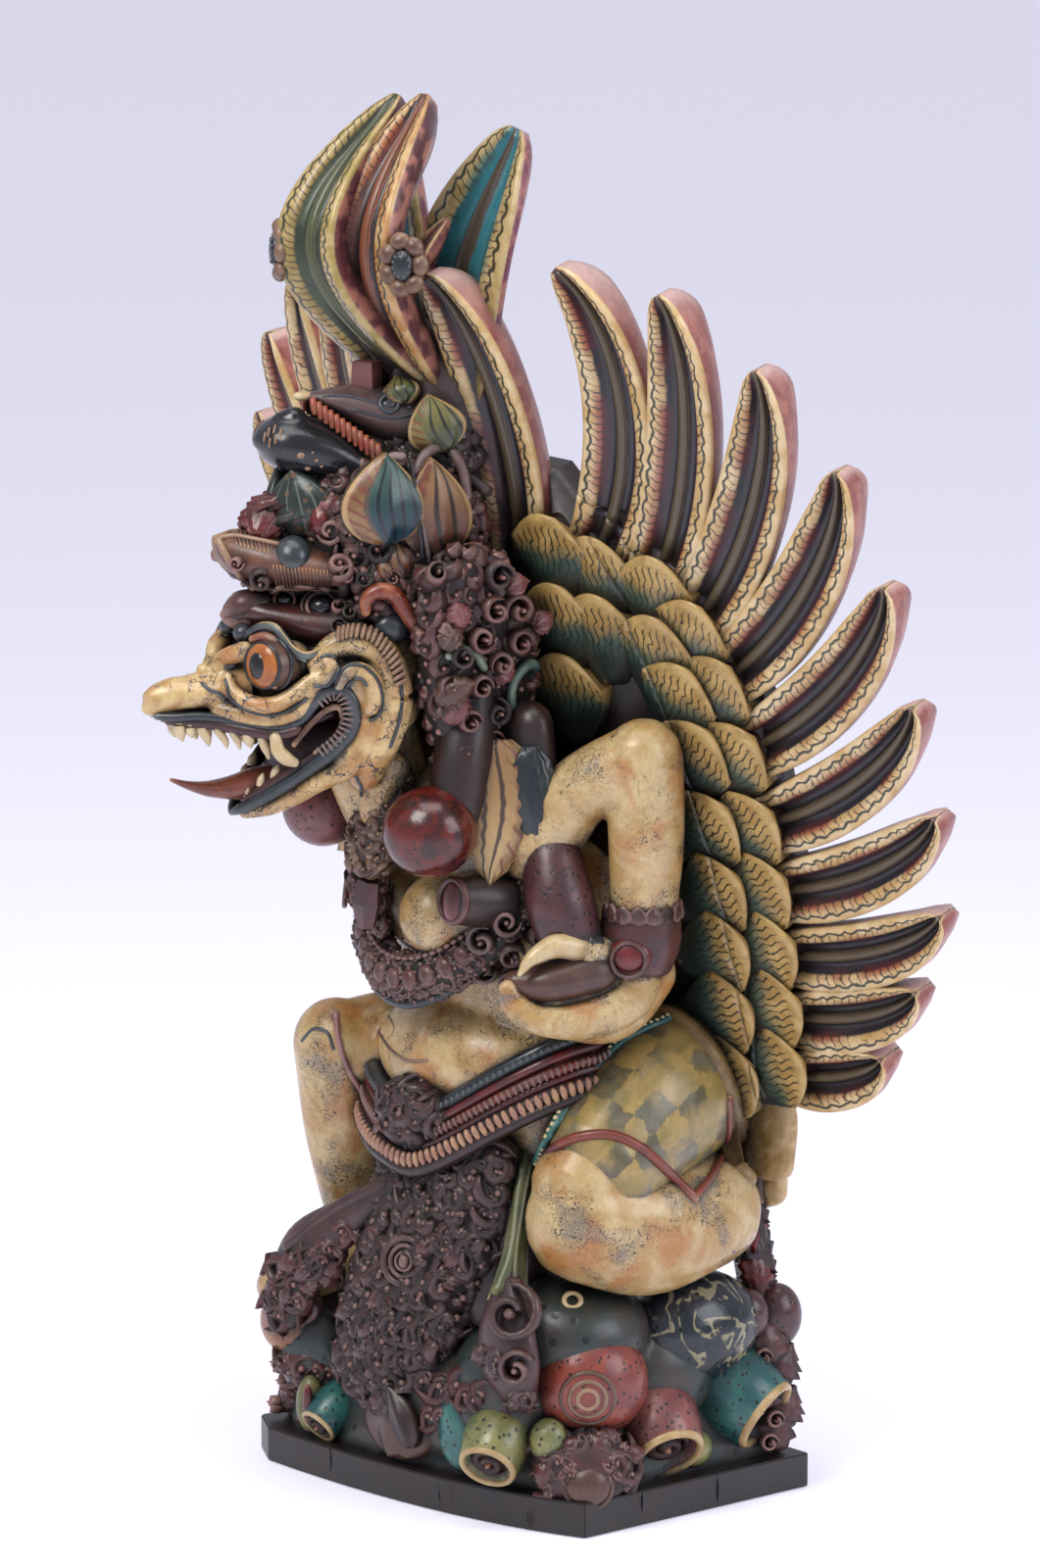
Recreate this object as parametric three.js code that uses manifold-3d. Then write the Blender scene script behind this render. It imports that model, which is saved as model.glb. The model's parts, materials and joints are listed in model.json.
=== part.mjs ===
// A painted wooden garuda: a winged bird-man, one knee down on a coral rock, wings raised.
// Millimetres, +Z up. The figure faces -Y, its left hand is at +X, and the origin is the centre of
// the plinth's underside. Figure, rock, plinth and tail crest are one carved block. Each wing's
// outer board is a piece of its own, joined to the block along a slanted seam.
import * as THREE from "three";
import { mergeVertices } from "three/addons/utils/BufferGeometryUtils.js";
import Module from "manifold-3d";

const wasm = await Module();
wasm.setup();

// Driving dimensions
const HEIGHT = 853; // the whole work, plinth to crest tip
const PLINTH_THICK = 21;
const PLINTH_LEFT = 135; // half width on the figure's left
const PLINTH_RIGHT = 147;
const PLINTH_BACK = 93;
const PLINTH_FRONT = 85; // where the straight left side ends
const PLINTH_BOW = 37; // how far the bowed front stands out beyond that
const BOARD_THICK = 32; // the wing boards
const SEAM_GAP = 0.6; // the open joint between the block and a wing board
const FEATHERS = 11; // flight feathers on one wing, the first on the block itself
const FEATHER_WIDE = 45;
const WEB_REACH = 24; // the board runs this far past the feather roots, and past where two feathers part
const COVERTS = 9; // scales in the row along the feather roots
const HEAD_TURN = 20; // degrees, the head looks to its right
const WING_SWEEP = 14; // degrees back from square
const WING_LEAN = 14; // degrees forward from upright
const RIGHT_WING_DROP = 25; // the right wing is carved a little lower
const SINK = 5; // how deep a raised piece is rooted in what carries it

// The carving keeps its proportions: it is drawn 832 high, above a plinth top at 21.
const DRAWN_PLINTH = 21;
const S = (HEIGHT - PLINTH_THICK) / 832;
const V = (x, y, z) => new THREE.Vector3(x * S, y * S, PLINTH_THICK + (z - DRAWN_PLINTH) * S);
const drawn = (p) => [p.x / S, p.y / S, DRAWN_PLINTH + (p.z - PLINTH_THICK) / S];
const rad = THREE.MathUtils.degToRad;

// Forms stay three.js geometry. They become manifolds only to be joined or cut, with the winding
// turned where needed so that every face looks out.
function manifoldOf(geometry) {
  const g = geometry.index ? geometry.toNonIndexed() : geometry;
  const bare = new THREE.BufferGeometry().setAttribute("position", g.getAttribute("position"));
  const merged = mergeVertices(bare, 1e-4);
  const positions = merged.attributes.position.array;
  const triangles = new Uint32Array(merged.index.array);
  const corner = (i) => new THREE.Vector3().fromArray(positions, 3 * triangles[i]);
  let volume = 0;
  for (let i = 0; i < triangles.length; i += 3) volume += corner(i).dot(corner(i + 1).cross(corner(i + 2)));
  for (let i = 0; volume < 0 && i < triangles.length; i += 3) {
    [triangles[i], triangles[i + 1]] = [triangles[i + 1], triangles[i]];
  }
  return new wasm.Manifold(new wasm.Mesh({ numProp: 3, vertProperties: positions, triVerts: triangles }));
}

function geometryOf(made) {
  const mesh = made.getMesh();
  const flat = new Float32Array(mesh.triVerts.length * 3);
  mesh.triVerts.forEach((v, i) => {
    for (let k = 0; k < 3; k++) flat[3 * i + k] = mesh.vertProperties[v * mesh.numProp + k];
  });
  return new THREE.BufferGeometry().setAttribute("position", new THREE.BufferAttribute(flat, 3));
}

const join = (forms) => geometryOf(forms.map(manifoldOf).reduce((a, b) => a.add(b)));
const cut = (form, ...tools) => geometryOf([form, ...tools].map(manifoldOf).reduce((a, b) => a.subtract(b)));
const common = (a, b) => geometryOf(manifoldOf(a).intersect(manifoldOf(b)));
const moved = (form, x, y, z) => form.clone().translate(x * S, y * S, z * S);
const mirror = (form) => form.clone().applyMatrix4(new THREE.Matrix4().makeScale(-1, 1, 1));
const both = (forms) => [...forms, ...forms.map(mirror)];

// Joins leave slivers along every seam. Vertices slide onto a neighbour, the one that moves the
// surface least first, until a triangle budget is met. Planes are summed per vertex as quadrics.
function tidied(geometry, budget) {
  const bare = mergeVertices(geometry.clone(), 1e-4);
  const at = Array.from({ length: bare.attributes.position.count }, (_, i) =>
    new THREE.Vector3().fromBufferAttribute(bare.attributes.position, i),
  );
  const faces = [];
  for (let i = 0; i < bare.index.count; i += 3) faces.push([...bare.index.array.slice(i, i + 3)]);
  const fans = at.map(() => new Set());
  const quadrics = at.map(() => new Float64Array(10));
  const square = (a, b, c) => b.clone().sub(a).cross(c.clone().sub(a));
  faces.forEach((face, f) => {
    const n = square(...face.map((v) => at[v]));
    const area = n.length();
    if (area > 0) n.divideScalar(area);
    const d = -n.dot(at[face[0]]);
    const terms = [n.x * n.x, n.x * n.y, n.x * n.z, n.x * d, n.y * n.y, n.y * n.z, n.y * d, n.z * n.z, n.z * d, d * d];
    face.forEach((v) => {
      fans[v].add(f);
      terms.forEach((term, k) => (quadrics[v][k] += term * area));
    });
  });
  const off = (q, { x, y, z }) =>
    q[0] * x * x + 2 * q[1] * x * y + 2 * q[2] * x * z + 2 * q[3] * x + q[4] * y * y +
    2 * q[5] * y * z + 2 * q[6] * y + q[7] * z * z + 2 * q[8] * z + q[9];
  const ringOf = (v) => new Set([...fans[v]].flatMap((f) => faces[f]).filter((w) => w !== v));
  const legal = (from, to) => {
    const ring = ringOf(to);
    if ([...ringOf(from)].filter((v) => ring.has(v)).length !== 2) return false;
    return [...fans[from]].every((f) => {
      if (faces[f].includes(to)) return true;
      const was = square(...faces[f].map((v) => at[v]));
      const is = square(...faces[f].map((v) => at[v === from ? to : v]));
      return is.length() > 0.05 && is.dot(was) > 0.3 * is.length() * was.length();
    });
  };
  let count = faces.length;
  for (let moved = true; moved && count > budget; ) {
    moved = false;
    const slides = [];
    at.forEach((_, from) => {
      if (fans[from].size) for (const to of ringOf(from)) slides.push([off(quadrics[from], at[to]), from, to]);
    });
    slides.sort((a, b) => a[0] - b[0]);
    const busy = new Set();
    for (const [, from, to] of slides.slice(0, slides.length / 12)) {
      if (count <= budget) break;
      if (busy.has(from) || busy.has(to) || !legal(from, to)) continue;
      ringOf(from).forEach((v) => busy.add(v));
      quadrics[from].forEach((term, k) => (quadrics[to][k] += term));
      for (const f of fans[from]) {
        if (faces[f].includes(to)) {
          faces[f].forEach((v) => v !== from && fans[v].delete(f));
          faces[f] = null;
          count -= 1;
        } else {
          faces[f] = faces[f].map((v) => (v === from ? to : v));
          fans[to].add(f);
        }
      }
      fans[from].clear();
      moved = true;
    }
  }
  const flat = faces.filter(Boolean).flatMap((face) => face.flatMap((v) => at[v].toArray()));
  return new THREE.BufferGeometry().setAttribute("position", new THREE.Float32BufferAttribute(flat, 3));
}

// An ellipsoid: centre, half axes, and turns about X, Y and Z in degrees.
function ball(centre, radii, turns = [0, 0, 0], around = 8, rows = 4) {
  const g = new THREE.SphereGeometry(1, around, rows);
  g.rotateX(Math.PI / 2);
  const turn = new THREE.Quaternion().setFromEuler(new THREE.Euler(...turns.map(rad)));
  const size = new THREE.Vector3(...radii).multiplyScalar(S);
  return g.applyMatrix4(new THREE.Matrix4().compose(V(...centre), turn, size));
}

// A closed skin over rings of points. A ring is a closed loop, or one point where the form ends.
function skin(rings) {
  const tri = [];
  const put = (...points) => points.forEach((p) => tri.push(p.x, p.y, p.z));
  for (let i = 0; i + 1 < rings.length; i++) {
    const a = rings[i];
    const b = rings[i + 1];
    const n = Math.max(a.length, b.length);
    for (let j = 0; j < n; j++) {
      const k = (j + 1) % n;
      if (a.length > 1) put(a[j], a[k], b[b.length > 1 ? k : 0]);
      if (b.length > 1) put(a[a.length > 1 ? j : 0], b[k], b[j]);
    }
  }
  const cap = (ring, turned) => {
    const mid = ring.reduce((a, p) => a.add(p), new THREE.Vector3()).divideScalar(ring.length);
    ring.forEach((p, j) => {
      const q = ring[(j + 1) % ring.length];
      turned ? put(q, p, mid) : put(p, q, mid);
    });
  };
  if (rings[0].length > 1) cap(rings[0], true);
  if (rings.at(-1).length > 1) cap(rings.at(-1), false);
  return new THREE.BufferGeometry().setAttribute("position", new THREE.Float32BufferAttribute(tri, 3));
}

// A limb through stations [x, y, z, half width, half depth]. The width runs square to the limb and
// to the reference direction. Each end is drawn out to a point by a share of its half depth.
function limb(stations, { sides = 7, steps = 1, reference = [0, 0, 1], ends = [0.5, 0.5] } = {}) {
  const line = new THREE.CatmullRomCurve3(stations.map((s) => V(s[0], s[1], s[2])), false, "centripetal");
  const count = (stations.length - 1) * steps;
  const ref = new THREE.Vector3(...reference);
  const size = (t, k) => {
    const at = Math.min(t * (stations.length - 1), stations.length - 1 - 1e-6);
    const i = Math.floor(at);
    return THREE.MathUtils.lerp(stations[i][k], stations[i + 1][k], at - i) * S;
  };
  const rings = [];
  for (let i = 0; i <= count; i++) {
    const t = i / count;
    const along = line.getTangent(t);
    const wide = new THREE.Vector3().crossVectors(ref, along).normalize();
    const deep = new THREE.Vector3().crossVectors(along, wide);
    const mid = line.getPoint(t);
    rings.push(
      Array.from({ length: sides }, (_, j) => {
        const a = (2 * Math.PI * (j + 0.5)) / sides;
        const across = wide.clone().multiplyScalar(Math.cos(a) * size(t, 3));
        return mid.clone().add(across).addScaledVector(deep, Math.sin(a) * size(t, 4));
      }),
    );
  }
  const tip = (t, reach) => [line.getPoint(t).addScaledVector(line.getTangent(t), reach * size(t, 4))];
  if (ends[0]) rings.unshift(tip(0, -ends[0]));
  if (ends[1]) rings.push(tip(1, ends[1]));
  return skin(rings);
}

// A board cut to an outline of [u, v] points, standing out along the third axis of its frame.
function board(outline, thick, frame, back = 0) {
  const shape = new THREE.Shape(outline.map(([u, v]) => new THREE.Vector2(u * S, v * S)));
  const g = new THREE.ExtrudeGeometry(shape, { depth: thick * S, bevelEnabled: false });
  return g.translate(0, 0, back * S).applyMatrix4(frame);
}

// A frame of two given directions and the one square to both, at a drawn point.
function frameOf(origin, along, up) {
  const u = new THREE.Vector3(...along).normalize();
  const n = new THREE.Vector3().crossVectors(u, new THREE.Vector3(...up)).normalize();
  const v = new THREE.Vector3().crossVectors(n, u);
  return new THREE.Matrix4().makeBasis(u, v, n).setPosition(V(...origin));
}

const inFrame = (frame, u, v, n) => new THREE.Vector3(u * S, v * S, n * S).applyMatrix4(frame);
const frameAt = (frame, u, v, n) => frame.clone().setPosition(inFrame(frame, u, v, n));

// A stud: a low cone on a round foot, rooted in the face behind it.
function stud(frame, radius, rise, sides = 5) {
  const ring = Array.from({ length: sides }, (_, j) => {
    const a = (2 * Math.PI * j) / sides;
    return inFrame(frame, radius * Math.cos(a), radius * Math.sin(a), -SINK);
  });
  return skin([ring, [inFrame(frame, 0, 0, rise)]]);
}

// A flower: a ring of petals round a button.
function rosette(frame, radius, petals = 6, deep = 7) {
  const outline = Array.from({ length: petals * 2 }, (_, i) => {
    const a = (Math.PI * i) / petals;
    const r = i % 2 ? radius * 0.76 : radius;
    return [r * Math.cos(a), r * Math.sin(a)];
  });
  return join([board(outline, deep + SINK, frame, -SINK), stud(frameAt(frame, 0, 0, deep), radius * 0.5, 5)]);
}

// A curled leaf: a ridge that winds in on a face.
function curl(frame, radius, hand = 1, deep = 6) {
  const steps = 4;
  const stations = Array.from({ length: steps + 1 }, (_, i) => {
    const t = i / steps;
    const a = hand * 1.7 * Math.PI * t - 0.6;
    const r = radius * (1 - 0.65 * t);
    return [...drawn(inFrame(frame, r * Math.cos(a), r * Math.sin(a), 0)), radius * 0.28, deep];
  });
  const out = new THREE.Vector3().setFromMatrixColumn(frame, 2);
  return limb(stations, { sides: 4, reference: out.toArray(), ends: [0, 0] });
}

// Wings

// A wing stands on its own plane: u runs outward from the block and v up.
const WING_ROOT = [60, -10, 430];
const sweep = rad(WING_SWEEP);
const lean = rad(WING_LEAN);
const wingOut = [Math.cos(sweep), Math.sin(sweep), 0];
const wingUp = [Math.sin(sweep) * Math.sin(lean), -Math.cos(sweep) * Math.sin(lean), Math.cos(lean)];
const wingFrame = frameOf(WING_ROOT, wingOut, wingUp);

// The fan's two lines: where the feathers leave the coverts, and where they end.
const spline = (points) => new THREE.SplineCurve(points.map((p) => new THREE.Vector2(...p)));
const fanRoots = spline([[-41, 143], [59, 140], [96, 80], [109, -10], [109, -93], [103, -173]]);
const fanTips = spline([[-54, 332], [92, 322], [200, 223], [231, 80], [230, -53], [174, -153]]);
const SEAM = [[6, 203], [17, 192], [48, 106], [68, 33], [81, -35], [88, -111], [90, -200]];

// A feather's cross-section: share of the half width, and share of the thickness it stands at.
const FEATHER_SECTION = [[-1, 0.9], [-0.66, 1], [-0.36, 0.74], [0, 0.92], [0.36, 0.74], [0.66, 1], [1, 0.9], [1, 0], [-1, 0]];
const FULLNESS = [0.8, 1, 0.98, 0.78, 0.3];

// A flight feather on the wing's plane: it bellies outward and hooks back at the tip.
function hooked(root, tip, hook) {
  const reach = tip.clone().sub(root);
  const off = new THREE.Vector2(reach.y, -reach.x).multiplyScalar(hook);
  const low = root.clone().addScaledVector(reach, 0.33).add(off);
  const high = root.clone().addScaledVector(reach, 0.8).add(off);
  return new THREE.CubicBezierCurve(root, low, high, tip);
}

function featherLine(i) {
  const t = i / (FEATHERS - 1);
  return hooked(fanRoots.getPoint(t), fanTips.getPoint(t), i === 1 ? 0.24 : 0.13);
}

function feather(line, wide) {
  return skin(
    FULLNESS.map((full, i) => {
      const t = i / (FULLNESS.length - 1);
      const mid = line.getPoint(t);
      const along = line.getTangent(t);
      return FEATHER_SECTION.map(([a, h]) => {
        const w = (a * full * wide) / 2;
        return inFrame(wingFrame, mid.x + along.y * w, mid.y - along.x * w, (h - 1) * BOARD_THICK);
      });
    }),
  );
}

function fanFeather(i) {
  const shrink = THREE.MathUtils.lerp(1, 0.85, i / (FEATHERS - 1));
  return feather(featherLine(i), FEATHER_WIDE * shrink);
}

// Covert scales: rounded shells in a row beside the feather roots, laid like shingles.
function covertRow(shift, count, from, to) {
  return Array.from({ length: count }, (_, i) => {
    const t = THREE.MathUtils.lerp(from, to, i / (count - 1));
    const root = fanRoots.getPoint(t);
    const along = fanTips.getPoint(t).sub(root).normalize();
    const mid = root.addScaledVector(along, shift);
    const at = (a, b, n) =>
      inFrame(wingFrame, mid.x + along.x * a - along.y * b, mid.y + along.y * a + along.x * b, n);
    const ring = (n, tilt) =>
      Array.from({ length: 7 }, (_, j) => {
        const a = (2 * Math.PI * j) / 7;
        return at(30 * Math.cos(a), 25 * Math.sin(a), n + tilt * Math.cos(a));
      });
    return skin([ring(-14, 0), ring(0, 6)]);
  });
}

const coverts = [...covertRow(-6, COVERTS, 0.1, 1), ...covertRow(-44, COVERTS - 1, 0.16, 1)];
// The board fills the space between two feathers until they stand apart.
function parting(i) {
  const [a, b] = [featherLine(i), featherLine(i + 1)];
  let share = 0;
  for (let t = 0; t < 0.7; t += 0.05) {
    if (a.getPoint(t).distanceTo(b.getPoint(t)) < FEATHER_WIDE * 1.02) share = t;
  }
  const [p, q] = [a.getPoint(share), b.getPoint(share)];
  const past = a.getTangent(share).add(b.getTangent(share)).normalize();
  const edge = p.lerp(q, 0.5).addScaledVector(past, WEB_REACH);
  return [edge.x, edge.y];
}
const WEB_RIM = Array.from({ length: FEATHERS - 2 }, (_, i) => parting(i + 1));
const OUTER_WEB = [[0, 196], [30, 192], ...WEB_RIM, [118, -196], [76, -196], [40, 60]];
const INNER_WEB = [[-64, 205], [-8, 200], [60, 110], [90, 10], [98, -196], [30, -196], [-62, -120]];
const web = (outline) => board(outline, BOARD_THICK * 0.8, wingFrame, -BOARD_THICK + 0.5);

// One side of the seam, as a board that stands well past the wing.
function seamSide(hand) {
  const away = 400;
  const edge = SEAM.map(([u, v]) => [u + (hand * SEAM_GAP) / 2, v]);
  const far = hand * away;
  const outline = [[edge[0][0], away], ...edge, [edge.at(-1)[0], -away], [far, -away], [far, away]];
  return board(outline, 4 * BOARD_THICK, wingFrame, -2 * BOARD_THICK);
}

const flight = Array.from({ length: FEATHERS }, (_, i) => fanFeather(i));
const wingBoard = common(join([...flight.slice(1), web(OUTER_WEB), ...coverts]), seamSide(1));
const innerPanel = common(join([flight[0], web(INNER_WEB), ...coverts]), seamSide(-1));
const toRight = (form) => moved(mirror(form), 0, 0, -RIGHT_WING_DROP);

// Plinth and coral rock

// The plinth's outline at a share of its size: square behind, with a bowed front.
function plan(share) {
  const front = -PLINTH_FRONT - PLINTH_BOW;
  const bow = new THREE.QuadraticBezierCurve(
    new THREE.Vector2(-PLINTH_RIGHT + 26, front),
    new THREE.Vector2(PLINTH_LEFT * 0.3, front - 6),
    new THREE.Vector2(PLINTH_LEFT, -PLINTH_FRONT),
  );
  const outline = [
    new THREE.Vector2(PLINTH_LEFT, PLINTH_BACK),
    new THREE.Vector2(-PLINTH_RIGHT, PLINTH_BACK),
    new THREE.Vector2(-PLINTH_RIGHT, -PLINTH_FRONT - 22),
    ...bow.getPoints(7),
  ];
  return outline.map((p) => p.multiplyScalar(share));
}

const plinth = () =>
  new THREE.ExtrudeGeometry(new THREE.Shape(plan(1)), { depth: PLINTH_THICK, bevelEnabled: false });

// A coral cup: a fat stub with an open mouth that faces a given way.
function coral(centre, radius, length, facing) {
  const out = new THREE.Vector3(...facing).normalize();
  const at = (share) => new THREE.Vector3(...centre).addScaledVector(out, length * share).toArray();
  const reference = Math.abs(out.z) > 0.8 ? [1, 0, 0] : [0, 0, 1];
  const open = { reference, ends: [0, 0] };
  const body = limb([[...at(0), radius, radius], [...at(1), radius * 0.84, radius * 0.84]], open);
  const mouth = [[...at(0.8), radius * 0.3, radius * 0.3], [...at(1.2), radius * 0.72, radius * 0.72]];
  return cut(body, limb(mouth, { ...open, sides: 5 }));
}

function rock() {
  const level = (share, z) => plan(share).map((p) => new THREE.Vector3(p.x, p.y, V(0, 0, z).z));
  return [
    skin([level(0.95, DRAWN_PLINTH - 4), level(0.94, 52), level(0.82, 84), level(0.66, 112)]),
    ball([104, 44, 92], [34, 46, 42]),
    ball([100, -34, 88], [34, 42, 40]),
    ball([-106, -86, 72], [32, 36, 42]),
    ball([-102, 44, 72], [36, 44, 44]),
    ball([-30, 70, 70], [60, 24, 46]),
    ball([10, -88, 62], [66, 30, 44]),
    coral([100, 46, 84], 24, 38, [0.7, 0.35, -0.6]),
    coral([104, -36, 84], 21, 42, [0.5, -0.35, -0.75]),
    coral([76, -84, 74], 19, 40, [0.3, -0.6, -0.7]),
    coral([96, -4, 88], 27, 38, [0.85, -0.45, -0.15]),
    coral([-100, -98, 64], 19, 30, [0.45, -0.75, -0.45]),
    coral([40, 72, 66], 22, 30, [0.2, 0.9, -0.3]),
    // Leaf stacks at two corners of the rock.
    ...[[-128, -100, -0.3], [118, 84, 0.4]].map(([x, y, turn]) =>
      limb([[x, y, 26, 16, 12], [x, y, 60, 14, 11], [x + 6 * turn, y, 104, 7, 6]], { sides: 5, reference: [turn, 1, 0] }),
    ),
  ];
}

// Legs

function legs() {
  const upright = { reference: [0, 1, 0] };
  return [
    // The left leg kneels: the thigh slopes down to the knee and the shin lies back beneath it.
    limb([[62, 62, 236, 44, 46], [88, 14, 246, 46, 50], [98, -54, 204, 36, 38]], { sides: 8, steps: 2 }),
    limb([[100, -58, 184, 34, 38], [108, -14, 174, 34, 42], [106, 36, 176, 33, 36]], { sides: 8, steps: 2 }),
    // The right leg stands with the knee raised.
    limb([[-52, 4, 240, 42, 42], [-78, -48, 256, 37, 36], [-94, -82, 258, 28, 30]]),
    limb([[-96, -86, 260, 26, 28], [-97, -76, 206, 25, 29], [-100, -68, 150, 18, 20]], upright),
    limb([[-100, -48, 128, 20, 20], [-108, -86, 120, 25, 17], [-118, -116, 108, 24, 12]], { sides: 6 }),
    // The seat, and the cloth that falls behind it.
    ball([0, 40, 224], [80, 60, 54], [0, 0, 0], 8, 5),
    ...both([
      limb([[60, 84, 238, 32, 12], [78, 96, 204, 31, 13], [84, 98, 176, 27, 8]], { ...upright, sides: 6 }),
    ]),
  ];
}

// Trunk and arms

function trunk() {
  const body = limb(
    [
      [0, -22, 196, 82, 60],
      [0, -36, 244, 84, 48],
      [0, -40, 290, 74, 42],
      [0, -50, 360, 84, 40],
      [0, -70, 418, 60, 36],
      [-2, -90, 456, 38, 36],
    ],
    { sides: 10, reference: [0, 1, 0], ends: [0, 0] },
  );
  const breast = ball([36, -78, 364], [38, 24, 30], [8, 0, -8]);
  const back = ball([0, 10, 340], [62, 34, 120], [-12, 0, 0], 7, 4);
  return [body, back, ball([0, -60, 266], [68, 44, 42], [0, 0, 0], 10, 6), breast, mirror(breast)];
}

// Both arms are alike down to the bracelet. The far hand is drawn back against the belly.
function arms() {
  const upright = { reference: [0, 1, 0] };
  const upper = both([
    limb([[66, -66, 398, 30, 30], [96, -52, 432, 29, 28], [122, -34, 458, 23, 24]]),
    limb([[124, -31, 464, 23, 24], [124, -29, 412, 23, 24], [119, -27, 366, 19, 20]], upright),
    limb([[118, -26, 372, 23, 24], [116, -30, 342, 22, 22]], upright),
  ]);
  return [
    ...upper,
    limb([[112, -18, 334, 16, 22], [106, -44, 316, 19, 26], [96, -80, 320, 12, 20]]),
    limb([[112, -44, 342, 10, 12], [108, -74, 347, 8, 10], [104, -100, 344, 4, 5]], { sides: 5, ends: [0, 1] }),
    limb([[54, -122, 376, 16, 16], [82, -88, 362, 18, 20], [100, -62, 336, 17, 19]]),
    limb([[-112, -4, 334, 16, 22], [-104, -14, 318, 18, 24], [-88, -38, 318, 13, 18]]),
    limb([[-100, -6, 344, 10, 12], [-92, -32, 346, 8, 10], [-82, -56, 342, 4, 5]], { sides: 5, ends: [0, 1] }),
    limb([[-48, -112, 384, 13, 15], [-60, -96, 368, 15, 18], [-80, -60, 344, 15, 18]]),
  ];
}

// Dress

// A band round the waist that climbs from the clasp to the small of the back.
function waistBand(drop, out, thick) {
  const steps = 9;
  const ring = Array.from({ length: steps + 1 }, (_, i) => {
    const a = rad(-190 + (200 * i) / steps);
    const y = -40 + (50 + out) * Math.sin(a);
    return [(80 + out) * Math.cos(a), y, 238 - drop + (y + 90) * 0.62, thick, thick * 0.8];
  });
  return limb(ring, { sides: 4, ends: [0, 0] });
}

function pectoral() {
  const steps = 8;
  const stations = Array.from({ length: steps + 1 }, (_, i) => {
    const a = rad(-172 + (164 * i) / steps);
    const low = Math.pow(-Math.sin(a), 1.3);
    return [64 * Math.cos(a), -64 - 36 * low, 388 - 66 * low, 14 + 3 * low, 7];
  });
  const studs = stations.slice(2, -2).map(([x, y, z]) => stud(frameOf([x, y - 4, z], [1, 0, 0], [0, 0.2, 1]), 9, 7));
  return [limb(stations, { sides: 4, reference: [0, -1, 0.1], ends: [0, 0] }), ...studs];
}

// The apron: a broad carved fall from the clasp to the rock, edged with curled leaves.
function apron() {
  const fall = limb(
    [
      [6, -84, 216, 54, 14],
      [6, -90, 180, 56, 18],
      [0, -98, 148, 48, 20],
      [-14, -106, 110, 44, 18],
      [-32, -110, 66, 36, 12],
    ],
    { sides: 8, reference: [0, -1, 0] },
  );
  const face = (x, y, z) => frameOf([x, y, z], [1, 0, 0.1], [0, -0.25, 1]);
  const fore = { sides: 5, reference: [0, -1, 0] };
  return [
    fall,
    rosette(face(-2, -117, 148), 18, 7, 4),
    curl(face(-34, -106, 182), 15, 1),
    curl(face(36, -106, 182), 15, -1),
    curl(face(-30, -122, 86), 15, 1),
    limb([[60, -62, 214, 9, 6], [76, -86, 176, 9, 6], [84, -100, 142, 14, 7]], { sides: 5, reference: [1, 0, 0] }),
    limb([[84, -98, 144, 14, 8], [90, -104, 112, 26, 12], [92, -98, 82, 18, 9]], { ...fore, sides: 6 }),
    limb([[-24, -98, 190, 14, 8], [-62, -112, 160, 15, 9], [-96, -124, 120, 24, 9], [-106, -122, 96, 16, 7]], fore),
  ];
}

function dress() {
  const tail = limb([[84, 92, 204, 12, 8], [94, 100, 150, 22, 10], [104, 98, 96, 16, 8]], { sides: 5, reference: [0, 1, 0] });
  return [
    waistBand(0, 3, 9),
    waistBand(18, 6, 9),
    waistBand(36, 9, 9),
    ball([0, -96, 236], [24, 13, 17]),
    ...apron(),
    ...pectoral(),
    tail,
    mirror(tail),
  ];
}

// The head stands in its own frame: it faces -Y and is turned on the neck afterwards.

const NECK = [0, -90];
const onNeck = (form) => moved(form.clone().rotateZ(rad(-HEAD_TURN)), ...NECK, 0);

// A row of points on one side of the head, cut as a comb: teeth hang from a straight root.
function comb(from, to, teeth, root, tooth, thick) {
  const run = Math.hypot(to[0] - from[0], to[1] - from[1], to[2] - from[2]);
  const along = to.map((v, i) => v - from[i]);
  const outline = [[0, 0], ...Array.from({ length: 2 * teeth - 1 }, (_, i) => [
    (run * (i + 0.5)) / (2 * teeth - 1), -(i % 2 ? root : tooth),
  ]), [run, 0]];
  return board(outline, thick, frameOf(from, along, [0, 0, 1]), -thick / 2);
}

function head() {
  const side = [
    ball([29, -108, 521], [17, 18, 18], [0, 0, 0], 8, 5),
    limb([[30, -118, 522, 11, 11], [31, -128, 521, 9, 9]], { ends: [0, 0.3] }),
    limb([[8, -128, 538, 6, 6], [32, -118, 545, 7, 7], [46, -88, 532, 8, 8], [42, -64, 504, 8, 8]], { sides: 5 }),
    limb([[38, -78, 498, 9, 9], [44, -58, 492, 9, 9], [40, -54, 468, 9, 9], [30, -80, 456, 8, 7]], {
      sides: 5,
      reference: [1, 0, 0],
    }),
    ball([38, -48, 508], [14, 24, 26], [0, 0, 0], 7, 4),
    comb([6, -168, 482], [34, -72, 480], 7, 6, 16, 7),
  ];
  return [
    limb([[0, -90, 504, 32, 22], [0, -118, 498, 23, 19], [0, -146, 492, 14, 14], [0, -174, 490, 7, 9]], { sides: 8, ends: [0, 0.8] }),
    limb([[0, -40, 466, 36, 16], [0, -74, 448, 30, 9], [0, -104, 434, 19, 8], [0, -124, 427, 8, 4]]),
    limb([[0, -74, 464, 17, 7], [0, -112, 441, 12, 6], [0, -142, 439, 8, 5], [0, -164, 449, 3, 3]], { sides: 5, ends: [0, 1] }),
    ball([0, -46, 514], [44, 52, 46], [0, 0, 0], 8, 6),
    ball([0, -4, 536], [48, 44, 60], [0, 0, 0], 8, 5),
    ball([0, -134, 511], [11, 9, 8], [0, 0, 0], 6, 3),
    limb([[0, -44, 486, 33, 30], [0, -32, 446, 27, 28], [0, -16, 404, 32, 30], [0, -10, 380, 44, 30]], {
      reference: [0, 1, 0],
      ends: [0, 0],
    }),
    ...both(side),
  ];
}

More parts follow.
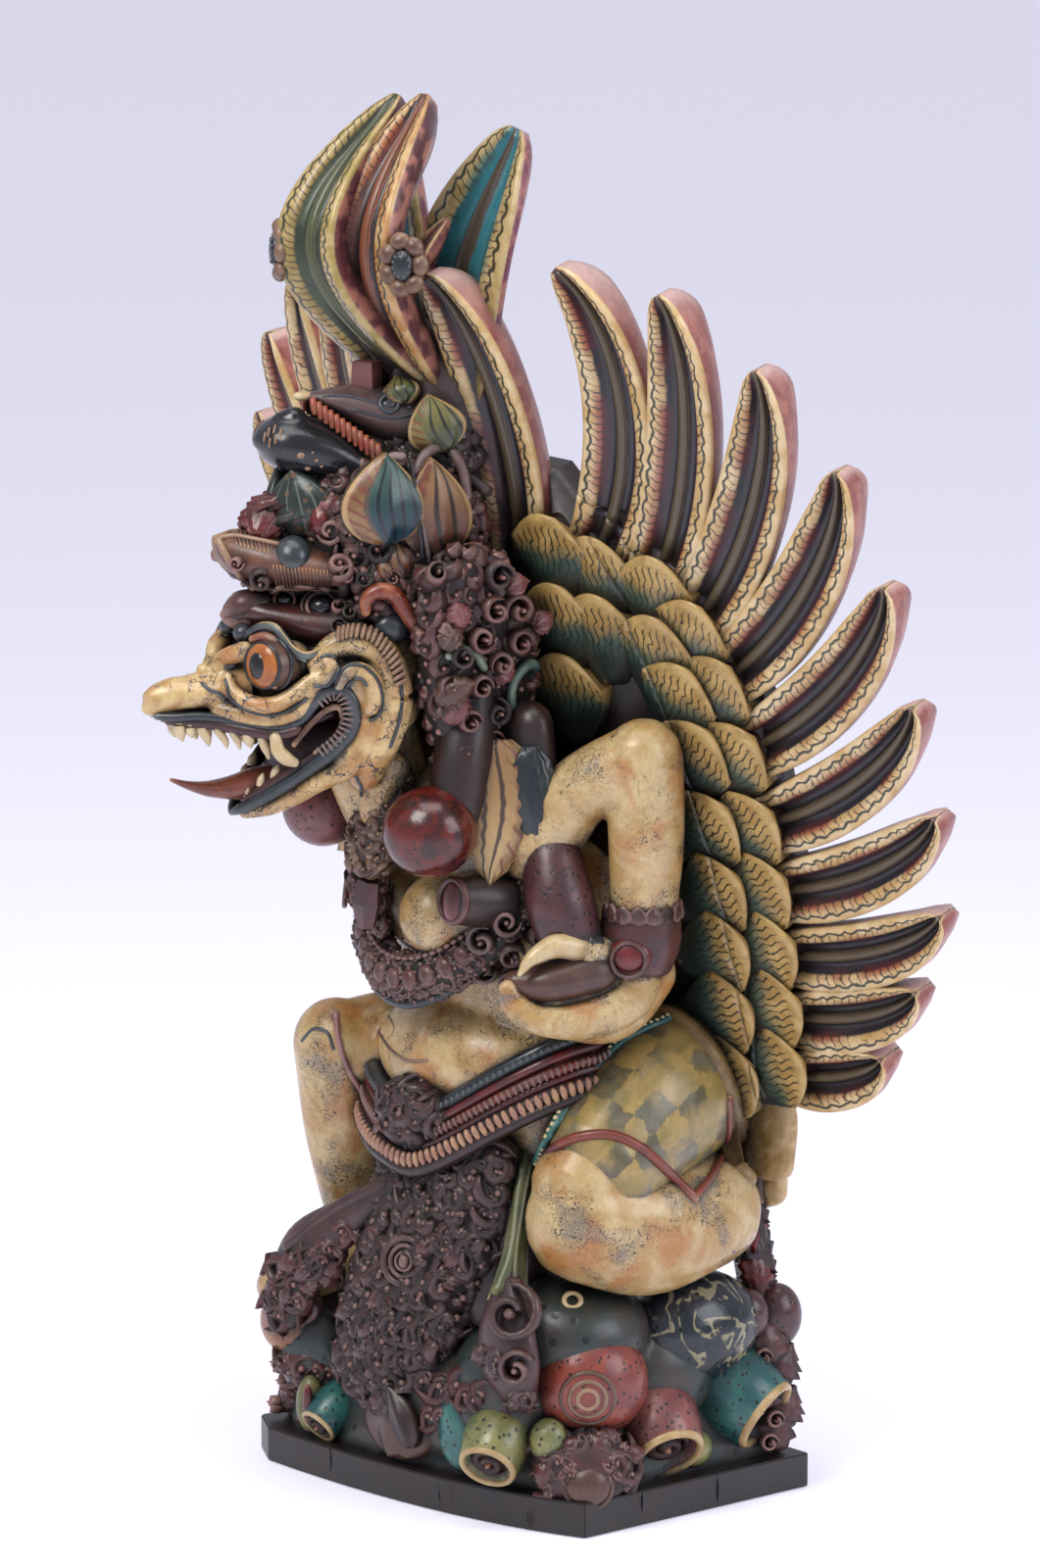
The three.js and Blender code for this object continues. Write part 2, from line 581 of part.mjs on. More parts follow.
// The crown: a peaked band with a small mask under it, a beast's head above, and leaf bosses.
function crown() {
  const steps = 10;
  const band = Array.from({ length: steps + 1 }, (_, i) => {
    const a = rad(-205 + (230 * i) / steps);
    const peak = Math.pow(Math.max(0, -Math.sin(a)), 5) * 16;
    const y = -48 + 62 * Math.sin(a) - peak;
    return [50 * Math.cos(a), y, 562 - (y + 60) * 0.3 + peak * 0.3, 11, 9];
  });
  const studs = band.slice(6, 9).map(([x, y, z]) => stud(frameOf([x, y - 2, z], [0.6, 0.8, 0], [0, 0, 1]), 12, 14));
  const side = [
    ball([42, -42, 616], [9, 18, 27], [14, -12, 0], 7, 4),
    ball([48, -10, 612], [9, 17, 28], [-8, -10, 0], 7, 4),
    limb([[46, -36, 566, 8, 8], [54, -24, 546, 10, 9], [52, -22, 514, 7, 7]], { sides: 5, reference: [1, 0, 0] }),
    comb([8, -76, 670], [26, -14, 664], 6, 5, 15, 10),
    ...studs,
    ...earPlate(),
  ];
  return [
    limb(band, { sides: 4, ends: [0, 0] }),
    limb([[0, -80, 556, 34, 20], [0, -112, 552, 22, 17], [0, -126, 552, 8, 7]], { ends: [0, 0.5] }),
    ball([0, -36, 596], [48, 58, 58], [0, 0, 0], 8, 5),
    limb([[0, -84, 586, 32, 24], [0, -90, 620, 22, 20]], { reference: [0, 1, 0], ends: [0, 0] }),
    limb([[0, -40, 646, 24, 22], [0, -76, 646, 22, 20], [0, -98, 642, 20, 19]], { sides: 8, ends: [0, 0.5] }),
    limb([[0, 10, 656, 34, 18], [0, -40, 670, 26, 12], [0, -78, 674, 6, 3]], { sides: 6 }),
    ...both(side),
  ];
}

// The carved plate behind each ear: a leafy outline with curls, hanging to a point.
function earPlate() {
  const frame = frameOf([56, 4, 536], [-0.12, 1, 0], [0.1, 0, 1]);
  const outline = [
    [-34, 40], [-8, 54], [18, 44], [32, 22], [48, -8], [48, -50], [14, -66], [4, -96], [-12, -110], [-14, -74],
    [-24, -44], [-36, 0],
  ];
  const at = (u, v) => frameAt(frame, u, v, 4);
  return [board(outline, 18, frame, -14), curl(at(12, 24), 17, 1), curl(at(24, -34), 17, 1)];
}

function earDrops() {
  const side = { sides: 6, reference: [1, 0, 0], ends: [0, 0.5] };
  return both([
    ball([54, -130, 424], [27, 27, 29], [0, 0, 0], 8, 5),
    limb([[46, -100, 500, 16, 18], [52, -108, 466, 18, 17], [54, -116, 430, 16, 16]], side),
    limb([[58, -84, 470, 16, 22], [68, -82, 430, 14, 18], [72, -82, 392, 8, 10]], side),
  ]);
}

// The tail crest: feathers that rise behind the crown and bow forward, with two flower bosses.

const CREST_FOOT = [0, -98, 670];

function crestFeather(shift, top, bow, lie, wide, thick) {
  const [x0, y0, z0] = CREST_FOOT;
  const line = FULLNESS.map((_, i) => {
    const t = i / (FULLNESS.length - 1);
    return V(x0 + shift * t, y0 - bow * Math.sin(Math.PI * t) + lie * t, z0 + (top - z0) * t);
  });
  return skin(
    FULLNESS.map((full, i) => {
      const along = line[Math.min(i + 1, line.length - 1)].clone().sub(line[Math.max(i - 1, 0)]).normalize();
      const across = new THREE.Vector3(1, 0, 0).addScaledVector(along, -along.x).normalize();
      const out = new THREE.Vector3().crossVectors(across, along);
      return FEATHER_SECTION.map(([a, h]) => {
        const p = line[i].clone().addScaledVector(across, ((a * full * wide) / 2) * S);
        return p.addScaledVector(out, (h - 1) * thick * Math.min(1, full + 0.2) * S);
      });
    }),
  );
}

function crest() {
  const boss = frameOf([46, -142, 756], [1, 0.35, 0], [0, 0.1, 1]);
  return [
    crestFeather(-13, 851, 46, -9, 44, 26),
    crestFeather(12, 853, 44, -9, 44, 26),
    crestFeather(58, 831, 3, 16, 62, 20),
    crestFeather(-60, 822, 8, 12, 58, 20),
    limb([[0, -82, 660, 34, 26], [0, -96, 696, 26, 18]], { reference: [0, 1, 0], ends: [0, 0] }),
    ...both([limb([[16, -128, 748, 10, 10], [48, -142, 756, 10, 10]], { sides: 5, ends: [0, 0] }), rosette(boss, 18)]),
  ];
}

const carved = join([
  plinth(),
  ...rock(),
  ...legs(),
  ...trunk(),
  ...arms(),
  ...dress(),
  ...[...head(), ...crown()].map(onNeck),
  ...earDrops(),
  ...crest(),
]);

// Each wing board slides in beside the block, which is cut back to leave it room.
const room = board([...SEAM, [300, -200], [300, 348], [-18, 348]], BOARD_THICK + 9, wingFrame, -BOARD_THICK - 0.5);
const block = join([cut(carved, room, toRight(room)), innerPanel, toRight(innerPanel)]);

function mesh(name, geometry, hex) {
  geometry.computeVertexNormals();
  const m = new THREE.Mesh(geometry, new THREE.MeshStandardMaterial({ color: hex, roughness: 0.5, metalness: 0 }));
  m.name = name;
  return m;
}

const garuda = new THREE.Group();
garuda.add(mesh("figure_and_base", tidied(block, 6800), 0x9a7a4c));
garuda.add(mesh("left_wing_board", tidied(wingBoard, 1550), 0xb08a52));
garuda.add(mesh("right_wing_board", tidied(join([toRight(wingBoard)]), 1550), 0xb08a52));

export default garuda;
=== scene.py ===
# %% [markdown]
# # A carved and painted garuda
#
# This lesson dresses a wooden garuda: a bird-man who kneels on a coral rock with both wings
# raised. The real one is carved from one block, with a board glued on for the outer part of each
# wing, then painted, varnished and worn. The solids that carry its size come from the frame.
# Everything here is modelled in millimetres, in the frame's own axes, and turned to metres once.

# %% Load the frame
import json
import math

import bmesh
import bpy
import numpy as np
from mathutils import Matrix, Vector
from mathutils.bvhtree import BVHTree

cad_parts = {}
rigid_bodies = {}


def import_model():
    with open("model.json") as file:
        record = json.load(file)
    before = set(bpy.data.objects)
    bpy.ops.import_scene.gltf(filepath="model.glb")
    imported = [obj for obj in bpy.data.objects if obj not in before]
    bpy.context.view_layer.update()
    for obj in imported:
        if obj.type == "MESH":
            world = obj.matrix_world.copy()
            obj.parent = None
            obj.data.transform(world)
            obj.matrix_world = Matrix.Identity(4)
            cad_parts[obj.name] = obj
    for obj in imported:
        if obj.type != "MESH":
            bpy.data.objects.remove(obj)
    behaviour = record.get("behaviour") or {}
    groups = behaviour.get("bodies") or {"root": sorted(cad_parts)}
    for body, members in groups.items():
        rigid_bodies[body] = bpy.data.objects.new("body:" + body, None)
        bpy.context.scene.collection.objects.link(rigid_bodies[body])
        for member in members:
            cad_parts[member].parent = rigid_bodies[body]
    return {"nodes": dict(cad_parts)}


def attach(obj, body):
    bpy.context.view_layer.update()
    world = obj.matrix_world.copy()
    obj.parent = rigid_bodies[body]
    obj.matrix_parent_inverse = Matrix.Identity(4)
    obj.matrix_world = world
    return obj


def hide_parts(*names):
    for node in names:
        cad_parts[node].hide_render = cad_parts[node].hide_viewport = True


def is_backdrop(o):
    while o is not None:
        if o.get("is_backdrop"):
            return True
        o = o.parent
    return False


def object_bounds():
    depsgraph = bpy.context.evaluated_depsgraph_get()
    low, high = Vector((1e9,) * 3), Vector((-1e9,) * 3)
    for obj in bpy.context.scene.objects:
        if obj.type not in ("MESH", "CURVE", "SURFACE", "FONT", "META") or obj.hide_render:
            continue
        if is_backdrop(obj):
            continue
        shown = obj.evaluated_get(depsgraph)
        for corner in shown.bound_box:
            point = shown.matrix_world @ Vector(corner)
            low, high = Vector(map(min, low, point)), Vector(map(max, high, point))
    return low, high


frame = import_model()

MM = 0.001
cad_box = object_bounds()
print("solids to dress:", sorted(frame["nodes"]))

# %% [markdown]
# ## The camera
#
# The photograph looks at the figure's left side and a little down, through a long lens. Few
# numbers fix that view: the compass angle, the height angle, the distance and the millimetres of
# lens. They come first because some small carvings are placed by where the picture shows them.

# %% Point the camera
AZIMUTH = math.radians(50)
ELEVATION = math.radians(11)
DISTANCE = 5000.0
TARGET = np.array([0.0, -22.0, 428.0])
PICTURE = (1061, 1600)
LENS_PX = 8500.0

toward = np.array([
    math.sin(AZIMUTH) * math.cos(ELEVATION),
    -math.cos(AZIMUTH) * math.cos(ELEVATION),
    math.sin(ELEVATION),
])
rightward = np.array([math.cos(AZIMUTH), math.sin(AZIMUTH), 0.0])
upward = np.cross(toward, rightward)
eye = TARGET + toward * DISTANCE

camera = bpy.data.objects.new("camera", bpy.data.cameras.new("camera"))
bpy.context.scene.collection.objects.link(camera)
camera.data.sensor_width = 36
camera.data.lens = 36 * LENS_PX / PICTURE[1]
camera.data.clip_end = 50
looking = Matrix((rightward, upward, toward)).transposed().to_4x4()
camera.matrix_world = Matrix.Translation(eye * MM) @ looking
bpy.context.scene.camera = camera


def sight(px, py):
    """The direction in which the camera sees a point of the photograph."""
    x = (px - PICTURE[0] / 2) / LENS_PX
    y = (PICTURE[1] / 2 - py) / LENS_PX
    line = -toward + x * rightward + y * upward
    return line / np.linalg.norm(line)


print("lens", round(camera.data.lens, 1), "mm")

# %% [markdown]
# ## Studio light
#
# The picture is a studio shot on a white sheet: broad soft light from above and from both sides,
# hardly any shadow, and small glints on the varnish. Three large panels and a pale world do that.

# %% Floor and panels
def srgb(code, alpha=1.0):
    """A hex colour as the linear numbers that the shaders want."""
    parts = [int(code[i:i + 2], 16) / 255 for i in (1, 3, 5)]
    line = [c / 12.92 if c <= 0.04045 else ((c + 0.055) / 1.055) ** 2.4 for c in parts]
    return (*line, alpha)


def add(tree, kind, links=None, **settings):
    """Adds a node, sets its properties and feeds its inputs from sockets or values."""
    node = tree.nodes.new(kind)
    for name, value in settings.items():
        setattr(node, name, value)
    for key, value in (links or {}).items():
        if isinstance(value, bpy.types.NodeSocket):
            tree.links.new(value, node.inputs[key])
        else:
            node.inputs[key].default_value = value
    return node


def blank(name):
    """A new material with its tree emptied."""
    made = bpy.data.materials.new(name)
    made.use_nodes = True
    made.node_tree.nodes.clear()
    return made


backdrop = blank("white_paper")
paper = add(backdrop.node_tree, "ShaderNodeBsdfPrincipled", {
    "Base Color": srgb("#ECEBF5"),
    "Roughness": 0.9,
    "Emission Color": srgb("#F1F0FF"),
    "Emission Strength": 0.3,
})
add(backdrop.node_tree, "ShaderNodeOutputMaterial", {"Surface": paper.outputs[0]})

SHEET_HALF = 14.0
corners = [(-1, -1), (1, -1), (1, 1), (-1, 1)]
mesh = bpy.data.meshes.new("floor")
mesh.from_pydata([(x * SHEET_HALF, y * SHEET_HALF, -0.0005) for x, y in corners], [], [(0, 1, 2, 3)])
mesh.materials.append(backdrop)
floor = bpy.data.objects.new("floor", mesh)
bpy.context.scene.collection.objects.link(floor)
floor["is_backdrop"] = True


def panel(name, azimuth, elevation, distance, size, watts, tint):
    """A square soft light that looks at the middle of the figure."""
    lamp = bpy.data.lights.new(name, "AREA")
    lamp.size = size
    lamp.energy = watts
    lamp.color = srgb(tint)[:3]
    holder = bpy.data.objects.new(name, lamp)
    a = math.radians(azimuth)
    e = math.radians(elevation)
    away = Vector((math.sin(a) * math.cos(e), -math.cos(a) * math.cos(e), math.sin(e)))
    holder.location = away * distance + Vector((0, 0, 0.42))
    holder.rotation_euler = away.to_track_quat("Z", "Y").to_euler()
    bpy.context.scene.collection.objects.link(holder)


panel("key_panel", 10, 46, 2.3, 1.0, 30, "#FFFDF8")
panel("side_panel", 112, 24, 2.2, 1.3, 20, "#F4F6FF")
panel("top_panel", 60, 84, 2.2, 1.6, 24, "#FFFFFF")

world = bpy.data.worlds.new("studio")
bpy.context.scene.world = world
world.use_nodes = True
world.node_tree.nodes["Background"].inputs["Color"].default_value = srgb("#ECECFA")
world.node_tree.nodes["Background"].inputs["Strength"].default_value = 0.6
bpy.context.scene.view_settings.view_transform = "Standard"
print("floor", 2 * SHEET_HALF, "m wide and three panels")

# %% [markdown]
# ## A carver's few tools
#
# Nearly all of the figure is made of four kinds of closed form: a limb that runs through
# stations, a ball, a leaf and a curled ridge. Each is a small function that returns points in
# millimetres, faces, and a flat map that says where on the form a point lies, for the painter.

# %% Forms: points, faces and a flat map
def along(points, count):
    """Rows spaced on a smooth curve through the given rows, whatever their columns are."""
    p = np.asarray(points, float)
    p = np.vstack([2 * p[0] - p[1], p, 2 * p[-1] - p[-2]])
    t = np.linspace(0, len(p) - 3 - 1e-6, count)
    i = t.astype(int)
    f = (t - i)[:, None]
    a, b, c, d = p[i], p[i + 1], p[i + 2], p[i + 3]
    cubic = (3 * b - a - 3 * c + d) * f ** 3
    return 0.5 * (2 * b + (c - a) * f + (2 * a - 5 * b + 4 * c - d) * f ** 2 + cubic)


def unit(v):
    v = np.asarray(v, float)
    return v / np.maximum(np.linalg.norm(v, axis=-1, keepdims=True), 1e-9)


def loft(rings, chart=None):
    """A closed form over rings of points, with both ends fanned shut."""
    rings = np.asarray(rings, float)
    n, m = rings.shape[:2]
    verts = rings.reshape(-1, 3)
    i, j = np.meshgrid(np.arange(n - 1), np.arange(m), indexing="ij")
    k = (j + 1) % m
    faces = np.stack([i * m + j, i * m + k, (i + 1) * m + k, (i + 1) * m + j], -1).reshape(-1, 4)
    faces = faces.tolist()
    verts = np.vstack([verts, rings[0].mean(0), rings[-1].mean(0)])
    faces += [[q, p, n * m] for p, q in zip(range(m), [*range(1, m), 0])]
    last = (n - 1) * m
    faces += [[last + p, last + q, n * m + 1] for p, q in zip(range(m), [*range(1, m), 0])]
    if chart is None:
        around, length = np.meshgrid(np.linspace(-1, 1, m), np.linspace(0, 1, n))
        chart = np.stack([around, length], -1)
    chart = np.asarray(chart, float).reshape(-1, 2)
    chart = np.vstack([chart, chart[:m].mean(0), chart[-m:].mean(0)])
    return verts, faces, chart


def tangents(line):
    return unit(np.gradient(line, axis=0))


def limb(stations, sides=20, steps=7, reference=(0, 0, 1), dome=(1, 1)):
    """A limb through stations of x, y, z, half width and half depth, with rounded ends."""
    rows = along(stations, (len(stations) - 1) * steps + 1)
    line = rows[:, :3]
    ahead = tangents(line)
    wide = unit(np.cross(reference, ahead))
    deep = np.cross(ahead, wide)
    turn = np.linspace(0, 2 * math.pi, sides, endpoint=False)

    def ring(i, share, push):
        around = np.cos(turn)[:, None] * wide[i] * rows[i, 3] * share
        around = around + np.sin(turn)[:, None] * deep[i] * rows[i, 4] * share
        return line[i] + around + ahead[i] * push

    rings = [ring(i, 1, 0) for i in range(len(rows))]
    for end, bulge in ((0, dome[0]), (-1, dome[1])):
        if bulge:
            reach = min(rows[end, 3:5]) * bulge * (-1 if end == 0 else 1)
            for angle in (30, 55, 75):
                a = math.radians(angle)
                made = ring(end, math.cos(a), reach * math.sin(a))
                rings.insert(0, made) if end == 0 else rings.append(made)
    return loft(rings)


def turned(degrees):
    """The turn about X, then Y, then Z, as a 3 by 3."""
    x, y, z = (Matrix.Rotation(math.radians(d), 3, a) for d, a in zip(degrees, "XYZ"))
    return np.array(x @ y @ z)


def ball(centre, radii, turns=(0, 0, 0), around=32, rows=18):
    """A stretched ball: centre, half sizes and turns in degrees."""
    high = np.linspace(0.06, math.pi - 0.06, rows)
    turn = np.linspace(0, 2 * math.pi, around, endpoint=False)
    h, t = np.meshgrid(high, turn, indexing="ij")
    shell = np.stack([np.sin(h) * np.cos(t), np.sin(h) * np.sin(t), np.cos(h)], -1)
    form = loft(shell)
    return (form[0] * radii) @ turned(turns).T + np.asarray(centre, float), form[1], form[2]


def moved(form, shift):
    return form[0] + np.asarray(shift, float), form[1], form[2]


def mirrored(form, drop=0.0):
    """The same form on the other side of the figure."""
    verts = form[0] * (-1, 1, 1) - (0, 0, drop)
    return verts, [face[::-1] for face in form[1]], form[2]


def both(forms):
    return [*forms, *(mirrored(form) for form in forms)]


def gathered(forms):
    """Many forms as one list of points, faces and map."""
    verts, faces, chart, start = [], [], [], 0
    for v, f, c in forms:
        verts.append(v)
        chart.append(c)
        faces += [[i + start for i in face] for face in f]
        start += len(v)
    return np.vstack(verts), faces, np.vstack(chart)


print("a test ball has", len(ball((0, 0, 0), (1, 1, 1))[1]), "faces")

# %% [markdown]
# ## From forms to pieces
#
# A piece is one mesh with one finish. Soft flesh is made as a carver sees it, one skin over many
# lumps, so those forms are fused with a voxel remesh and smoothed. Crisp ornament keeps its own
# overlapping forms, as knife cuts do. Every piece then gets one number per point, its bend:
# above zero on ridges, where paint wears off and painted highlights go, and below zero in
# grooves, where dirt stays and painted shade goes.

# %% Make a mesh piece
def mesh_of(name, forms):
    verts, faces, chart = gathered(forms)
    data = bpy.data.meshes.new(name)
    data.from_pydata((verts * MM).tolist(), [], faces)
    layer = data.uv_layers.new(name="chart")
    corners = np.empty(len(data.loops), np.int32)
    data.loops.foreach_get("vertex_index", corners)
    layer.data.foreach_set("uv", chart[corners].astype(np.float32).ravel())
    shape = bmesh.new()
    shape.from_mesh(data)
    bmesh.ops.recalc_face_normals(shape, faces=shape.faces)
    shape.to_mesh(data)
    shape.free()
    made = bpy.data.objects.new(name, data)
    bpy.context.scene.collection.objects.link(made)
    return made


def settle(made):
    """Replaces an object's mesh by what its modifiers make of it, and drops them."""
    graph = bpy.context.evaluated_depsgraph_get()
    done = bpy.data.meshes.new_from_object(made.evaluated_get(graph))
    made.modifiers.clear()
    made.data = done
    done.name = made.name
    return made


def mark_relief(made, rounds=3):
    """Writes how sharply each point bends: 1 on a ridge of 5 mm radius, -1 in such a groove."""
    data = made.data
    count = len(data.vertices)
    spots = np.empty(count * 3)
    data.vertices.foreach_get("co", spots)
    spots = spots.reshape(-1, 3) / MM
    normals = np.empty(count * 3)
    data.vertices.foreach_get("normal", normals)
    normals = normals.reshape(-1, 3)
    edges = np.empty(len(data.edges) * 2, np.int64)
    data.edges.foreach_get("vertices", edges)
    a, b = edges.reshape(-1, 2).T
    near = np.maximum(np.bincount(a, minlength=count) + np.bincount(b, minlength=count), 1)

    def shared(per_a, per_b):
        return (np.bincount(a, per_a, count) + np.bincount(b, per_b, count)) / near

    lean = sum(shared(spots[b, k], spots[a, k]) * normals[:, k] for k in range(3))
    rise = (spots * normals).sum(1) - lean
    span = ((spots[a] - spots[b]) ** 2).sum(1)
    bend = np.clip(10 * rise / np.maximum(shared(span, span), 0.05), -3, 3)
    for _ in range(rounds):
        bend = 0.5 * bend + 0.5 * shared(bend[b], bend[a])
    layer = data.attributes.new("bend", "FLOAT", "POINT")
    layer.data.foreach_set("value", bend.astype(np.float32))


pieces = []


def piece(name, forms, finish, slot="figure_paint", fuse=0.0, smooth=4, flat=False):
    """One finished piece. A fuse size in mm melts its forms into one skin."""
    made = mesh_of(name, forms)
    if fuse:
        melt = made.modifiers.new("melt", "REMESH")
        melt.mode = "VOXEL"
        melt.voxel_size = fuse * MM
        calm = made.modifiers.new("calm", "SMOOTH")
        calm.factor = 0.5
        calm.iterations = smooth
        settle(made)
    made.data.materials.clear()
    made.data.materials.append(finish)
    made.data.polygons.foreach_set("use_smooth", [not flat] * len(made.data.polygons))
    mark_relief(made)
    pieces.append((made, slot))
    print(name, len(made.data.polygons), "faces")
    return made


def frame_at(origin, out, up=(0, 0, 1)):
    """A place on the work: its origin and its right, up and outward directions, as columns."""
    out = unit(out)
    right = unit(np.cross(up, out))
    return np.column_stack([right, np.cross(out, right), out, origin])


def placed(form, place, scale=1.0):
    """A form drawn at the origin, x right, y up and z outward, set down on the work."""
    return form[0] * scale @ place[:, :3].T + place[:, 3], form[1], form[2]

# %% [markdown]
# ## Old paint on wood
#
# The finish is brushed paint under a brown varnish, rubbed by hands and time. Three things make
# it: a ground colour that wanders a little; dark varnish, dirt and painted shade in every hollow;
# and paler wood or undercoat, with painted highlights, on every ridge. One builder mixes them from
# the relief numbers. On top, each finish may add its own brush lines, as a carver's painter draws
# them with a fine brush.

# %% The painter's builder
def noise(tree, space, size_mm, detail=3.0, warp=0.0):
    """A noise whose lumps are about so many millimetres wide."""
    return add(tree, "ShaderNodeTexNoise", {
        "Vector": space,
        "Scale": 1 / (size_mm * MM),
        "Detail": detail,
        "Distortion": warp,
    }).outputs["Fac"]


def between(tree, value, low, high):
    """0 below low, 1 above high."""
    return add(tree, "ShaderNodeMapRange", {
        "Value": value,
        "From Min": low,
        "From Max": high,
    }, interpolation_type="SMOOTHSTEP").outputs["Result"]


def sums(tree, how, a, b=0.0, c=0.0):
    """One step of arithmetic."""
    node = tree.nodes.new("ShaderNodeMath")
    node.operation = how
    for slot, value in enumerate((a, b, c)):
        if isinstance(value, bpy.types.NodeSocket):
            tree.links.new(value, node.inputs[slot])
        else:
            node.inputs[slot].default_value = value
    return node.outputs[0]


def over(tree, share, under, top, how="MIX"):
    """Lays a colour over another by a share."""
    mix = add(tree, "ShaderNodeMix", data_type="RGBA", blend_type=how)
    for key, value in (("Factor", share), ("A", under), ("B", top)):
        socket = next(
            s for s in mix.inputs if s.name == key
            and s.type == ("VALUE" if key == "Factor" else "RGBA")
        )
        if isinstance(value, bpy.types.NodeSocket):
            tree.links.new(value, socket)
        else:
            socket.default_value = value
    return next(s for s in mix.outputs if s.type == "RGBA")


def brush_lines(tree, space, cell_mm, width, patch_mm=30.0, cover=0.5):
    """Thin wandering brush lines: the borders of large cells, kept only in patches."""
    wander = add(
        tree, "ShaderNodeTexNoise", {"Vector": space, "Scale": 1 / (cell_mm * 0.6 * MM), "Detail": 2.0}
    )
    shift = add(
        tree, "ShaderNodeVectorMath", {0: wander.outputs["Color"], 1: (0.5, 0.5, 0.5)},
        operation="SUBTRACT"
    )
    shift = add(tree, "ShaderNodeVectorMath", {0: shift.outputs[0]}, operation="SCALE")
    shift.inputs["Scale"].default_value = cell_mm * 1.1 * MM
    bent = add(tree, "ShaderNodeVectorMath", {0: space, 1: shift.outputs[0]}, operation="ADD").outputs[0]
    cells = add(tree, "ShaderNodeTexVoronoi", {
        "Vector": bent,
        "Scale": 1 / (cell_mm * MM),
    }, feature="DISTANCE_TO_EDGE").outputs["Distance"]
    line = sums(tree, "SUBTRACT", 1.0, between(tree, cells, width * 0.3, width))
    where = between(tree, noise(tree, space, patch_mm, 1.0), 1 - cover - 0.08, 1 - cover + 0.04)
    return sums(tree, "MULTIPLY", line, where)


def painted(
    name, ground, second, hollow="#1A100E", ridge="#B98A78", worn=0.5, dirt=1.0, blotch_mm=14.0,
    gloss=0.34, lines=None, line_hex="#1D2530", detail=None, bump=0.25, pits_mm=0.0
):
    """Brushed paint with dirt and painted shade in the hollows, and wear and painted highlights on the
    ridges.
    """
    made = blank(name)
    tree = made.node_tree
    space = add(tree, "ShaderNodeTexCoord").outputs["Object"]
    bend = add(tree, "ShaderNodeAttribute", attribute_name="bend").outputs["Fac"]
    nook = add(tree, "ShaderNodeAttribute", attribute_name="nook").outputs["Fac"]
    blotch = noise(tree, space, blotch_mm, 4.0, 0.6)
    streak = noise(tree, space, 3.0, 3.0)
    colour = over(tree, between(tree, blotch, 0.36, 0.66), srgb(ground), srgb(second))
    if detail:
        colour = detail(tree, colour, space)
    if lines:
        colour = over(tree, brush_lines(tree, space, *lines), colour, srgb(line_hex))
    height = streak
    if pits_mm:
        pit = add(
            tree, "ShaderNodeTexVoronoi", {"Vector": space, "Scale": 1 / (pits_mm * MM)}
        ).outputs["Distance"]
        pit = sums(tree, "SUBTRACT", 1.0, between(tree, pit, 0.16, 0.3))
        # The pits take the hollow colour: painted shade inside the holes, with dirt.
        colour = over(tree, sums(tree, "MULTIPLY", pit, 0.9), colour, srgb(hollow))
        height = sums(tree, "MULTIPLY_ADD", pit, -3.0, streak)
    # Three millimetres of unevenness in the brushwork, from a quarter darker to a fifth lighter.
    tone = add(tree, "ShaderNodeMapRange", {"Value": streak, "To Min": 0.74, "To Max": 1.2}).outputs[0]
    grey = add(tree, "ShaderNodeCombineColor", {"Red": tone, "Green": tone, "Blue": tone}).outputs[0]
    colour = over(tree, 1.0, colour, grey, "MULTIPLY")
    # Wear and painted highlights on the ridges come first, then painted shade and dirt lie over them.
    high = sums(tree, "MULTIPLY_ADD", sums(tree, "SUBTRACT", blotch, 0.5), 1.6, bend)
    high = sums(tree, "MULTIPLY", between(tree, high, 0.35, 1.5), worn)
    colour = over(tree, high, colour, srgb(ridge))
    # Painted shade with dirt: the hollow colour goes where the point is shut in and where it bends inward.
    deep = sums(tree, "MULTIPLY_ADD", sums(tree, "SUBTRACT", streak, 0.5), 0.5, nook)
    deep = sums(tree, "MULTIPLY_ADD", bend, -0.14, deep)
    deep = sums(tree, "MULTIPLY", between(tree, deep, 0.12, 0.8), 0.95 * dirt)
    colour = over(tree, deep, colour, srgb(hollow))
    rough = add(
        tree, "ShaderNodeMapRange", {"Value": blotch, "To Min": gloss - 0.1, "To Max": gloss + 0.18}
    ).outputs[0]
    rough = sums(tree, "ADD", rough, sums(tree, "MULTIPLY", deep, 0.3))
    grain = add(tree, "ShaderNodeBump", {
        "Height": height,
        "Strength": bump,
        "Distance": 0.6 * MM,
    })
    paint = add(tree, "ShaderNodeBsdfPrincipled", {
        "Base Color": colour,
        "Roughness": rough,
        "Normal": grain.outputs[0],
    })
    paint.inputs["IOR"].default_value = 1.5
    paint.inputs["Coat Weight"].default_value = 0.2
    paint.inputs["Coat Roughness"].default_value = 0.22
    add(tree, "ShaderNodeOutputMaterial", {"Surface": paint.outputs[0]})
    return made


def scribbles(tree, space, size_mm, width):
    """Short hair-thin strokes that wander: the contour lines of a bent noise."""
    lines = noise(tree, space, size_mm, 2.0, 2.2)
    near_line = sums(
        tree, "ABSOLUTE",
        sums(tree, "SUBTRACT", sums(tree, "PINGPONG", sums(tree, "MULTIPLY", lines, 7.0), 1.0), 0.5)
    )
    return sums(tree, "SUBTRACT", 1.0, between(tree, near_line, width * 0.4, width))


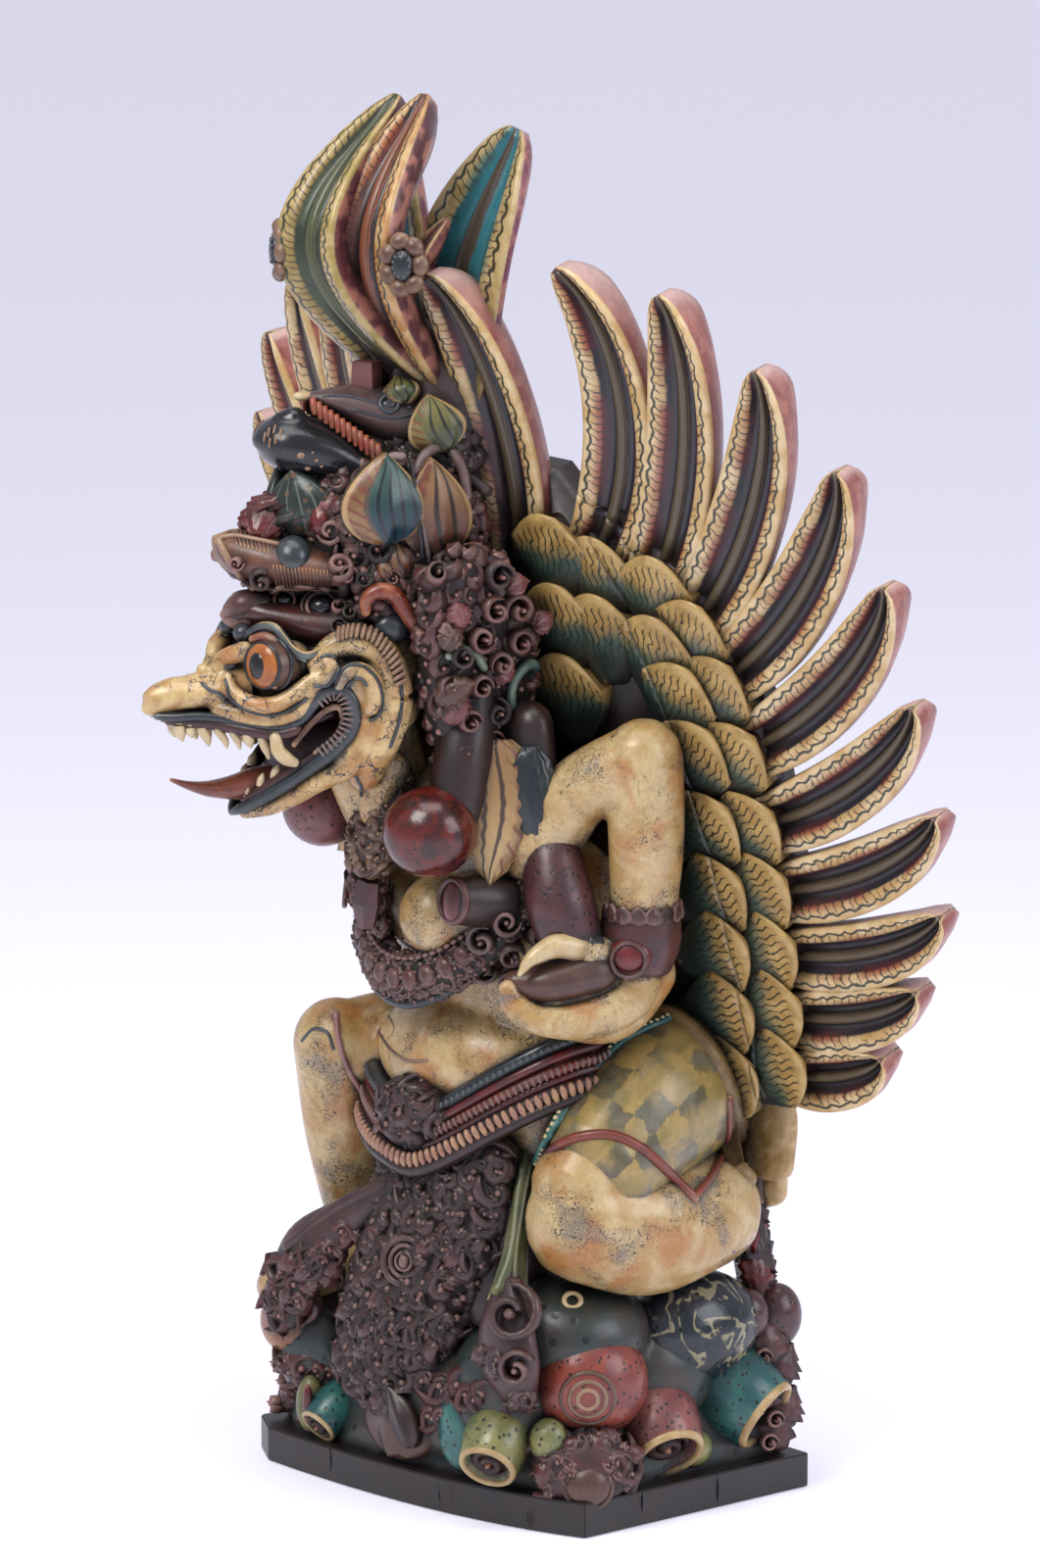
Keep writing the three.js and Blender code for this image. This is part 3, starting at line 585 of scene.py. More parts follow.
def skin_coat(tree, colour, space):
    """Cream skin: orange-brown washes, a blue-grey film in patches that also gathers as painted shade in
    the nooks, and scribbles at its edges.
    """
    nook = add(tree, "ShaderNodeAttribute", attribute_name="nook").outputs["Fac"]
    warm = noise(tree, space, 30.0, 3.0, 0.5)
    colour = over(
        tree, sums(tree, "MULTIPLY", between(tree, warm, 0.5, 0.68), 0.8), colour, srgb("#A9703A")
    )
    cloud = noise(tree, space, 34.0, 4.0, 0.7)
    # The film is partly painted shade: it spreads further where the point is shut in.
    film = sums(tree, "ADD", cloud, sums(tree, "MULTIPLY", nook, 0.16))
    patch = between(tree, film, 0.58, 0.72)
    colour = over(tree, sums(tree, "MULTIPLY", patch, 0.72), colour, srgb("#6F6C66"))
    edge = sums(
        tree, "MULTIPLY", between(tree, film, 0.5, 0.6),
        sums(tree, "SUBTRACT", 1.0, between(tree, film, 0.66, 0.8))
    )
    stroke = sums(tree, "MULTIPLY", scribbles(tree, space, 8.0, 0.2), edge)
    colour = over(tree, sums(tree, "MULTIPLY", stroke, 0.9), colour, srgb("#232427"))
    fine = sums(tree, "MULTIPLY", scribbles(tree, space, 17.0, 0.045), between(tree, cloud, 0.4, 0.5))
    return over(tree, sums(tree, "MULTIPLY", fine, 0.75), colour, srgb("#3A3230"))


print("the builder takes", painted.__code__.co_argcount, "settings")

# %% The plain finishes
skin = painted("cream_painted_wood", "#C0A87A", "#AC8952", hollow="#241B18", ridge="#D9C8A4", worn=0.3,
               blotch_mm=24, gloss=0.27, detail=skin_coat)
face_paint = painted("cream_face_paint", "#C9AC78", "#A8804A", hollow="#1C1817", ridge="#D9C6A0", worn=0.35,
                     blotch_mm=16, gloss=0.28, lines=(9.0, 0.05, 14.0, 0.45), detail=skin_coat)
maroon = painted("maroon_ornament_paint", "#532A28", "#3A2422", hollow="#120A0A", ridge="#A87F74", worn=0.6)
umber = painted("umber_ornament_paint", "#54382A", "#432A24", hollow="#130C0A", ridge="#AE8C6C", worn=0.6)
wine = painted(
    "wine_red_gloss_paint", "#6A2220", "#461A1B", hollow="#160909", ridge="#9C6354", worn=0.4,
    gloss=0.22
)
ember = painted("orange_red_paint", "#7C3827", "#602A22", hollow="#200C0B", ridge="#C39470", worn=0.45)
night = painted(
    "blue_black_paint", "#1B2127", "#20282A", hollow="#0A0C0E", ridge="#5F666C", worn=0.35, gloss=0.22
)
teal = painted("teal_paint", "#265352", "#2F625A", hollow="#0E1A1A", ridge="#A8A684", worn=0.45)
moss = painted("moss_green_paint", "#4E5634", "#6A663C", hollow="#14160E", ridge="#B0A474", worn=0.5)
cream = painted("cream_ornament_paint", "#B89C6C", "#94743F", hollow="#221813", ridge="#D6C49C", worn=0.5)
ivory = painted(
    "ivory_paint", "#C4AE84", "#AE9058", hollow="#2E1E14", ridge="#DCCFB0", worn=0.4, gloss=0.24
)
rose = painted(
    "dusty_rose_paint", "#7E4A48", "#66383A", hollow="#241212", ridge="#BE9A94", worn=0.55, gloss=0.42
)
mauve = painted(
    "grey_mauve_paint", "#5C4644", "#493837", hollow="#171111", ridge="#A38E88", worn=0.5, gloss=0.36
)
dark_wine = painted(
    "black_maroon_paint", "#2E1815", "#1E100F", hollow="#0C0606", ridge="#6E453A", worn=0.4, gloss=0.36
)
dusty = painted(
    "dusty_brown_ornament_paint", "#4A2F2C", "#372426", hollow="#100A0A", ridge="#97766C", worn=0.55
)
print("plain finishes mixed:", len(bpy.data.materials))

# %% [markdown]
# ## Small carving that repeats
#
# A carver covers a dress or a crown with the same few cuts: curls, leaf tips, beads and rings.
# Geometry Nodes repeat them. One tree strings a motif along a line, one spreads a mixed set of
# motifs over a surface. Both end in real mesh with one finish.

# %% Motifs, drawn at the origin: x right, y up, z outward
def curl(radius, hand=1, turns=1.2, wide=0.26, high=5.0, start=0.0, fine=1.0):
    """A ridge that winds in to a round eye."""
    t = np.linspace(0, 1, int(20 * fine))
    a = math.radians(start) + hand * turns * 2 * math.pi * t
    r = radius * (1 - 0.7 * t)
    width = radius * wide * (1 - 0.35 * t) * np.minimum(1, 0.35 + t * 4)
    rows = np.column_stack(
        [r * np.cos(a), r * np.sin(a), high * (0.1 + 0.3 * t), width, width * 0 + high * 0.7]
    )
    ridge = limb(rows, sides=6, steps=1, dome=(0.5, 0.5))
    return gathered(
        [ridge, ball([0, 0, high * 0.45], [radius * 0.2, radius * 0.2, high * 0.8], around=8, rows=6)]
    )


def strap(line, half, crown, ribs=1, thick=6.0, across=11, groove=0.22):
    """A domed, grooved strap along a flat line: the stuff of leaves and scrolls."""
    s = np.linspace(-1, 1, across)
    way = unit(np.gradient(line, axis=0))
    side = np.column_stack([way[:, 1], -way[:, 0]])
    steps = len(line)
    rings, chart = [], []
    for i in range(steps):
        t = i / (steps - 1)
        top = crown[i] * (1 - 0.75 * s ** 2) + groove * crown[i] * np.cos(math.pi * 2 * ribs * s) * (1 - t)
        flat = line[i] + side[i] * (s * half[i])[:, None]
        back = np.column_stack([flat, top - thick])[::-1]
        rings.append(np.vstack([np.column_stack([flat, top]), back]))
        chart.append(np.column_stack([np.concatenate([s, s[::-1] * 0 + 2]), np.full(2 * across, t)]))
    return loft(rings, chart)


def leaf(long, wide, bend=0.0, ribs=2, lobes=0, high=5.0, lift=0.0, thick=6.0, steps=18, across=11):
    """A domed, ribbed leaf that grows from the origin along y."""
    t = np.linspace(0, 1, steps)
    half = wide * (0.3 * (1 - t) + np.sin(math.pi * np.clip(t, 0, 0.995) ** 0.8) ** 0.85) * 0.62 + 0.3
    if lobes:
        half = half * (1 - 0.3 * (t * lobes % 1))
    line = np.column_stack([np.cumsum(np.sin(bend * t)), np.cumsum(np.cos(bend * t))]) * long / steps
    crown = high * (0.35 + 0.65 * np.sin(math.pi * np.minimum(t + 0.1, 1))) + lift * t ** 3
    return strap(line, half, crown, ribs, thick, across)


def flame(long, hand=1, high=5.0, turns=0.85, steps=10, across=5):
    """The carver's leaf scroll: it winds out of a round eye and bows down to a point."""
    t = np.linspace(0, 1, steps)
    a = hand * 2 * math.pi * turns * (1 - t) ** 1.4
    reach = long * (0.2 + 0.8 * t ** 1.5)
    line = np.column_stack([reach * np.sin(a), reach * np.cos(a)])
    half = long * 0.33 * np.sin(math.pi * (0.2 + 0.78 * t)) ** 0.7 * (1 - 0.3 * (t * 4 % 1) * (t > 0.45))
    crown = high * (1.1 - 0.5 * t)
    made = strap(line, half, crown, 1, high * 1.5, across, 0.3)
    made[0][:, 2] -= (made[0][:, :2] ** 2).sum(1) / (6 * long)
    eye_ball = ball([0, 0, high * 0.4], [long * 0.15, long * 0.15, high * 0.55], around=8, rows=6)
    return gathered([made, eye_ball])


def bead(radius, high=None):
    return ball([0, 0, 0], [radius, radius, high or radius], around=10, rows=7)


def hoop(radius, tube, high=None, steps=28, sides=8):
    """A closed ring in the plane of the motif."""
    a = np.linspace(0, 2 * math.pi, steps, endpoint=False)
    b = np.linspace(0, 2 * math.pi, sides, endpoint=False)
    A, B = np.meshgrid(a, b, indexing="ij")
    reach = radius + tube * np.cos(B)
    verts = np.stack([reach * np.cos(A), reach * np.sin(A), (high or tube) * np.sin(B)], -1).reshape(-1, 3)
    i, j = np.meshgrid(np.arange(steps), np.arange(sides), indexing="ij")
    k, l = (i + 1) % steps, (j + 1) % sides
    faces = np.stack([i * sides + j, k * sides + j, k * sides + l, i * sides + l], -1).reshape(-1, 4)
    return verts, faces.tolist(), np.zeros((len(verts), 2))


# %% Two node trees
def new_tree(name, inputs):
    """A geometry tree with named inputs, and its group input node."""
    tree = bpy.data.node_groups.new(name, "GeometryNodeTree")
    face = tree.interface
    face.new_socket("Geometry", in_out="INPUT", socket_type="NodeSocketGeometry")
    for label, kind, value in inputs:
        socket = face.new_socket(label, in_out="INPUT", socket_type="NodeSocket" + kind)
        if value is not None:
            socket.default_value = value
    face.new_socket("Geometry", in_out="OUTPUT", socket_type="NodeSocketGeometry")
    return tree, tree.nodes.new("NodeGroupInput")


def close_tree(tree, source, instances, extra=None):
    """Realizes the instances, gives them the finish, and ends the tree."""
    solid = add(tree, "GeometryNodeRealizeInstances", {"Geometry": instances}).outputs[0]
    if extra is not None:
        joined = tree.nodes.new("GeometryNodeJoinGeometry")
        tree.links.new(solid, joined.inputs[0])
        tree.links.new(extra, joined.inputs[0])
        solid = joined.outputs[0]
    done = add(tree, "GeometryNodeSetMaterial", {"Geometry": solid, "Material": source.outputs["Finish"]})
    add(tree, "NodeGroupOutput", {0: done.outputs[0]})
    return tree


def string_tree():
    tree, source = new_tree("strung_motif", [
        ("Spacing", "Float", 0.004), ("Motif", "Object", None), ("Finish", "Material", None),
    ])
    line = add(tree, "GeometryNodeMeshToCurve", {"Mesh": source.outputs["Geometry"]}).outputs[0]
    dots = add(
        tree, "GeometryNodeCurveToPoints", {"Curve": line, "Length": source.outputs["Spacing"]},
        mode="LENGTH"
    )
    outward = add(tree, "GeometryNodeInputNamedAttribute", {"Name": "outward"}, data_type="FLOAT_VECTOR")
    stand = add(tree, "FunctionNodeAlignRotationToVector", {"Vector": outward.outputs[0]}, axis="Z")
    face = add(tree, "FunctionNodeAlignRotationToVector", {
        "Rotation": stand.outputs[0],
        "Vector": dots.outputs["Tangent"],
    }, axis="X", pivot_axis="Z")
    motif = add(tree, "GeometryNodeObjectInfo", {"Object": source.outputs["Motif"]})
    placed_all = add(tree, "GeometryNodeInstanceOnPoints", {
        "Points": dots.outputs["Points"],
        "Instance": motif.outputs["Geometry"],
        "Rotation": face.outputs[0],
    })
    return close_tree(tree, source, placed_all.outputs[0])


def spread_tree():
    tree, source = new_tree(
        "spread_motifs",
        [
            ("Spacing", "Float", 0.01), ("Seed", "Int", 1), ("Turn", "Float", 6.283),
            ("Smallest", "Float", 0.8), ("Motifs", "Collection", None), ("Finish", "Material", None),
        ]
    )
    area = source.outputs["Geometry"]
    dots = add(tree, "GeometryNodeDistributePointsOnFaces", {
        "Mesh": area,
        "Distance Min": source.outputs["Spacing"],
        "Density Max": 400000.0,
        "Seed": source.outputs["Seed"],
    }, distribute_method="POISSON")
    upright = add(tree, "FunctionNodeAlignRotationToVector", {
        "Vector": dots.outputs["Normal"],
    }, axis="Z")
    level = add(tree, "FunctionNodeAlignRotationToVector", {
        "Rotation": upright.outputs[0],
        "Vector": (0.0, 0.0, 1.0),
    }, axis="Y", pivot_axis="Z")
    spin = add(tree, "FunctionNodeRandomValue", {"Seed": source.outputs["Seed"]}, data_type="FLOAT")
    spin_by = sums(tree, "MULTIPLY", sums(tree, "SUBTRACT", spin.outputs[1], 0.5), source.outputs["Turn"])
    euler = add(tree, "ShaderNodeCombineXYZ", {"Z": spin_by}).outputs[0]
    euler = add(tree, "FunctionNodeEulerToRotation", {0: euler}).outputs[0]
    level = add(
        tree, "FunctionNodeRotateRotation", {0: level.outputs[0], 1: euler}, rotation_space="LOCAL"
    ).outputs[0]
    size = add(tree, "FunctionNodeRandomValue", {
        "Seed": 7,
        2: source.outputs["Smallest"],
        3: 1.0,
    }, data_type="FLOAT")
    pick = add(tree, "FunctionNodeRandomValue", {4: 0, 5: 99, "Seed": 3}, data_type="INT")
    kinds = add(tree, "GeometryNodeCollectionInfo", {
        "Collection": source.outputs["Motifs"],
        "Separate Children": True,
        "Reset Children": True,
    })
    placed_all = add(tree, "GeometryNodeInstanceOnPoints", {
        "Points": dots.outputs["Points"],
        "Instance": kinds.outputs[0],
        "Pick Instance": True,
        "Instance Index": pick.outputs[2],
        "Rotation": level,
        "Scale": size.outputs[1],
    })
    return close_tree(tree, source, placed_all.outputs[0], area)


STRING = string_tree()
SPREAD = spread_tree()
print("trees:", STRING.name, "and", SPREAD.name)


# %% Grow a tree's motifs on a base
def grow(base, tree, values, finish, slot):
    """Runs a tree on a base object and keeps the plain mesh as a piece."""
    grown = base.modifiers.new("grown", "NODES")
    grown.node_group = tree
    for item in tree.interface.items_tree:
        if item.in_out == "INPUT" and item.name in values:
            grown[item.identifier] = values[item.name]
    settle(base)
    base.data.materials.clear()
    base.data.materials.append(finish)
    base.data.polygons.foreach_set("use_smooth", [True] * len(base.data.polygons))
    mark_relief(base)
    pieces.append((base, slot))
    print(base.name, len(base.data.polygons), "faces")
    return base


def strung(name, lines, motif, spacing, finish, slot="figure_paint"):
    """A motif repeated along lines, each given as points and one outward direction per point."""
    data = bpy.data.meshes.new(name)
    spots, edges, outward = [], [], []
    for points, outs in lines:
        edges += [(len(spots) + i, len(spots) + i + 1) for i in range(len(points) - 1)]
        spots += (np.asarray(points, float) * MM).tolist()
        outward += np.broadcast_to(outs, (len(points), 3)).tolist()
    data.from_pydata(spots, edges, [])
    layer = data.attributes.new("outward", "FLOAT_VECTOR", "POINT")
    layer.data.foreach_set("vector", np.array(outward, np.float32).ravel())
    base = bpy.data.objects.new(name, data)
    bpy.context.scene.collection.objects.link(base)
    sample = mesh_of(name + "_motif", [motif])
    made = grow(base, STRING, {"Spacing": spacing * MM, "Motif": sample, "Finish": finish}, finish, slot)
    bpy.data.objects.remove(sample)
    return made


def spread(name, ground, motifs, spacing, finish, slot="figure_paint", seed=1, turn=6.283, smallest=0.75):
    """Motifs spread over ground forms, which stay as the surface between them."""
    base = mesh_of(name, ground)
    kinds = bpy.data.collections.new(name + "_motifs")
    for i, motif in enumerate(motifs):
        sample = mesh_of(name + "_motif_" + str(i), [motif])
        bpy.context.scene.collection.objects.unlink(sample)
        kinds.objects.link(sample)
    made = grow(base, SPREAD, {
        "Spacing": spacing * MM,
        "Seed": seed,
        "Turn": turn,
        "Smallest": smallest,
        "Motifs": kinds,
        "Finish": finish,
    }, finish, slot)
    for sample in list(kinds.objects):
        bpy.data.objects.remove(sample)
    bpy.data.collections.remove(kinds)
    return made

# %% [markdown]
# ## Wings
#
# Each wing is a fan of eleven carved feathers on a leaning plane, with scales laid over their
# roots. A feather has a raised cream border on both sides, two deep grooves and a round rib, so
# one cross-section swept along a hooked curve gives the whole of it. The flat map of the sweep
# tells the painter where the border, the groove and the rib are.

# %% The wing's plane
WING_ROOT = np.array([60.0, -10.0, 430.0])
WING_SWEEP = math.radians(14)
WING_LEAN = math.radians(14)
RIGHT_WING_DROP = 25.0
BOARD_THICK = 32.0
SEAM = np.array([[6, 203], [17, 192], [48, 106], [68, 33], [81, -35], [88, -111], [90, -200]], float)
SEAM_HALF = 0.8
wing_out = np.array([math.cos(WING_SWEEP), math.sin(WING_SWEEP), 0])
wing_up = np.array([
    math.sin(WING_SWEEP) * math.sin(WING_LEAN),
    -math.cos(WING_SWEEP) * math.sin(WING_LEAN),
    math.cos(WING_LEAN),
])
wing_front = np.cross(wing_out, wing_up)
wing_axes = np.column_stack([wing_out, wing_up, wing_front])


def on_wing(points):
    """Wing coordinates (outward, up, forward) as places in space."""
    return np.asarray(points, float) @ wing_axes.T + WING_ROOT


def fan_line(points, share):
    return along(points, 401)[np.clip((np.asarray(share) * 400).astype(int), 0, 400)]


FAN_ROOTS = [[-41, 143], [59, 140], [96, 80], [109, -10], [109, -93], [103, -173]]
FAN_TIPS = [[-54, 332], [92, 322], [200, 223], [231, 80], [230, -53], [174, -153]]

# %% A feather
CHART_MM = 45
BORDER = ([0, 0.07, 0.13, 0.18, 0.28, 0.40, 0.50, 0.57, 0.70, 0.88, 0.97, 1.0],
          [-4.5, -4.8, -6.2, -8.5, -9.6, -7.6, -4.2, -1.6, -0.6, 0.0, -0.6, -2.4])
FULLNESS = [0.80, 1.0, 0.98, 0.78, 0.30]


def swept(middle, side, out, wide, thick):
    """A feather along a line in space, with its sideways and outward directions."""
    steps = len(middle)
    share = np.linspace(0, 1, steps)
    full = along(np.array(FULLNESS)[:, None], steps)[:, 0]
    full = full * np.sqrt(1 - 0.75 * np.clip((share - 0.94) / 0.06, 0, 1) ** 2)
    top = np.concatenate([-np.array(BORDER[0][::-1]), BORDER[0][1:]])
    high = np.concatenate([BORDER[1][::-1], BORDER[1][1:]]) * thick / BOARD_THICK
    across = np.concatenate([top, [1.0, 0.76, 0.4, -0.4, -0.76, -1.0]])
    chart_x = np.concatenate([top, [1.4, 1.9, 2.6, -2.6, -1.9, -1.4]])
    fade = 1 - np.clip((share - 0.86) / 0.14, 0, 1) ** 2
    rings, chart = [], []
    length = np.linalg.norm(np.diff(middle, axis=0), axis=1).sum()
    for i in range(steps):
        rim = thick * (0.55 + 0.45 * fade[i])
        depth = np.concatenate([high * fade[i] - 2.5 * (1 - fade[i]), [-0.32 * rim, -0.7 * rim, -rim]])
        depth = np.concatenate([depth, depth[-3:][::-1]])
        flat = middle[i] + side[i] * (across * full[i] * wide / 2)[:, None]
        rings.append(flat + out[i] * depth[:, None])
        chart.append(np.column_stack([chart_x, np.full(len(across), share[i] * length / CHART_MM)]))
    return loft(rings, chart)


def hooked(root, tip, hook, steps=34):
    """A centre line that bellies to one side and hooks back at its tip."""
    root, tip = np.asarray(root, float), np.asarray(tip, float)
    reach = tip - root
    off = np.array([reach[1], -reach[0]]) * hook
    a, b = root + 0.33 * reach + off, root + 0.8 * reach + off
    t = np.linspace(0, 1, steps)[:, None]
    return (1 - t) ** 3 * root + 3 * t * (1 - t) ** 2 * a + 3 * t * t * (1 - t) * b + t ** 3 * tip


def flight(i):
    share = i / 10
    line = hooked(fan_line(FAN_ROOTS, share), fan_line(FAN_TIPS, share), 0.24 if i == 1 else 0.13)
    forward = np.linspace(0, 26, len(line)) if i == 0 else np.zeros(len(line))
    middle = on_wing(np.column_stack([line, forward]))
    side = unit(np.cross(tangents(middle), wing_front))
    out = np.broadcast_to(wing_front, middle.shape)
    return swept(middle, side, out, 48 * (1 - 0.15 * share), BOARD_THICK)


feathers = [flight(i) for i in range(11)]
print("feathers:", len(feathers), "with", len(feathers[0][1]), "faces each")

# %% [markdown]
# The scales are fans that widen towards a round rim, a little domed, and lie over each other like
# roof tiles. Behind them is a plain web of board. A saw line crosses the scales where the outer
# board is glued on, so every form near it is cut in two with the width of the joint left open.

# %% Scales, web and the glued joint
def covert(mid, ahead, base=0.0, half=26.0, long=30.0):
    """One scale, pointing along ahead in the wing's plane."""
    side = np.array([-ahead[1], ahead[0]])
    s = np.linspace(-1, 1, 17)
    rings, chart = [], []
    for r in [*np.linspace(0, 1, 13), 1.03]:
        wide = half * (0.4 + 0.6 * math.sin(min(r / 0.75, 1) * math.pi / 2))
        out = -long + 2 * long * min(r, 1.02) * (1 - 0.33 * s ** 2 * r)
        top = base + 8 * r - 5 * s ** 2 + (-1.6 if r > 1 else 0)
        front = np.column_stack([mid + ahead * out[:, None] + side * (s * wide)[:, None], top])
        back = np.column_stack(
            [mid + ahead * out[:, None] + side * (s * wide * 0.98)[:, None], np.full(17, -14.0)]
        )
        rings.append(on_wing(np.vstack([front, back[::-1]])))
        chart.append(np.column_stack([np.concatenate([s, s[::-1] * 0 + 2.5]), np.full(34, r)]))
    return loft(rings, chart)


def covert_row(shift, count, first, last, base, half):
    made = []
    for i in range(count):
        share = first + (last - first) * i / (count - 1)
        root = fan_line(FAN_ROOTS, share)
        ahead = unit(fan_line(FAN_TIPS, share) - root)
        made.append(covert(root + ahead * shift, ahead, base + 0.25 * i, half))
    return made


INNER_SCALES = [(-7, 152), (-8, 108), (-10, 63)]
coverts = covert_row(-6, 10, 0.12, 0.98, 0.0, 26) + covert_row(-42, 9, 0.12, 0.98, 2.5, 27)
coverts += [covert(np.array(spot, float), unit(np.array([0.12, 1.0])), 4.0, 26) for spot in INNER_SCALES]


def slab(outline, low, high):
    """A flat board between two depths of the wing."""
    rings = [on_wing(np.column_stack([outline, np.full(len(outline), d)])) for d in (low, high)]
    return loft(rings)


OUTER_WEB = [[0, 196], [30, 192], [92, 132], [120, 60], [124, -60], [108, -196], [76, -196], [40, 60]]
INNER_WEB = [[-64, 205], [-8, 200], [60, 110], [90, 10], [98, -196], [30, -196], [-62, -120]]
webs = [slab(OUTER_WEB, -31.5, -6), slab(INNER_WEB, -31.5, -6)]


def sawn(form, hand):
    """The part of a form on one side of the joint: hand 1 is the outer board."""
    flat = (form[0] - WING_ROOT) @ wing_axes
    middle = flat[:, :2].mean(0)
    spans = [(abs(middle[1] - (a[1] + b[1]) / 2), k) for k, (a, b) in enumerate(zip(SEAM, SEAM[1:]))]
    k = min(spans)[1]
    run = unit(SEAM[k + 1] - SEAM[k])
    off = np.array([-run[1], run[0]])
    off = off if off[0] > 0 else -off
    side = (flat[:, :2] - SEAM[k]) @ off * hand - SEAM_HALF
    if (side > 0).all():
        return form
    if (side <= 0).all():
        return None
    shape = bmesh.new()
    mark = shape.loops.layers.uv.new("chart")
    spots = [shape.verts.new(p) for p in form[0]]
    for face in form[1]:
        made = shape.faces.new([spots[i] for i in face])
        for loop, i in zip(made.loops, face):
            loop[mark].uv = form[2][i]
    normal = wing_axes @ np.array([*off, 0]) * hand
    origin = on_wing([*(SEAM[k] + off * hand * SEAM_HALF), 0])
    cut = bmesh.ops.bisect_plane(shape, geom=shape.verts[:] + shape.edges[:] + shape.faces[:], dist=1e-4,
                                 plane_co=origin, plane_no=normal, clear_inner=True)
    rim = [e for e in cut["geom_cut"] if isinstance(e, bmesh.types.BMEdge)]
    filled = bmesh.ops.holes_fill(shape, edges=rim, sides=0)["faces"]
    bmesh.ops.triangulate(shape, faces=filled)
    shape.verts.index_update()
    verts = np.array([v.co[:] for v in shape.verts])
    chart = np.full((len(verts), 2), 1.6)
    for face in shape.faces:
        for loop in face.loops:
            if abs(loop[mark].uv[0]) + abs(loop[mark].uv[1]) > 0:
                chart[loop.vert.index] = loop[mark].uv
    faces = [[v.index for v in face.verts] for face in shape.faces]
    shape.free()
    return verts, faces, chart


def one_side(forms, hand):
    return [part for part in (sawn(form, hand) for form in forms) if part]


board_feathers = one_side(feathers[1:], 1)
block_feathers = [feathers[0], *one_side(feathers[1:3], -1)]
print("forms on the outer board:", len(board_feathers) + len(one_side(coverts, 1)))

# %% [markdown]
# The painter's pattern is the same on every feather: cream border, a wavy dark green line in it,
# fine strokes from the line inward, a dark groove, and a brown rib. Waves are about 10 mm long
# and strokes about 5 mm apart. The sawn rims are dusty red, worn to pink in patches, and paler
# pink where they face up, as a painted highlight.

# %% Paint for feathers and scales
WAVE_MM = 10.5
STROKE_MM = 5.2


def stripes(tree, value, per, offset=0.0):
    """0 to 1 and back to 0 once in every so much of the value."""
    turn = sums(tree, "MULTIPLY_ADD", value, 1 / per, offset)
    return sums(tree, "PINGPONG", turn, 0.5)


def chart_of(tree):
    split = add(tree, "ShaderNodeSeparateXYZ", {0: add(tree, "ShaderNodeUVMap", uv_map="chart").outputs[0]})
    return split.outputs["X"], split.outputs["Y"]


def feather_coat(groove, rib, rim, blush="#8E4334", warm="#58262A"):
    """Cream border with a wavy line and short strokes, dark grooves, a striped brown rib, red rims worn in
    patches, with a painted highlight where they face up.
    """
    def coat(tree, colour, space):
        x, y = chart_of(tree)
        a = sums(tree, "ABSOLUTE", x)
        wob = sums(tree, "SUBTRACT", noise(tree, space, 9.0, 2.0), 0.5)
        broad = noise(tree, space, 24.0, 2.0)
        edge = sums(tree, "MULTIPLY_ADD", wob, 0.07, a)
        grain = stripes(tree, sums(tree, "MULTIPLY_ADD", wob, 0.05, x), 0.05)
        wood = over(tree, between(tree, grain, 0.2, 0.4), srgb(rib), srgb("#39332A"))
        base = over(tree, between(tree, edge, 0.13, 0.19), wood, srgb(groove))
        red = sums(tree, "MULTIPLY", between(tree, edge, 0.26, 0.5), between(tree, broad, 0.38, 0.58))
        base = over(tree, sums(tree, "MULTIPLY", red, 0.85), base, srgb(warm))
        cream_part = over(
            tree,
            sums(
                tree, "MULTIPLY", sums(tree, "SUBTRACT", 1.0, between(tree, a, 0.46, 0.74)),
                between(tree, broad, 0.34, 0.6)
            ),
            colour, srgb(blush)
        )
        base = over(tree, between(tree, edge, 0.46, 0.52), base, cream_part)
        waves = 2 * math.pi * CHART_MM / WAVE_MM
        turn = sums(tree, "MULTIPLY_ADD", y, waves, sums(tree, "MULTIPLY", wob, 7.0))
        middle = sums(tree, "MULTIPLY_ADD", sums(tree, "SINE", turn), 0.04, 0.775)
        line = sums(tree, "ABSOLUTE", sums(tree, "SUBTRACT", a, middle))
        line = sums(tree, "SUBTRACT", 1.0, between(tree, line, 0.022, 0.058))
        slant = sums(tree, "MULTIPLY_ADD", a, -0.3, y)
        tick = stripes(tree, sums(tree, "MULTIPLY_ADD", wob, 0.16, slant), STROKE_MM / CHART_MM)
        tick = between(tree, tick, 0.36, 0.44)
        inward = sums(
            tree, "MULTIPLY", between(tree, a, 0.4, 0.48),
            sums(tree, "SUBTRACT", 1.0, between(tree, a, 0.70, 0.79))
        )
        tick = sums(tree, "MULTIPLY", tick, sums(tree, "MULTIPLY", inward, between(tree, broad, 0.3, 0.42)))
        base = over(tree, sums(tree, "MULTIPLY", tick, 0.8), base, srgb("#2B2220"))
        base = over(tree, sums(tree, "MULTIPLY", line, 0.95), base, srgb("#20291F"))
        worn = over(tree, between(tree, noise(tree, space, 13.0), 0.42, 0.6), srgb(rim), srgb("#A26A5C"))
        # The rims turn pale pink where they face up: a painted highlight.
        facing = add(tree, "ShaderNodeNewGeometry").outputs["Normal"]
        upward = add(tree, "ShaderNodeSeparateXYZ", {0: facing}).outputs["Z"]
        worn = over(
            tree, sums(tree, "MULTIPLY", between(tree, upward, 0.35, 0.9), 0.75), worn, srgb("#C2A49C")
        )
        return over(tree, between(tree, a, 1.02, 1.12), base, worn)
    return coat


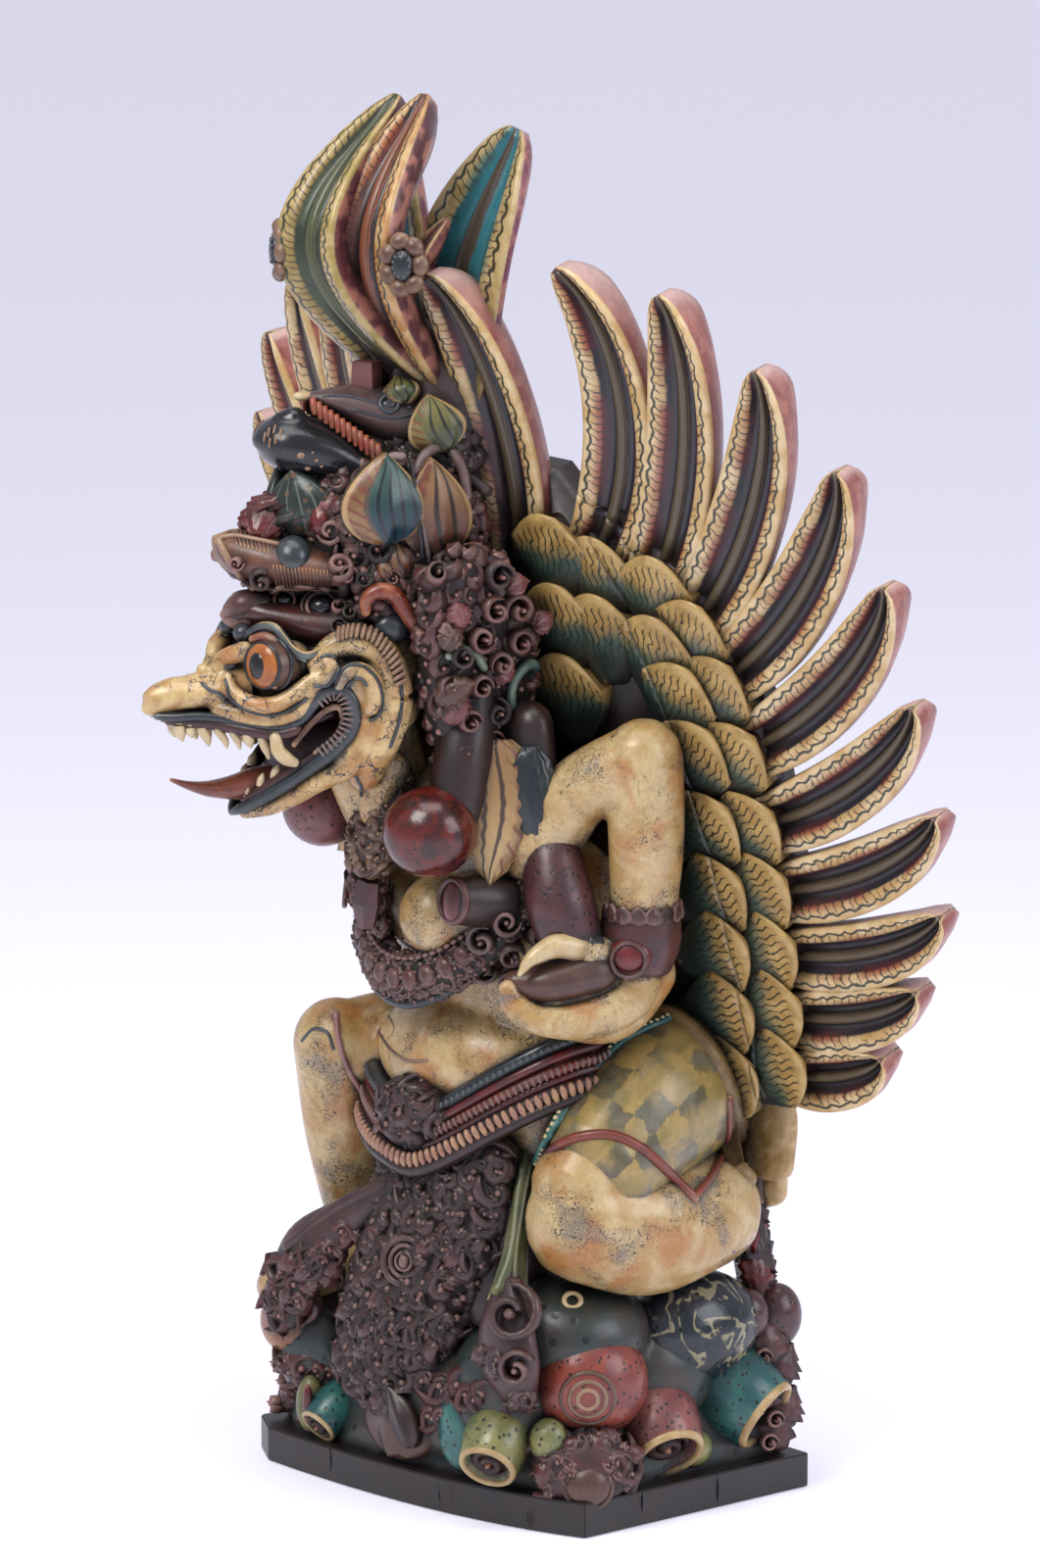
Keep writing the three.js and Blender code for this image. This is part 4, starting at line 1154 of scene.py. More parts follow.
def scale_coat(tree, colour, space):
    """Ochre fans that turn dark green towards their roots, with wavy dark veins and a plain rim."""
    x, y = chart_of(tree)
    wob = sums(tree, "SUBTRACT", noise(tree, space, 7.0, 2.0), 0.5)
    a = sums(tree, "ABSOLUTE", x)
    deep = sums(tree, "MULTIPLY_ADD", wob, 0.22, y)
    side = sums(tree, "MULTIPLY_ADD", a, -0.16, deep)
    base = over(tree, between(tree, side, 0.42, 0.74), srgb("#3C5145"), colour)
    base = over(tree, between(tree, side, 0.22, 0.5), srgb("#1F2A28"), base)
    turn = sums(tree, "SINE", sums(tree, "MULTIPLY_ADD", y, 28.0, sums(tree, "MULTIPLY", wob, 6.0)))
    bend = sums(tree, "MULTIPLY_ADD", turn, 0.035, sums(tree, "MULTIPLY_ADD", wob, 0.16, x))
    line = between(tree, stripes(tree, bend, 0.19, 0.5), 0.34, 0.43)
    line = sums(tree, "MULTIPLY", line, sums(tree, "SUBTRACT", 1.0, between(tree, deep, 0.84, 0.93)))
    base = over(tree, sums(tree, "MULTIPLY", line, 0.9), base, srgb("#1C221C"))
    return over(tree, between(tree, a, 1.02, 1.2), base, srgb("#3C2522"))


feather_paint = painted("feather_paint", "#D2BA8E", "#BE9C64", hollow="#120C0D", ridge="#D2B896", worn=0.25,
                        blotch_mm=18, gloss=0.32, detail=feather_coat("#25222A", "#5E4E36", "#8A4E46"))
scale_paint = painted("scale_paint", "#B7985E", "#9C7C44", hollow="#120F0C", ridge="#CDB684", worn=0.35,
                      blotch_mm=14, gloss=0.32, detail=scale_coat)
web_paint = painted("dark_web_paint", "#2A1A19", "#201415", hollow="#0E0909", ridge="#5A3832", worn=0.3)

# %% Wing pieces
board_coverts = one_side(coverts, 1)
block_coverts = one_side(coverts, -1)
board_web = one_side(webs[:1], 1)
block_web = one_side(webs[1:], -1)


def right_wing(forms):
    return [mirrored(form, RIGHT_WING_DROP) for form in forms]


for side, put in (("left", list), ("right", right_wing)):
    slot = side + "_wing_paint"
    piece(side + "_wing_feathers", put(board_feathers), feather_paint, slot)
    piece(side + "_wing_scales", put(board_coverts), scale_paint, slot)
    piece(side + "_wing_web", put(board_web), web_paint, slot)
piece("block_feathers", block_feathers + right_wing(block_feathers), feather_paint)
piece("block_scales", block_coverts + right_wing(block_coverts), scale_paint)
piece("block_web", block_web + right_wing(block_web), web_paint)

# %% [markdown]
# ## The body
#
# Trunk, arms, legs and feet are cream, smooth and full, and run into each other without a seam.
# They are laid out as limbs and balls at their real places and fused into one skin.

# %% Trunk, arms and legs
trunk = [
    limb([
        [0, -22, 196, 82, 60],
        [0, -36, 244, 84, 48],
        [0, -40, 290, 74, 42],
        [0, -50, 360, 84, 40],
        [0, -70, 418, 60, 36],
        [-2, -90, 456, 38, 36],
    ], reference=(0, 1, 0), dome=(0, 0)),
    ball([0, 10, 340], [62, 34, 120], [-12, 0, 0]),
    ball([0, -60, 268], [70, 45, 41]),
    *both([ball([36, -78, 364], [38, 24, 30], [8, 0, -8]), ball([-28, -90, 361], [22, 22, 22])]),
    ball([18, -99, 361], [25, 25, 25]),
]
arm = [
    limb([[66, -66, 406, 27, 25], [94, -53, 443, 22, 21], [121, -34, 463, 21, 21]]),
    ball([123, -31, 462], [22, 22, 24]),
    limb([[124, -31, 464, 23, 24], [124, -29, 412, 22, 23], [119, -27, 366, 19, 20]], reference=(0, 1, 0)),
]
near_hand = [limb([[112, -18, 334, 16, 22], [106, -44, 316, 19, 26], [96, -80, 320, 12, 20]])]
far_hand = [limb([[-112, -4, 334, 16, 22], [-104, -14, 318, 18, 24], [-88, -38, 318, 13, 18]])]
kneeling = [
    limb([[100, -58, 184, 34, 38], [108, -14, 174, 34, 42], [106, 36, 176, 33, 36]]),
    limb([[62, 62, 236, 40, 42], [88, 14, 246, 42, 46], [98, -54, 204, 32, 34]]),
]
raised = [
    limb([[-52, 4, 240, 42, 42], [-78, -48, 256, 37, 36], [-94, -82, 258, 28, 30]]),
    ball([-95, -88, 262], [27, 26, 28]),
    limb([[-96, -86, 260, 26, 28], [-97, -76, 206, 25, 29], [-100, -68, 150, 18, 20]], reference=(0, 1, 0)),
    limb([[-100, -48, 128, 20, 20], [-108, -86, 120, 25, 17], [-118, -116, 108, 24, 12]]),
]
body = piece(
    "body", [*trunk, *both(arm), *near_hand, *far_hand, *kneeling, *raised], skin, fuse=2.3, smooth=5
)

# %% [markdown]
# ## The head
#
# The head is drawn in its own frame, facing forward, and turned 20 degrees on the neck. It is a
# beast's face with a beak: round eyes under thin brows, a cream beak over a row of teeth, a
# curling lip, and a tongue that licks out. A carver draws such a profile on the block first. So
# its lines are drawn here as the photograph shows them, each at its own distance from the head's
# middle plane, and copied to the far side.

# %% Drawing on the block
HEAD_TURN = math.radians(-20)
NECK = np.array([0.0, -90.0, 0.0])
turn_head = np.array([
    [math.cos(HEAD_TURN), -math.sin(HEAD_TURN), 0],
    [math.sin(HEAD_TURN), math.cos(HEAD_TURN), 0],
    [0, 0, 1],
])
PX = 1 / 1.7


def on_neck(forms):
    return [(form[0] @ turn_head.T + NECK, form[1], form[2]) for form in forms]


def other_side(forms):
    """Forms set on the near side of the head, copied to its far side."""
    made = []
    for verts, faces, chart in forms:
        local = (verts - NECK) @ turn_head
        made.append(((local * (-1, 1, 1)) @ turn_head.T + NECK, [f[::-1] for f in faces], chart))
    return [*forms, *made]


def on_side(px, py, x):
    """The point at a distance x from the head's middle plane that shows at a pixel."""
    ray = turn_head.T @ sight(px, py)
    start = turn_head.T @ (eye - NECK)
    return start + ray * (x - start[0]) / ray[0]


def drawn(table, radius=None, **how):
    """A cord through pixels with their distance from the middle plane and a radius in mm."""
    points = [on_side(*row[:3]) for row in table]
    return cord(points, [row[3] for row in table] if radius is None else radius, **how)


def cord(points, radius, sides=10, steps=5, dome=(1, 1), reference=(0, 0, 1)):
    """A round limb whose radius is one number or one for each point."""
    radii = np.broadcast_to(radius, len(points))
    rows = [[*p, r, r] for p, r in zip(points, radii)]
    return limb(rows, sides=sides, steps=steps, dome=dome, reference=reference)


def profile(table, sides=24, steps=6, dome=(0, 1), flat=0.75):
    """A form on the middle plane from pixels of its upper and lower edge and a half width."""
    rows = []
    for px, top, low, half in table:
        high, under = on_side(px, top, 0), on_side(px, low, half * flat)
        rows.append([0, (high[1] + under[1]) / 2, (high[2] + under[2]) / 2, half, (high[2] - under[2]) / 2])
    return limb(rows, sides=sides, steps=steps, dome=dome)


# %% Beak, cheeks and throat
BEAK = [
    (250, 668, 728, 26), (232, 674, 727, 23), (215, 684, 727, 20), (195, 689, 728, 16),
    (176, 692, 730, 12), (162, 699, 733, 8.5), (154, 708, 736, 5.5), (150, 716, 732, 3)
]
CHEEK = [(322, 676, 44, 6), (340, 660, 46, 8), (362, 655, 47, 10), (383, 662, 48, 11), (397, 682, 49, 11),
         (402, 706, 49, 12), (398, 732, 48, 12), (390, 752, 46, 12), (380, 772, 42, 12), (372, 790, 36, 10)]
LOBE = [
    (346, 700, 56, 3), (352, 688, 57, 4.5), (364, 684, 58, 5.5), (377, 692, 58, 6), (383, 707, 57, 6),
    (378, 722, 55, 5)
]
SCROLL = [(316, 704, 47, 3), (328, 696, 50, 4), (337, 687, 53, 4), (339, 678, 54, 3.4), (332, 674, 54, 2.4)]
LOWER_LID = [
    (232, 690, 20, 3), (237, 704, 25, 4), (249, 714, 31, 5), (265, 720, 37, 5.5), (284, 717, 41, 5),
    (302, 706, 44, 5), (318, 694, 46, 4.5), (332, 684, 47, 3)
]
CHIN = [
    (372, 772, 44, 8), (350, 784, 42, 8), (326, 796, 36, 7), (302, 811, 27, 6), (275, 824, 15, 5),
    (250, 829, 6, 4)
]
THROAT = [(398, 786, 30, 12), (388, 806, 26, 12), (382, 824, 22, 10), (378, 840, 18, 7), (376, 850, 16, 3)]
NOSE_PX = [(226, 672, 8, 5), (238, 668, 16, 6), (250, 664, 22, 6)]
NOSTRIL_FLESH_PX = [(222, 682, 9, 4), (230, 684, 11, 4)]
LIP_FLESH_PX = [
    (222, 724, 15, 5), (250, 729, 25, 6), (280, 732, 34, 6), (306, 724, 40, 6), (322, 708, 44, 6)
]
JAW_FLESH_PX = [
    (328, 690, 44, 7), (348, 688, 46, 8), (366, 700, 47, 9), (374, 726, 46, 9), (368, 750, 45, 9),
    (352, 770, 42, 9)
]
NOSE_TIP_PX = (207, 684, 3)
flesh = [
    profile(BEAK), ball([0, -46, 514], [42, 50, 46]), ball([0, -88, 506], [36, 34, 20]),
    limb(
        [[0, -44, 486, 33, 30], [0, -34, 446, 26, 30], [0, -18, 404, 28, 26]], reference=(0, 1, 0),
        dome=(0, 0)
    ),
    ball(on_side(*NOSE_TIP_PX), [5, 4, 4.5]),
    *both(
        [
            drawn(CHEEK), drawn(LOBE), drawn(SCROLL), drawn(LOWER_LID), drawn(CHIN), drawn(THROAT),
            drawn(NOSE_PX), drawn(NOSTRIL_FLESH_PX), drawn(LIP_FLESH_PX), drawn(JAW_FLESH_PX),
            ball([30, -44, 500], [17, 28, 30]), ball([28, -98, 520], [12, 14, 14]),
        ]
    ),
]
head = piece("head_flesh", on_neck(flesh), face_paint, fuse=1.4, smooth=3)

# %% Lips, gums, teeth and tongue
lip_grey = painted(
    "slate_lip_paint", "#2E3438", "#22282C", hollow="#0B0D0F", ridge="#7E8683", worn=0.5, gloss=0.26
)
mouth_red = painted("mouth_red_paint", "#452020", "#2E1616", hollow="#120808", ridge="#7E4C42", worn=0.35)
tongue_red = painted(
    "tongue_paint", "#7A4434", "#5C3026", hollow="#1C0D0A", ridge="#A5765E", worn=0.45, gloss=0.26
)
UPPER_LIP = [
    (160, 731, 4, 2.2), (180, 732, 9, 2.8), (205, 731, 14, 2.8), (232, 734, 20, 2.8), (262, 739, 29, 3),
    (288, 741, 36, 3), (308, 734, 41, 3.4), (319, 719, 45, 4), (331, 706, 48, 4.6), (345, 703, 49, 5),
    (357, 711, 50, 5), (361, 728, 50, 5), (357, 746, 49, 5), (346, 760, 48, 5), (330, 774, 45, 4.5),
    (311, 788, 38, 4), (290, 802, 30, 4), (265, 816, 17, 4), (246, 825, 7, 3.4), (237, 829, 1, 2)
]
lips = other_side(on_neck([drawn(UPPER_LIP, steps=4)]))
piece("lips", lips, lip_grey)
GUM = [
    (172, 736, 5, 2.5), (200, 737, 11, 3.5), (228, 740, 17, 4), (258, 746, 27, 4), (284, 749, 34, 4),
    (303, 745, 39, 4)
]
LOWER_GUM = [
    (340, 760, 43, 4), (318, 774, 37, 4), (294, 790, 29, 4), (268, 806, 17, 3.4), (250, 816, 8, 2.6)
]
LOWER_MOUTH_PX = [
    (345, 712, 800, 40), (322, 718, 800, 36), (300, 752, 806, 28), (280, 786, 812, 20),
    (262, 800, 818, 11)
]
PALATE_PX = [
    (330, 700, 742, 42), (300, 724, 746, 36), (262, 730, 744, 27), (220, 722, 738, 15),
    (180, 720, 735, 7)
]
mouth = [
    profile(LOWER_MOUTH_PX, dome=(0.5, 0.5), flat=0.3),
    profile(PALATE_PX, dome=(0, 0.5), flat=0.9),
]
piece("gums", on_neck([*both([drawn(GUM), drawn(LOWER_GUM)]), *mouth]), mouth_red)
MOUTH_RIMS_PX = [
    (300, 760, 41, 1.6), (318, 738, 45, 2), (334, 724, 47, 2.2), (346, 722, 48, 2.2), (350, 735, 48, 2),
    (342, 752, 46, 2), (322, 768, 43, 1.6)
]
piece("mouth_rims", on_neck(both([drawn(MOUTH_RIMS_PX)])), umber)
TONGUE = [
    (306, 772, 800, 12), (280, 778, 810, 13), (258, 784, 815, 12), (235, 792, 816, 10),
    (212, 797, 813, 8), (192, 797, 806, 5), (175, 794, 798, 2)
]
tongue = profile(TONGUE, flat=0.1)
piece("tongue", on_neck([tongue]), tongue_red)


def tooth(px, py, x, long, radius, lean=0.1, down=-1):
    """A tooth with its foot at a pixel."""
    a = on_side(px, py, x)
    b = a + np.array([0, long * lean, long * 0.55 * down])
    c = a + np.array([0, long * (lean + 0.12), long * down])
    return cord(
        [a - (0, 0, 3 * down), a, b, c], [radius, radius, radius * 0.9, radius * 0.3], sides=9, steps=3,
        dome=(0, 0.7)
    )


UPPER_TEETH_PX = [
    (183, 742, 7, 8, 3.6), (194, 744, 10, 5, 2.8), (206, 744, 12, 10, 3.2, 0.3),
    (222, 745, 16, 11, 2.6, 0.4), (237, 746, 20, 11, 2.6, 0.3), (253, 749, 25, 8, 3.6),
    (267, 752, 29, 13, 3.0, 0.2)
]
teeth = [tooth(*row) for row in UPPER_TEETH_PX]
FANG_PX = [(281, 753, 36, 3.6), (284, 766, 37, 4.2), (292, 774, 38, 4.2), (300, 778, 38, 3)]
fang = drawn(FANG_PX, sides=12)
LOWER_TEETH_PX = [(266, 800, 16, 6, 2.6), (281, 792, 22, 6, 3.2), (252, 808, 9, 5, 2.4)]
small = [tooth(*row, down=1) for row in LOWER_TEETH_PX]
piece("teeth", on_neck(both([*teeth, fang, *small])), ivory)
INNER_LIP_PX = [
    (326, 716, 49), (336, 709, 51), (346, 709, 52), (353, 718, 52), (355, 732, 52), (351, 746, 51),
    (341, 758, 50), (328, 768, 47)
]
inner_lip = along([on_side(*row) for row in INNER_LIP_PX], 40)
strings = [
    (on_neck([(inner_lip * (side, 1, 1), [], [])])[0][0], turn_head @ (side * 0.85, -0.5, 0.0))
    for side in (1, -1)
]
strung("lip_notches", strings, ball([0, 0, 0], [1.0, 4.6, 2.2], around=8, rows=6), 3.2, mauve)

# %% Eyes and brows
eye_orange = painted(
    "orange_eye_paint", "#A9672C", "#8E4C1E", hollow="#22100A", ridge="#C08C4C", worn=0.35, gloss=0.16
)
pupil_black = painted(
    "pupil_black_paint", "#0D0E11", "#15171A", hollow="#060607", ridge="#2B2F36", worn=0.2, gloss=0.1
)
EYE_PX = (269, 679, 38)
eye_spot = frame_at(on_side(*EYE_PX), [0.5, -0.86, 0.02])
barrel_line = np.array([[0, 0, -16, 15.5, 15.5], [0, 0, -6, 15.2, 15.2], [0, 0, 0.5, 13.6, 13.6]])
eye_barrel = placed(limb(barrel_line, sides=32, reference=(0, 1, 0), dome=(0, 0)), eye_spot)
piece("eye_barrels", on_neck(both([eye_barrel])), umber)
piece("eye_irises", on_neck(both([placed(ball([0, 0, 0.5], [12.6, 13.6, 5.2]), eye_spot)])), eye_orange)
piece("eye_pupils", on_neck(both([placed(ball([-1.0, 0, 3.8], [6.6, 8.2, 3.0]), eye_spot)])), pupil_black)
piece("eye_lines", on_neck(both([placed(moved(hoop(13.4, 0.9), (0, 0, 1.2)), eye_spot),
                                 placed(moved(hoop(15.6, 1.2), (0, 0, -7)), eye_spot)])), night)
LID_BAND = [
    (258, 652, 25, 2.5), (270, 650, 31, 3.2), (282, 657, 37, 3.6), (289, 672, 41, 3.6),
    (288, 688, 43, 3), (280, 700, 42, 2)
]
piece("eye_bands", on_neck(both([drawn(LID_BAND)])), ember)
BROW = [
    (246, 655, 14, 1.6), (256, 645, 20, 2.4), (268, 639, 27, 2.8), (281, 641, 34, 2.8),
    (290, 652, 39, 2.8), (299, 663, 43, 2.6), (310, 669, 46, 2.4), (322, 667, 47, 2),
    (334, 657, 48, 1.6)
]
brow = [drawn(BROW), drawn([(px + 1, py + 5, x + 1, 1.2) for px, py, x, _ in BROW[1:7]])]
piece("brows", on_neck(both(brow)), lip_grey)
piece("brow_edges", on_neck(both([drawn([(px, py - 3, x + 1, 0.9) for px, py, x, _ in BROW])])), cream)
NOSTRILS_PX = [(228, 677, 12, 1.8), (233, 681, 14, 2), (238, 679, 16, 1.4)]
piece("nostrils", on_neck(both([drawn(NOSTRILS_PX, sides=8)])), night)
print("teeth:", len(teeth))

# %% [markdown]
# ## The crown
#
# Above the face sits a peaked crown with a little mask under its band, a black beast's head on
# top, and a bird-headed plank with saw teeth. Leaf bosses and curls cover the sides. The small
# carvings are set where the photograph shows them: each is sent along the camera's line of sight
# until it meets the carving that carries it, and copied to the far side of the head.

# %% Setting carvings by the photograph
def carrier(*forms):
    """What small carvings can be set down on."""
    verts, faces, _ = gathered(forms)
    return BVHTree.FromPolygons(verts.tolist(), faces)


def carrier_of(*made):
    parts = []
    for one in made:
        count = len(one.data.vertices)
        spots = np.empty(count * 3)
        one.data.vertices.foreach_get("co", spots)
        faces = [list(p.vertices) for p in one.data.polygons]
        parts.append((spots.reshape(-1, 3) / MM, faces, np.zeros((count, 2))))
    return carrier(*parts)


missed = []


def seen_at(ground, px, py, up=(0, 0, 1), sink=0.0, blend=0.35):
    """The place on the ground that the photograph shows at a pixel."""
    spot, normal, _, _ = ground.ray_cast(Vector(eye), Vector(sight(px, py)))
    if spot is None:
        near = eye + sight(px, py) * DISTANCE
        spot, normal, _, _ = ground.find_nearest(Vector(near))
        missed.append((px, py))
    normal = np.array(normal)
    if normal @ toward < 0:
        normal = -normal
    out = unit(unit(normal) * (1 - blend) + toward * blend)
    return frame_at(np.array(spot) - out * sink, out, up)


def spun(form, angle):
    """A form turned about its outward direction."""
    turn = np.array([
        [math.cos(angle), -math.sin(angle), 0],
        [math.sin(angle), math.cos(angle), 0],
        [0, 0, 1],
    ])
    return form[0] @ turn.T, form[1], form[2]


def curls_at(ground, table, high=5.0, sink=1.0, wide=0.27):
    """Curls listed as pixel, radius in pixels, hand and starting angle."""
    made = []
    for px, py, radius, hand, start in table:
        motif = curl(radius * PX, hand, start=start, high=high, wide=wide)
        made.append(placed(motif, seen_at(ground, px, py, sink=sink)))
    return made


def leaves_at(ground, table, ribs=2, lobes=0, high=5.0, sink=2.0, lift=0.0):
    """Leaves listed as the pixel of the foot, length and width in pixels, angle and bend."""
    made = []
    for px, py, long, wide, angle, bend in table:
        form = spun(leaf(long * PX, wide * PX, bend, ribs, lobes, high, lift), math.radians(angle))
        made.append(placed(form, seen_at(ground, px, py, sink=sink)))
    return made


def line_at(where, pixels, count=30, lift=1.0):
    """A smooth line over the carving through pixels of the photograph, and its outward directions."""
    fine = along(np.array(pixels, float), count)
    places = [seen_at(where, px, py, sink=-lift) for px, py in fine]
    return np.array([p[:, 3] for p in places]), np.array([p[:, 2] for p in places])


def cord_at(where, pixels, radius, lift=0.0, count=30):
    line, _ = line_at(where, pixels, count, lift)
    return limb(np.column_stack([line, np.full(count, radius), np.full(count, radius)]), sides=8, steps=1)


# %% Lines cut in the face
FACE_LINES = [
    [(230, 694), (236, 712), (251, 724), (270, 729), (292, 726), (312, 714)],
    [(342, 712), (344, 694), (354, 680), (370, 680), (384, 692), (390, 710), (387, 727), (378, 735)],
    [(322, 700), (334, 699), (344, 688), (345, 676), (336, 669), (328, 671)],
    [(352, 704), (358, 695), (367, 692), (374, 699)],
    [(206, 697), (214, 704), (224, 708), (231, 717)],
    [(363, 792), (368, 802), (369, 812)],
    # The last line runs down the cheek's back edge: painted shade where the cheek turns away.
    [(398, 668), (407, 690), (410, 715), (406, 740), (398, 762)],
]
lines = [cord_at(carrier_of(head), line, 1.1, 0.3) for line in FACE_LINES]
piece("face_lines", other_side(lines), night)

# %% The crown's body, peak and mask
dome = [
    ball([0, -36, 596], [46, 54, 50]),
    ball([0, -8, 560], [46, 40, 50]),
    *both([ball([42, -30, 566], [10, 32, 30])]),
]
dome_scrolls = [
    flame(13, 1, 4.5), flame(13, -1, 4.5), leaf(13, 9, 0.3, 1, 0, 4, steps=9, across=7), bead(2.4)
]
spread("crown_dome", on_neck(dome), dome_scrolls, 8.0, maroon, seed=4, turn=2.6)
back_curls = [flame(14, 1), flame(14, -1), leaf(12, 9, ribs=1, high=4, steps=9, across=7)]
spread("crown_back", on_neck([ball([0, 0, 548], [46, 38, 50])]), back_curls, 10.0, maroon, turn=2.6, seed=5)
PEAK = [
    (345, 556, 606, 46), (322, 549, 608, 43), (296, 546, 606, 37), (268, 541, 600, 29),
    (248, 539, 590, 20), (234, 541, 576, 12), (222, 547, 556, 3)
]
MASK = [
    (350, 600, 652, 46), (326, 602, 664, 42), (300, 604, 658, 35), (274, 606, 645, 26),
    (256, 606, 640, 19), (243, 609, 640, 12)
]
STALK = [(345, 588, 604, 40), (310, 590, 603, 34), (280, 590, 604, 27), (260, 588, 606, 18)]
mask_paint = painted(
    "brown_mask_paint", "#4A2620", "#36201C", hollow="#110909", ridge="#8E6450", worn=0.4, gloss=0.24
)
striated = painted(
    "striated_brown_paint", "#6E4430", "#523026", hollow="#170D0B", ridge="#B28A66", worn=0.6
)
peak_forms = on_neck([profile(PEAK, dome=(0, 0.6)), profile(STALK, dome=(0, 0.5))])
mask_forms = on_neck([profile(MASK, dome=(0, 0.8), flat=0.3)])
piece("crown_peak", peak_forms, striated)
piece("mask_face", mask_forms, mask_paint)
peak_ground = carrier(*peak_forms)
mask_ground = carrier(*mask_forms, *peak_forms)
front = carrier(*mask_forms, *peak_forms, *on_neck(dome))

# %% Ribs, rims, eyes and curls on the crown
BAND_RIBS_PX = [[(279 + 3.7 * i, 577 + i * 0.4), (283 + 3.5 * i, 600)] for i in range(17)]
TOP_RIBS_PX = [[(238 + 4 * i, 543), (242 + 4 * i, 556 + i)] for i in range(9)]
fine_ribs = [cord_at(peak_ground, rib, 0.8, 0.2, 4) for rib in BAND_RIBS_PX]
fine_ribs += [cord_at(peak_ground, rib, 0.9, 0.2, 4) for rib in TOP_RIBS_PX]
piece("peak_ribs", other_side(fine_ribs), striated)
MASK_RIM_PX = [(248, 612), (262, 608), (280, 602), (300, 597), (320, 599), (342, 604)]
PEAK_FRONT_RIM_PX = [(223, 551), (232, 568), (243, 584), (258, 600)]
PEAK_TOP_RIM_PX = [(225, 549), (240, 547), (262, 551), (285, 556)]
rims = [
    cord_at(mask_ground, MASK_RIM_PX, 2.0, 0.6),
    cord_at(peak_ground, PEAK_FRONT_RIM_PX, 2.2, 0.4),
    cord_at(peak_ground, PEAK_TOP_RIM_PX, 1.6, 0.4),
]
piece("peak_rims", other_side(rims), umber)
CROWN_GEM_SPOT = (299, 564)
gem_place = seen_at(peak_ground, *CROWN_GEM_SPOT, blend=0.5)
piece("crown_gem", [placed(ball([0, 0, 0], [10, 11, 7]), gem_place)], lip_grey)
NEAR_EYE_SPOT = (328, 619)
FAR_EYE_SPOT = (290, 613)
eye_near = seen_at(mask_ground, *NEAR_EYE_SPOT, blend=0.6)
eye_far = seen_at(mask_ground, *FAR_EYE_SPOT, blend=0.6)
eyes = [placed(ball([0, 0, 1], [6.8, 6.2, 5]), eye_near), placed(ball([0, 0, 1], [4.2, 3.4, 3.4]), eye_far)]
piece("mask_eyes", eyes, pupil_black)
eye_rims = [
    placed(hoop(8.6, 1.6, 3), eye_near), placed(hoop(11.6, 1.3, 2.2), eye_near),
    placed(hoop(6, 1.2, 2.4), eye_far)
]
piece("mask_eye_rims", eye_rims, maroon)
UPPER_MUZZLE_PX = [(266, 616, 9, 7), (250, 617, 6, 9), (238, 621, 3, 7), (230, 627, 0, 3.5)]
LOWER_MUZZLE_PX = [(252, 633, 8, 5), (240, 634, 4, 5), (232, 632, 1, 3)]
muzzle = on_neck([drawn(UPPER_MUZZLE_PX, sides=7), drawn(LOWER_MUZZLE_PX, sides=7)])
piece("mask_muzzle", muzzle, maroon)
BROW_KNOB_PX = (247, 646, 13)
piece("brow_knobs", on_neck(both([ball(on_side(*BROW_KNOB_PX), [5.4, 5.4, 5.4])])), night)
BIG_CURLS_PX = [
    (268, 590, 12, 1, 60), (243, 574, 8, -1, 0), (338, 541, 14, 1, 200), (386, 563, 15, -1, 90),
    (362, 565, 20, 1, 150), (345, 580, 15, 1, 240), (372, 590, 10, -1, 30), (352, 600, 9, 1, 0),
    (345, 622, 9, -1, 90), (358, 628, 9, 1, 40), (258, 531, 10, 1, 0), (400, 590, 9, 1, 0),
    (345, 640, 8, 1, 60),
]
big_curls = other_side(curls_at(front, BIG_CURLS_PX, high=8, wide=0.3))
piece("crown_curls", big_curls, maroon)
POINTS_PX = [(336, 530, 30, 28, 6, 0.1), (362, 540, 26, 20, -30, 0.4), (402, 572, 24, 18, -60, 0.4)]
points = other_side(leaves_at(front, POINTS_PX, ribs=2, lobes=0, high=6))
piece("crown_points", points, rose)
HAIR_LUMPS_PX = [(372 + 6.4 * i, 586 + (i % 2) * 5 + i * 1.6) for i in range(9)]
EAR_LUMPS_PX = [(417, 612), (431, 628), (446, 634), (452, 652), (428, 604), (441, 616), (458, 640)]
BAND_LUMPS_PX = [(350 + 9 * i, 612 + 5 * (i % 3)) for i in range(5)]
LUMPS = [
    (ball([0, 0, 1], [3.2, 5.2, 3.4], (0, 0, 20), around=14, rows=8), HAIR_LUMPS_PX),
    (ball([0, 0, 1], [4.6, 5.4, 4], around=16, rows=9), EAR_LUMPS_PX),
    (ball([0, 0, 1], [5, 4, 4], around=14, rows=8), BAND_LUMPS_PX),
]
lumps = [placed(lump, seen_at(front, *at)) for lump, places in LUMPS for at in places]
piece("crown_lumps", other_side(lumps), maroon)

# %% The beast's head on top
SNOUT = [
    (385, 466, 516, 28), (358, 447, 503, 28), (332, 431, 493, 27), (306, 422, 488, 25),
    (285, 424, 480, 22), (271, 432, 470, 16), (264, 442, 460, 8)
]
SNOUT_FORMS_PX = [(300, 428, 5, 8), (288, 431, 2, 7)]
snout_forms = on_neck([profile(SNOUT, dome=(0, 0.6), flat=0.5), drawn(SNOUT_FORMS_PX)])
black_gloss = painted(
    "black_gloss_paint", "#15161A", "#1C1E24", hollow="#08080A", ridge="#74747E", worn=0.35, gloss=0.16
)
piece("beast_snout", snout_forms, black_gloss, fuse=1.8)
snout_ground = carrier(*snout_forms)
FLECKS_PX = [(307, 465, 3.2), (314, 478, 2.6), (323, 470, 1.6), (328, 476, 1.6), (319, 462, 1.2)]
STROKES_PX = [(270, 446), (274, 441), (275, 452), (280, 438), (281, 448), (286, 443)]
dots = [placed(ball([0, 0, 0], [r * 0.75, r * 0.6, 0.9], around=10, rows=7), seen_at(snout_ground, px, py))
        for px, py, r in FLECKS_PX]
dots += [placed(ball([0, 0, 0], [0.9, 3.4, 0.8], around=8, rows=7), seen_at(snout_ground, *at))
         for at in STROKES_PX]
piece("snout_dots", other_side(dots), umber)


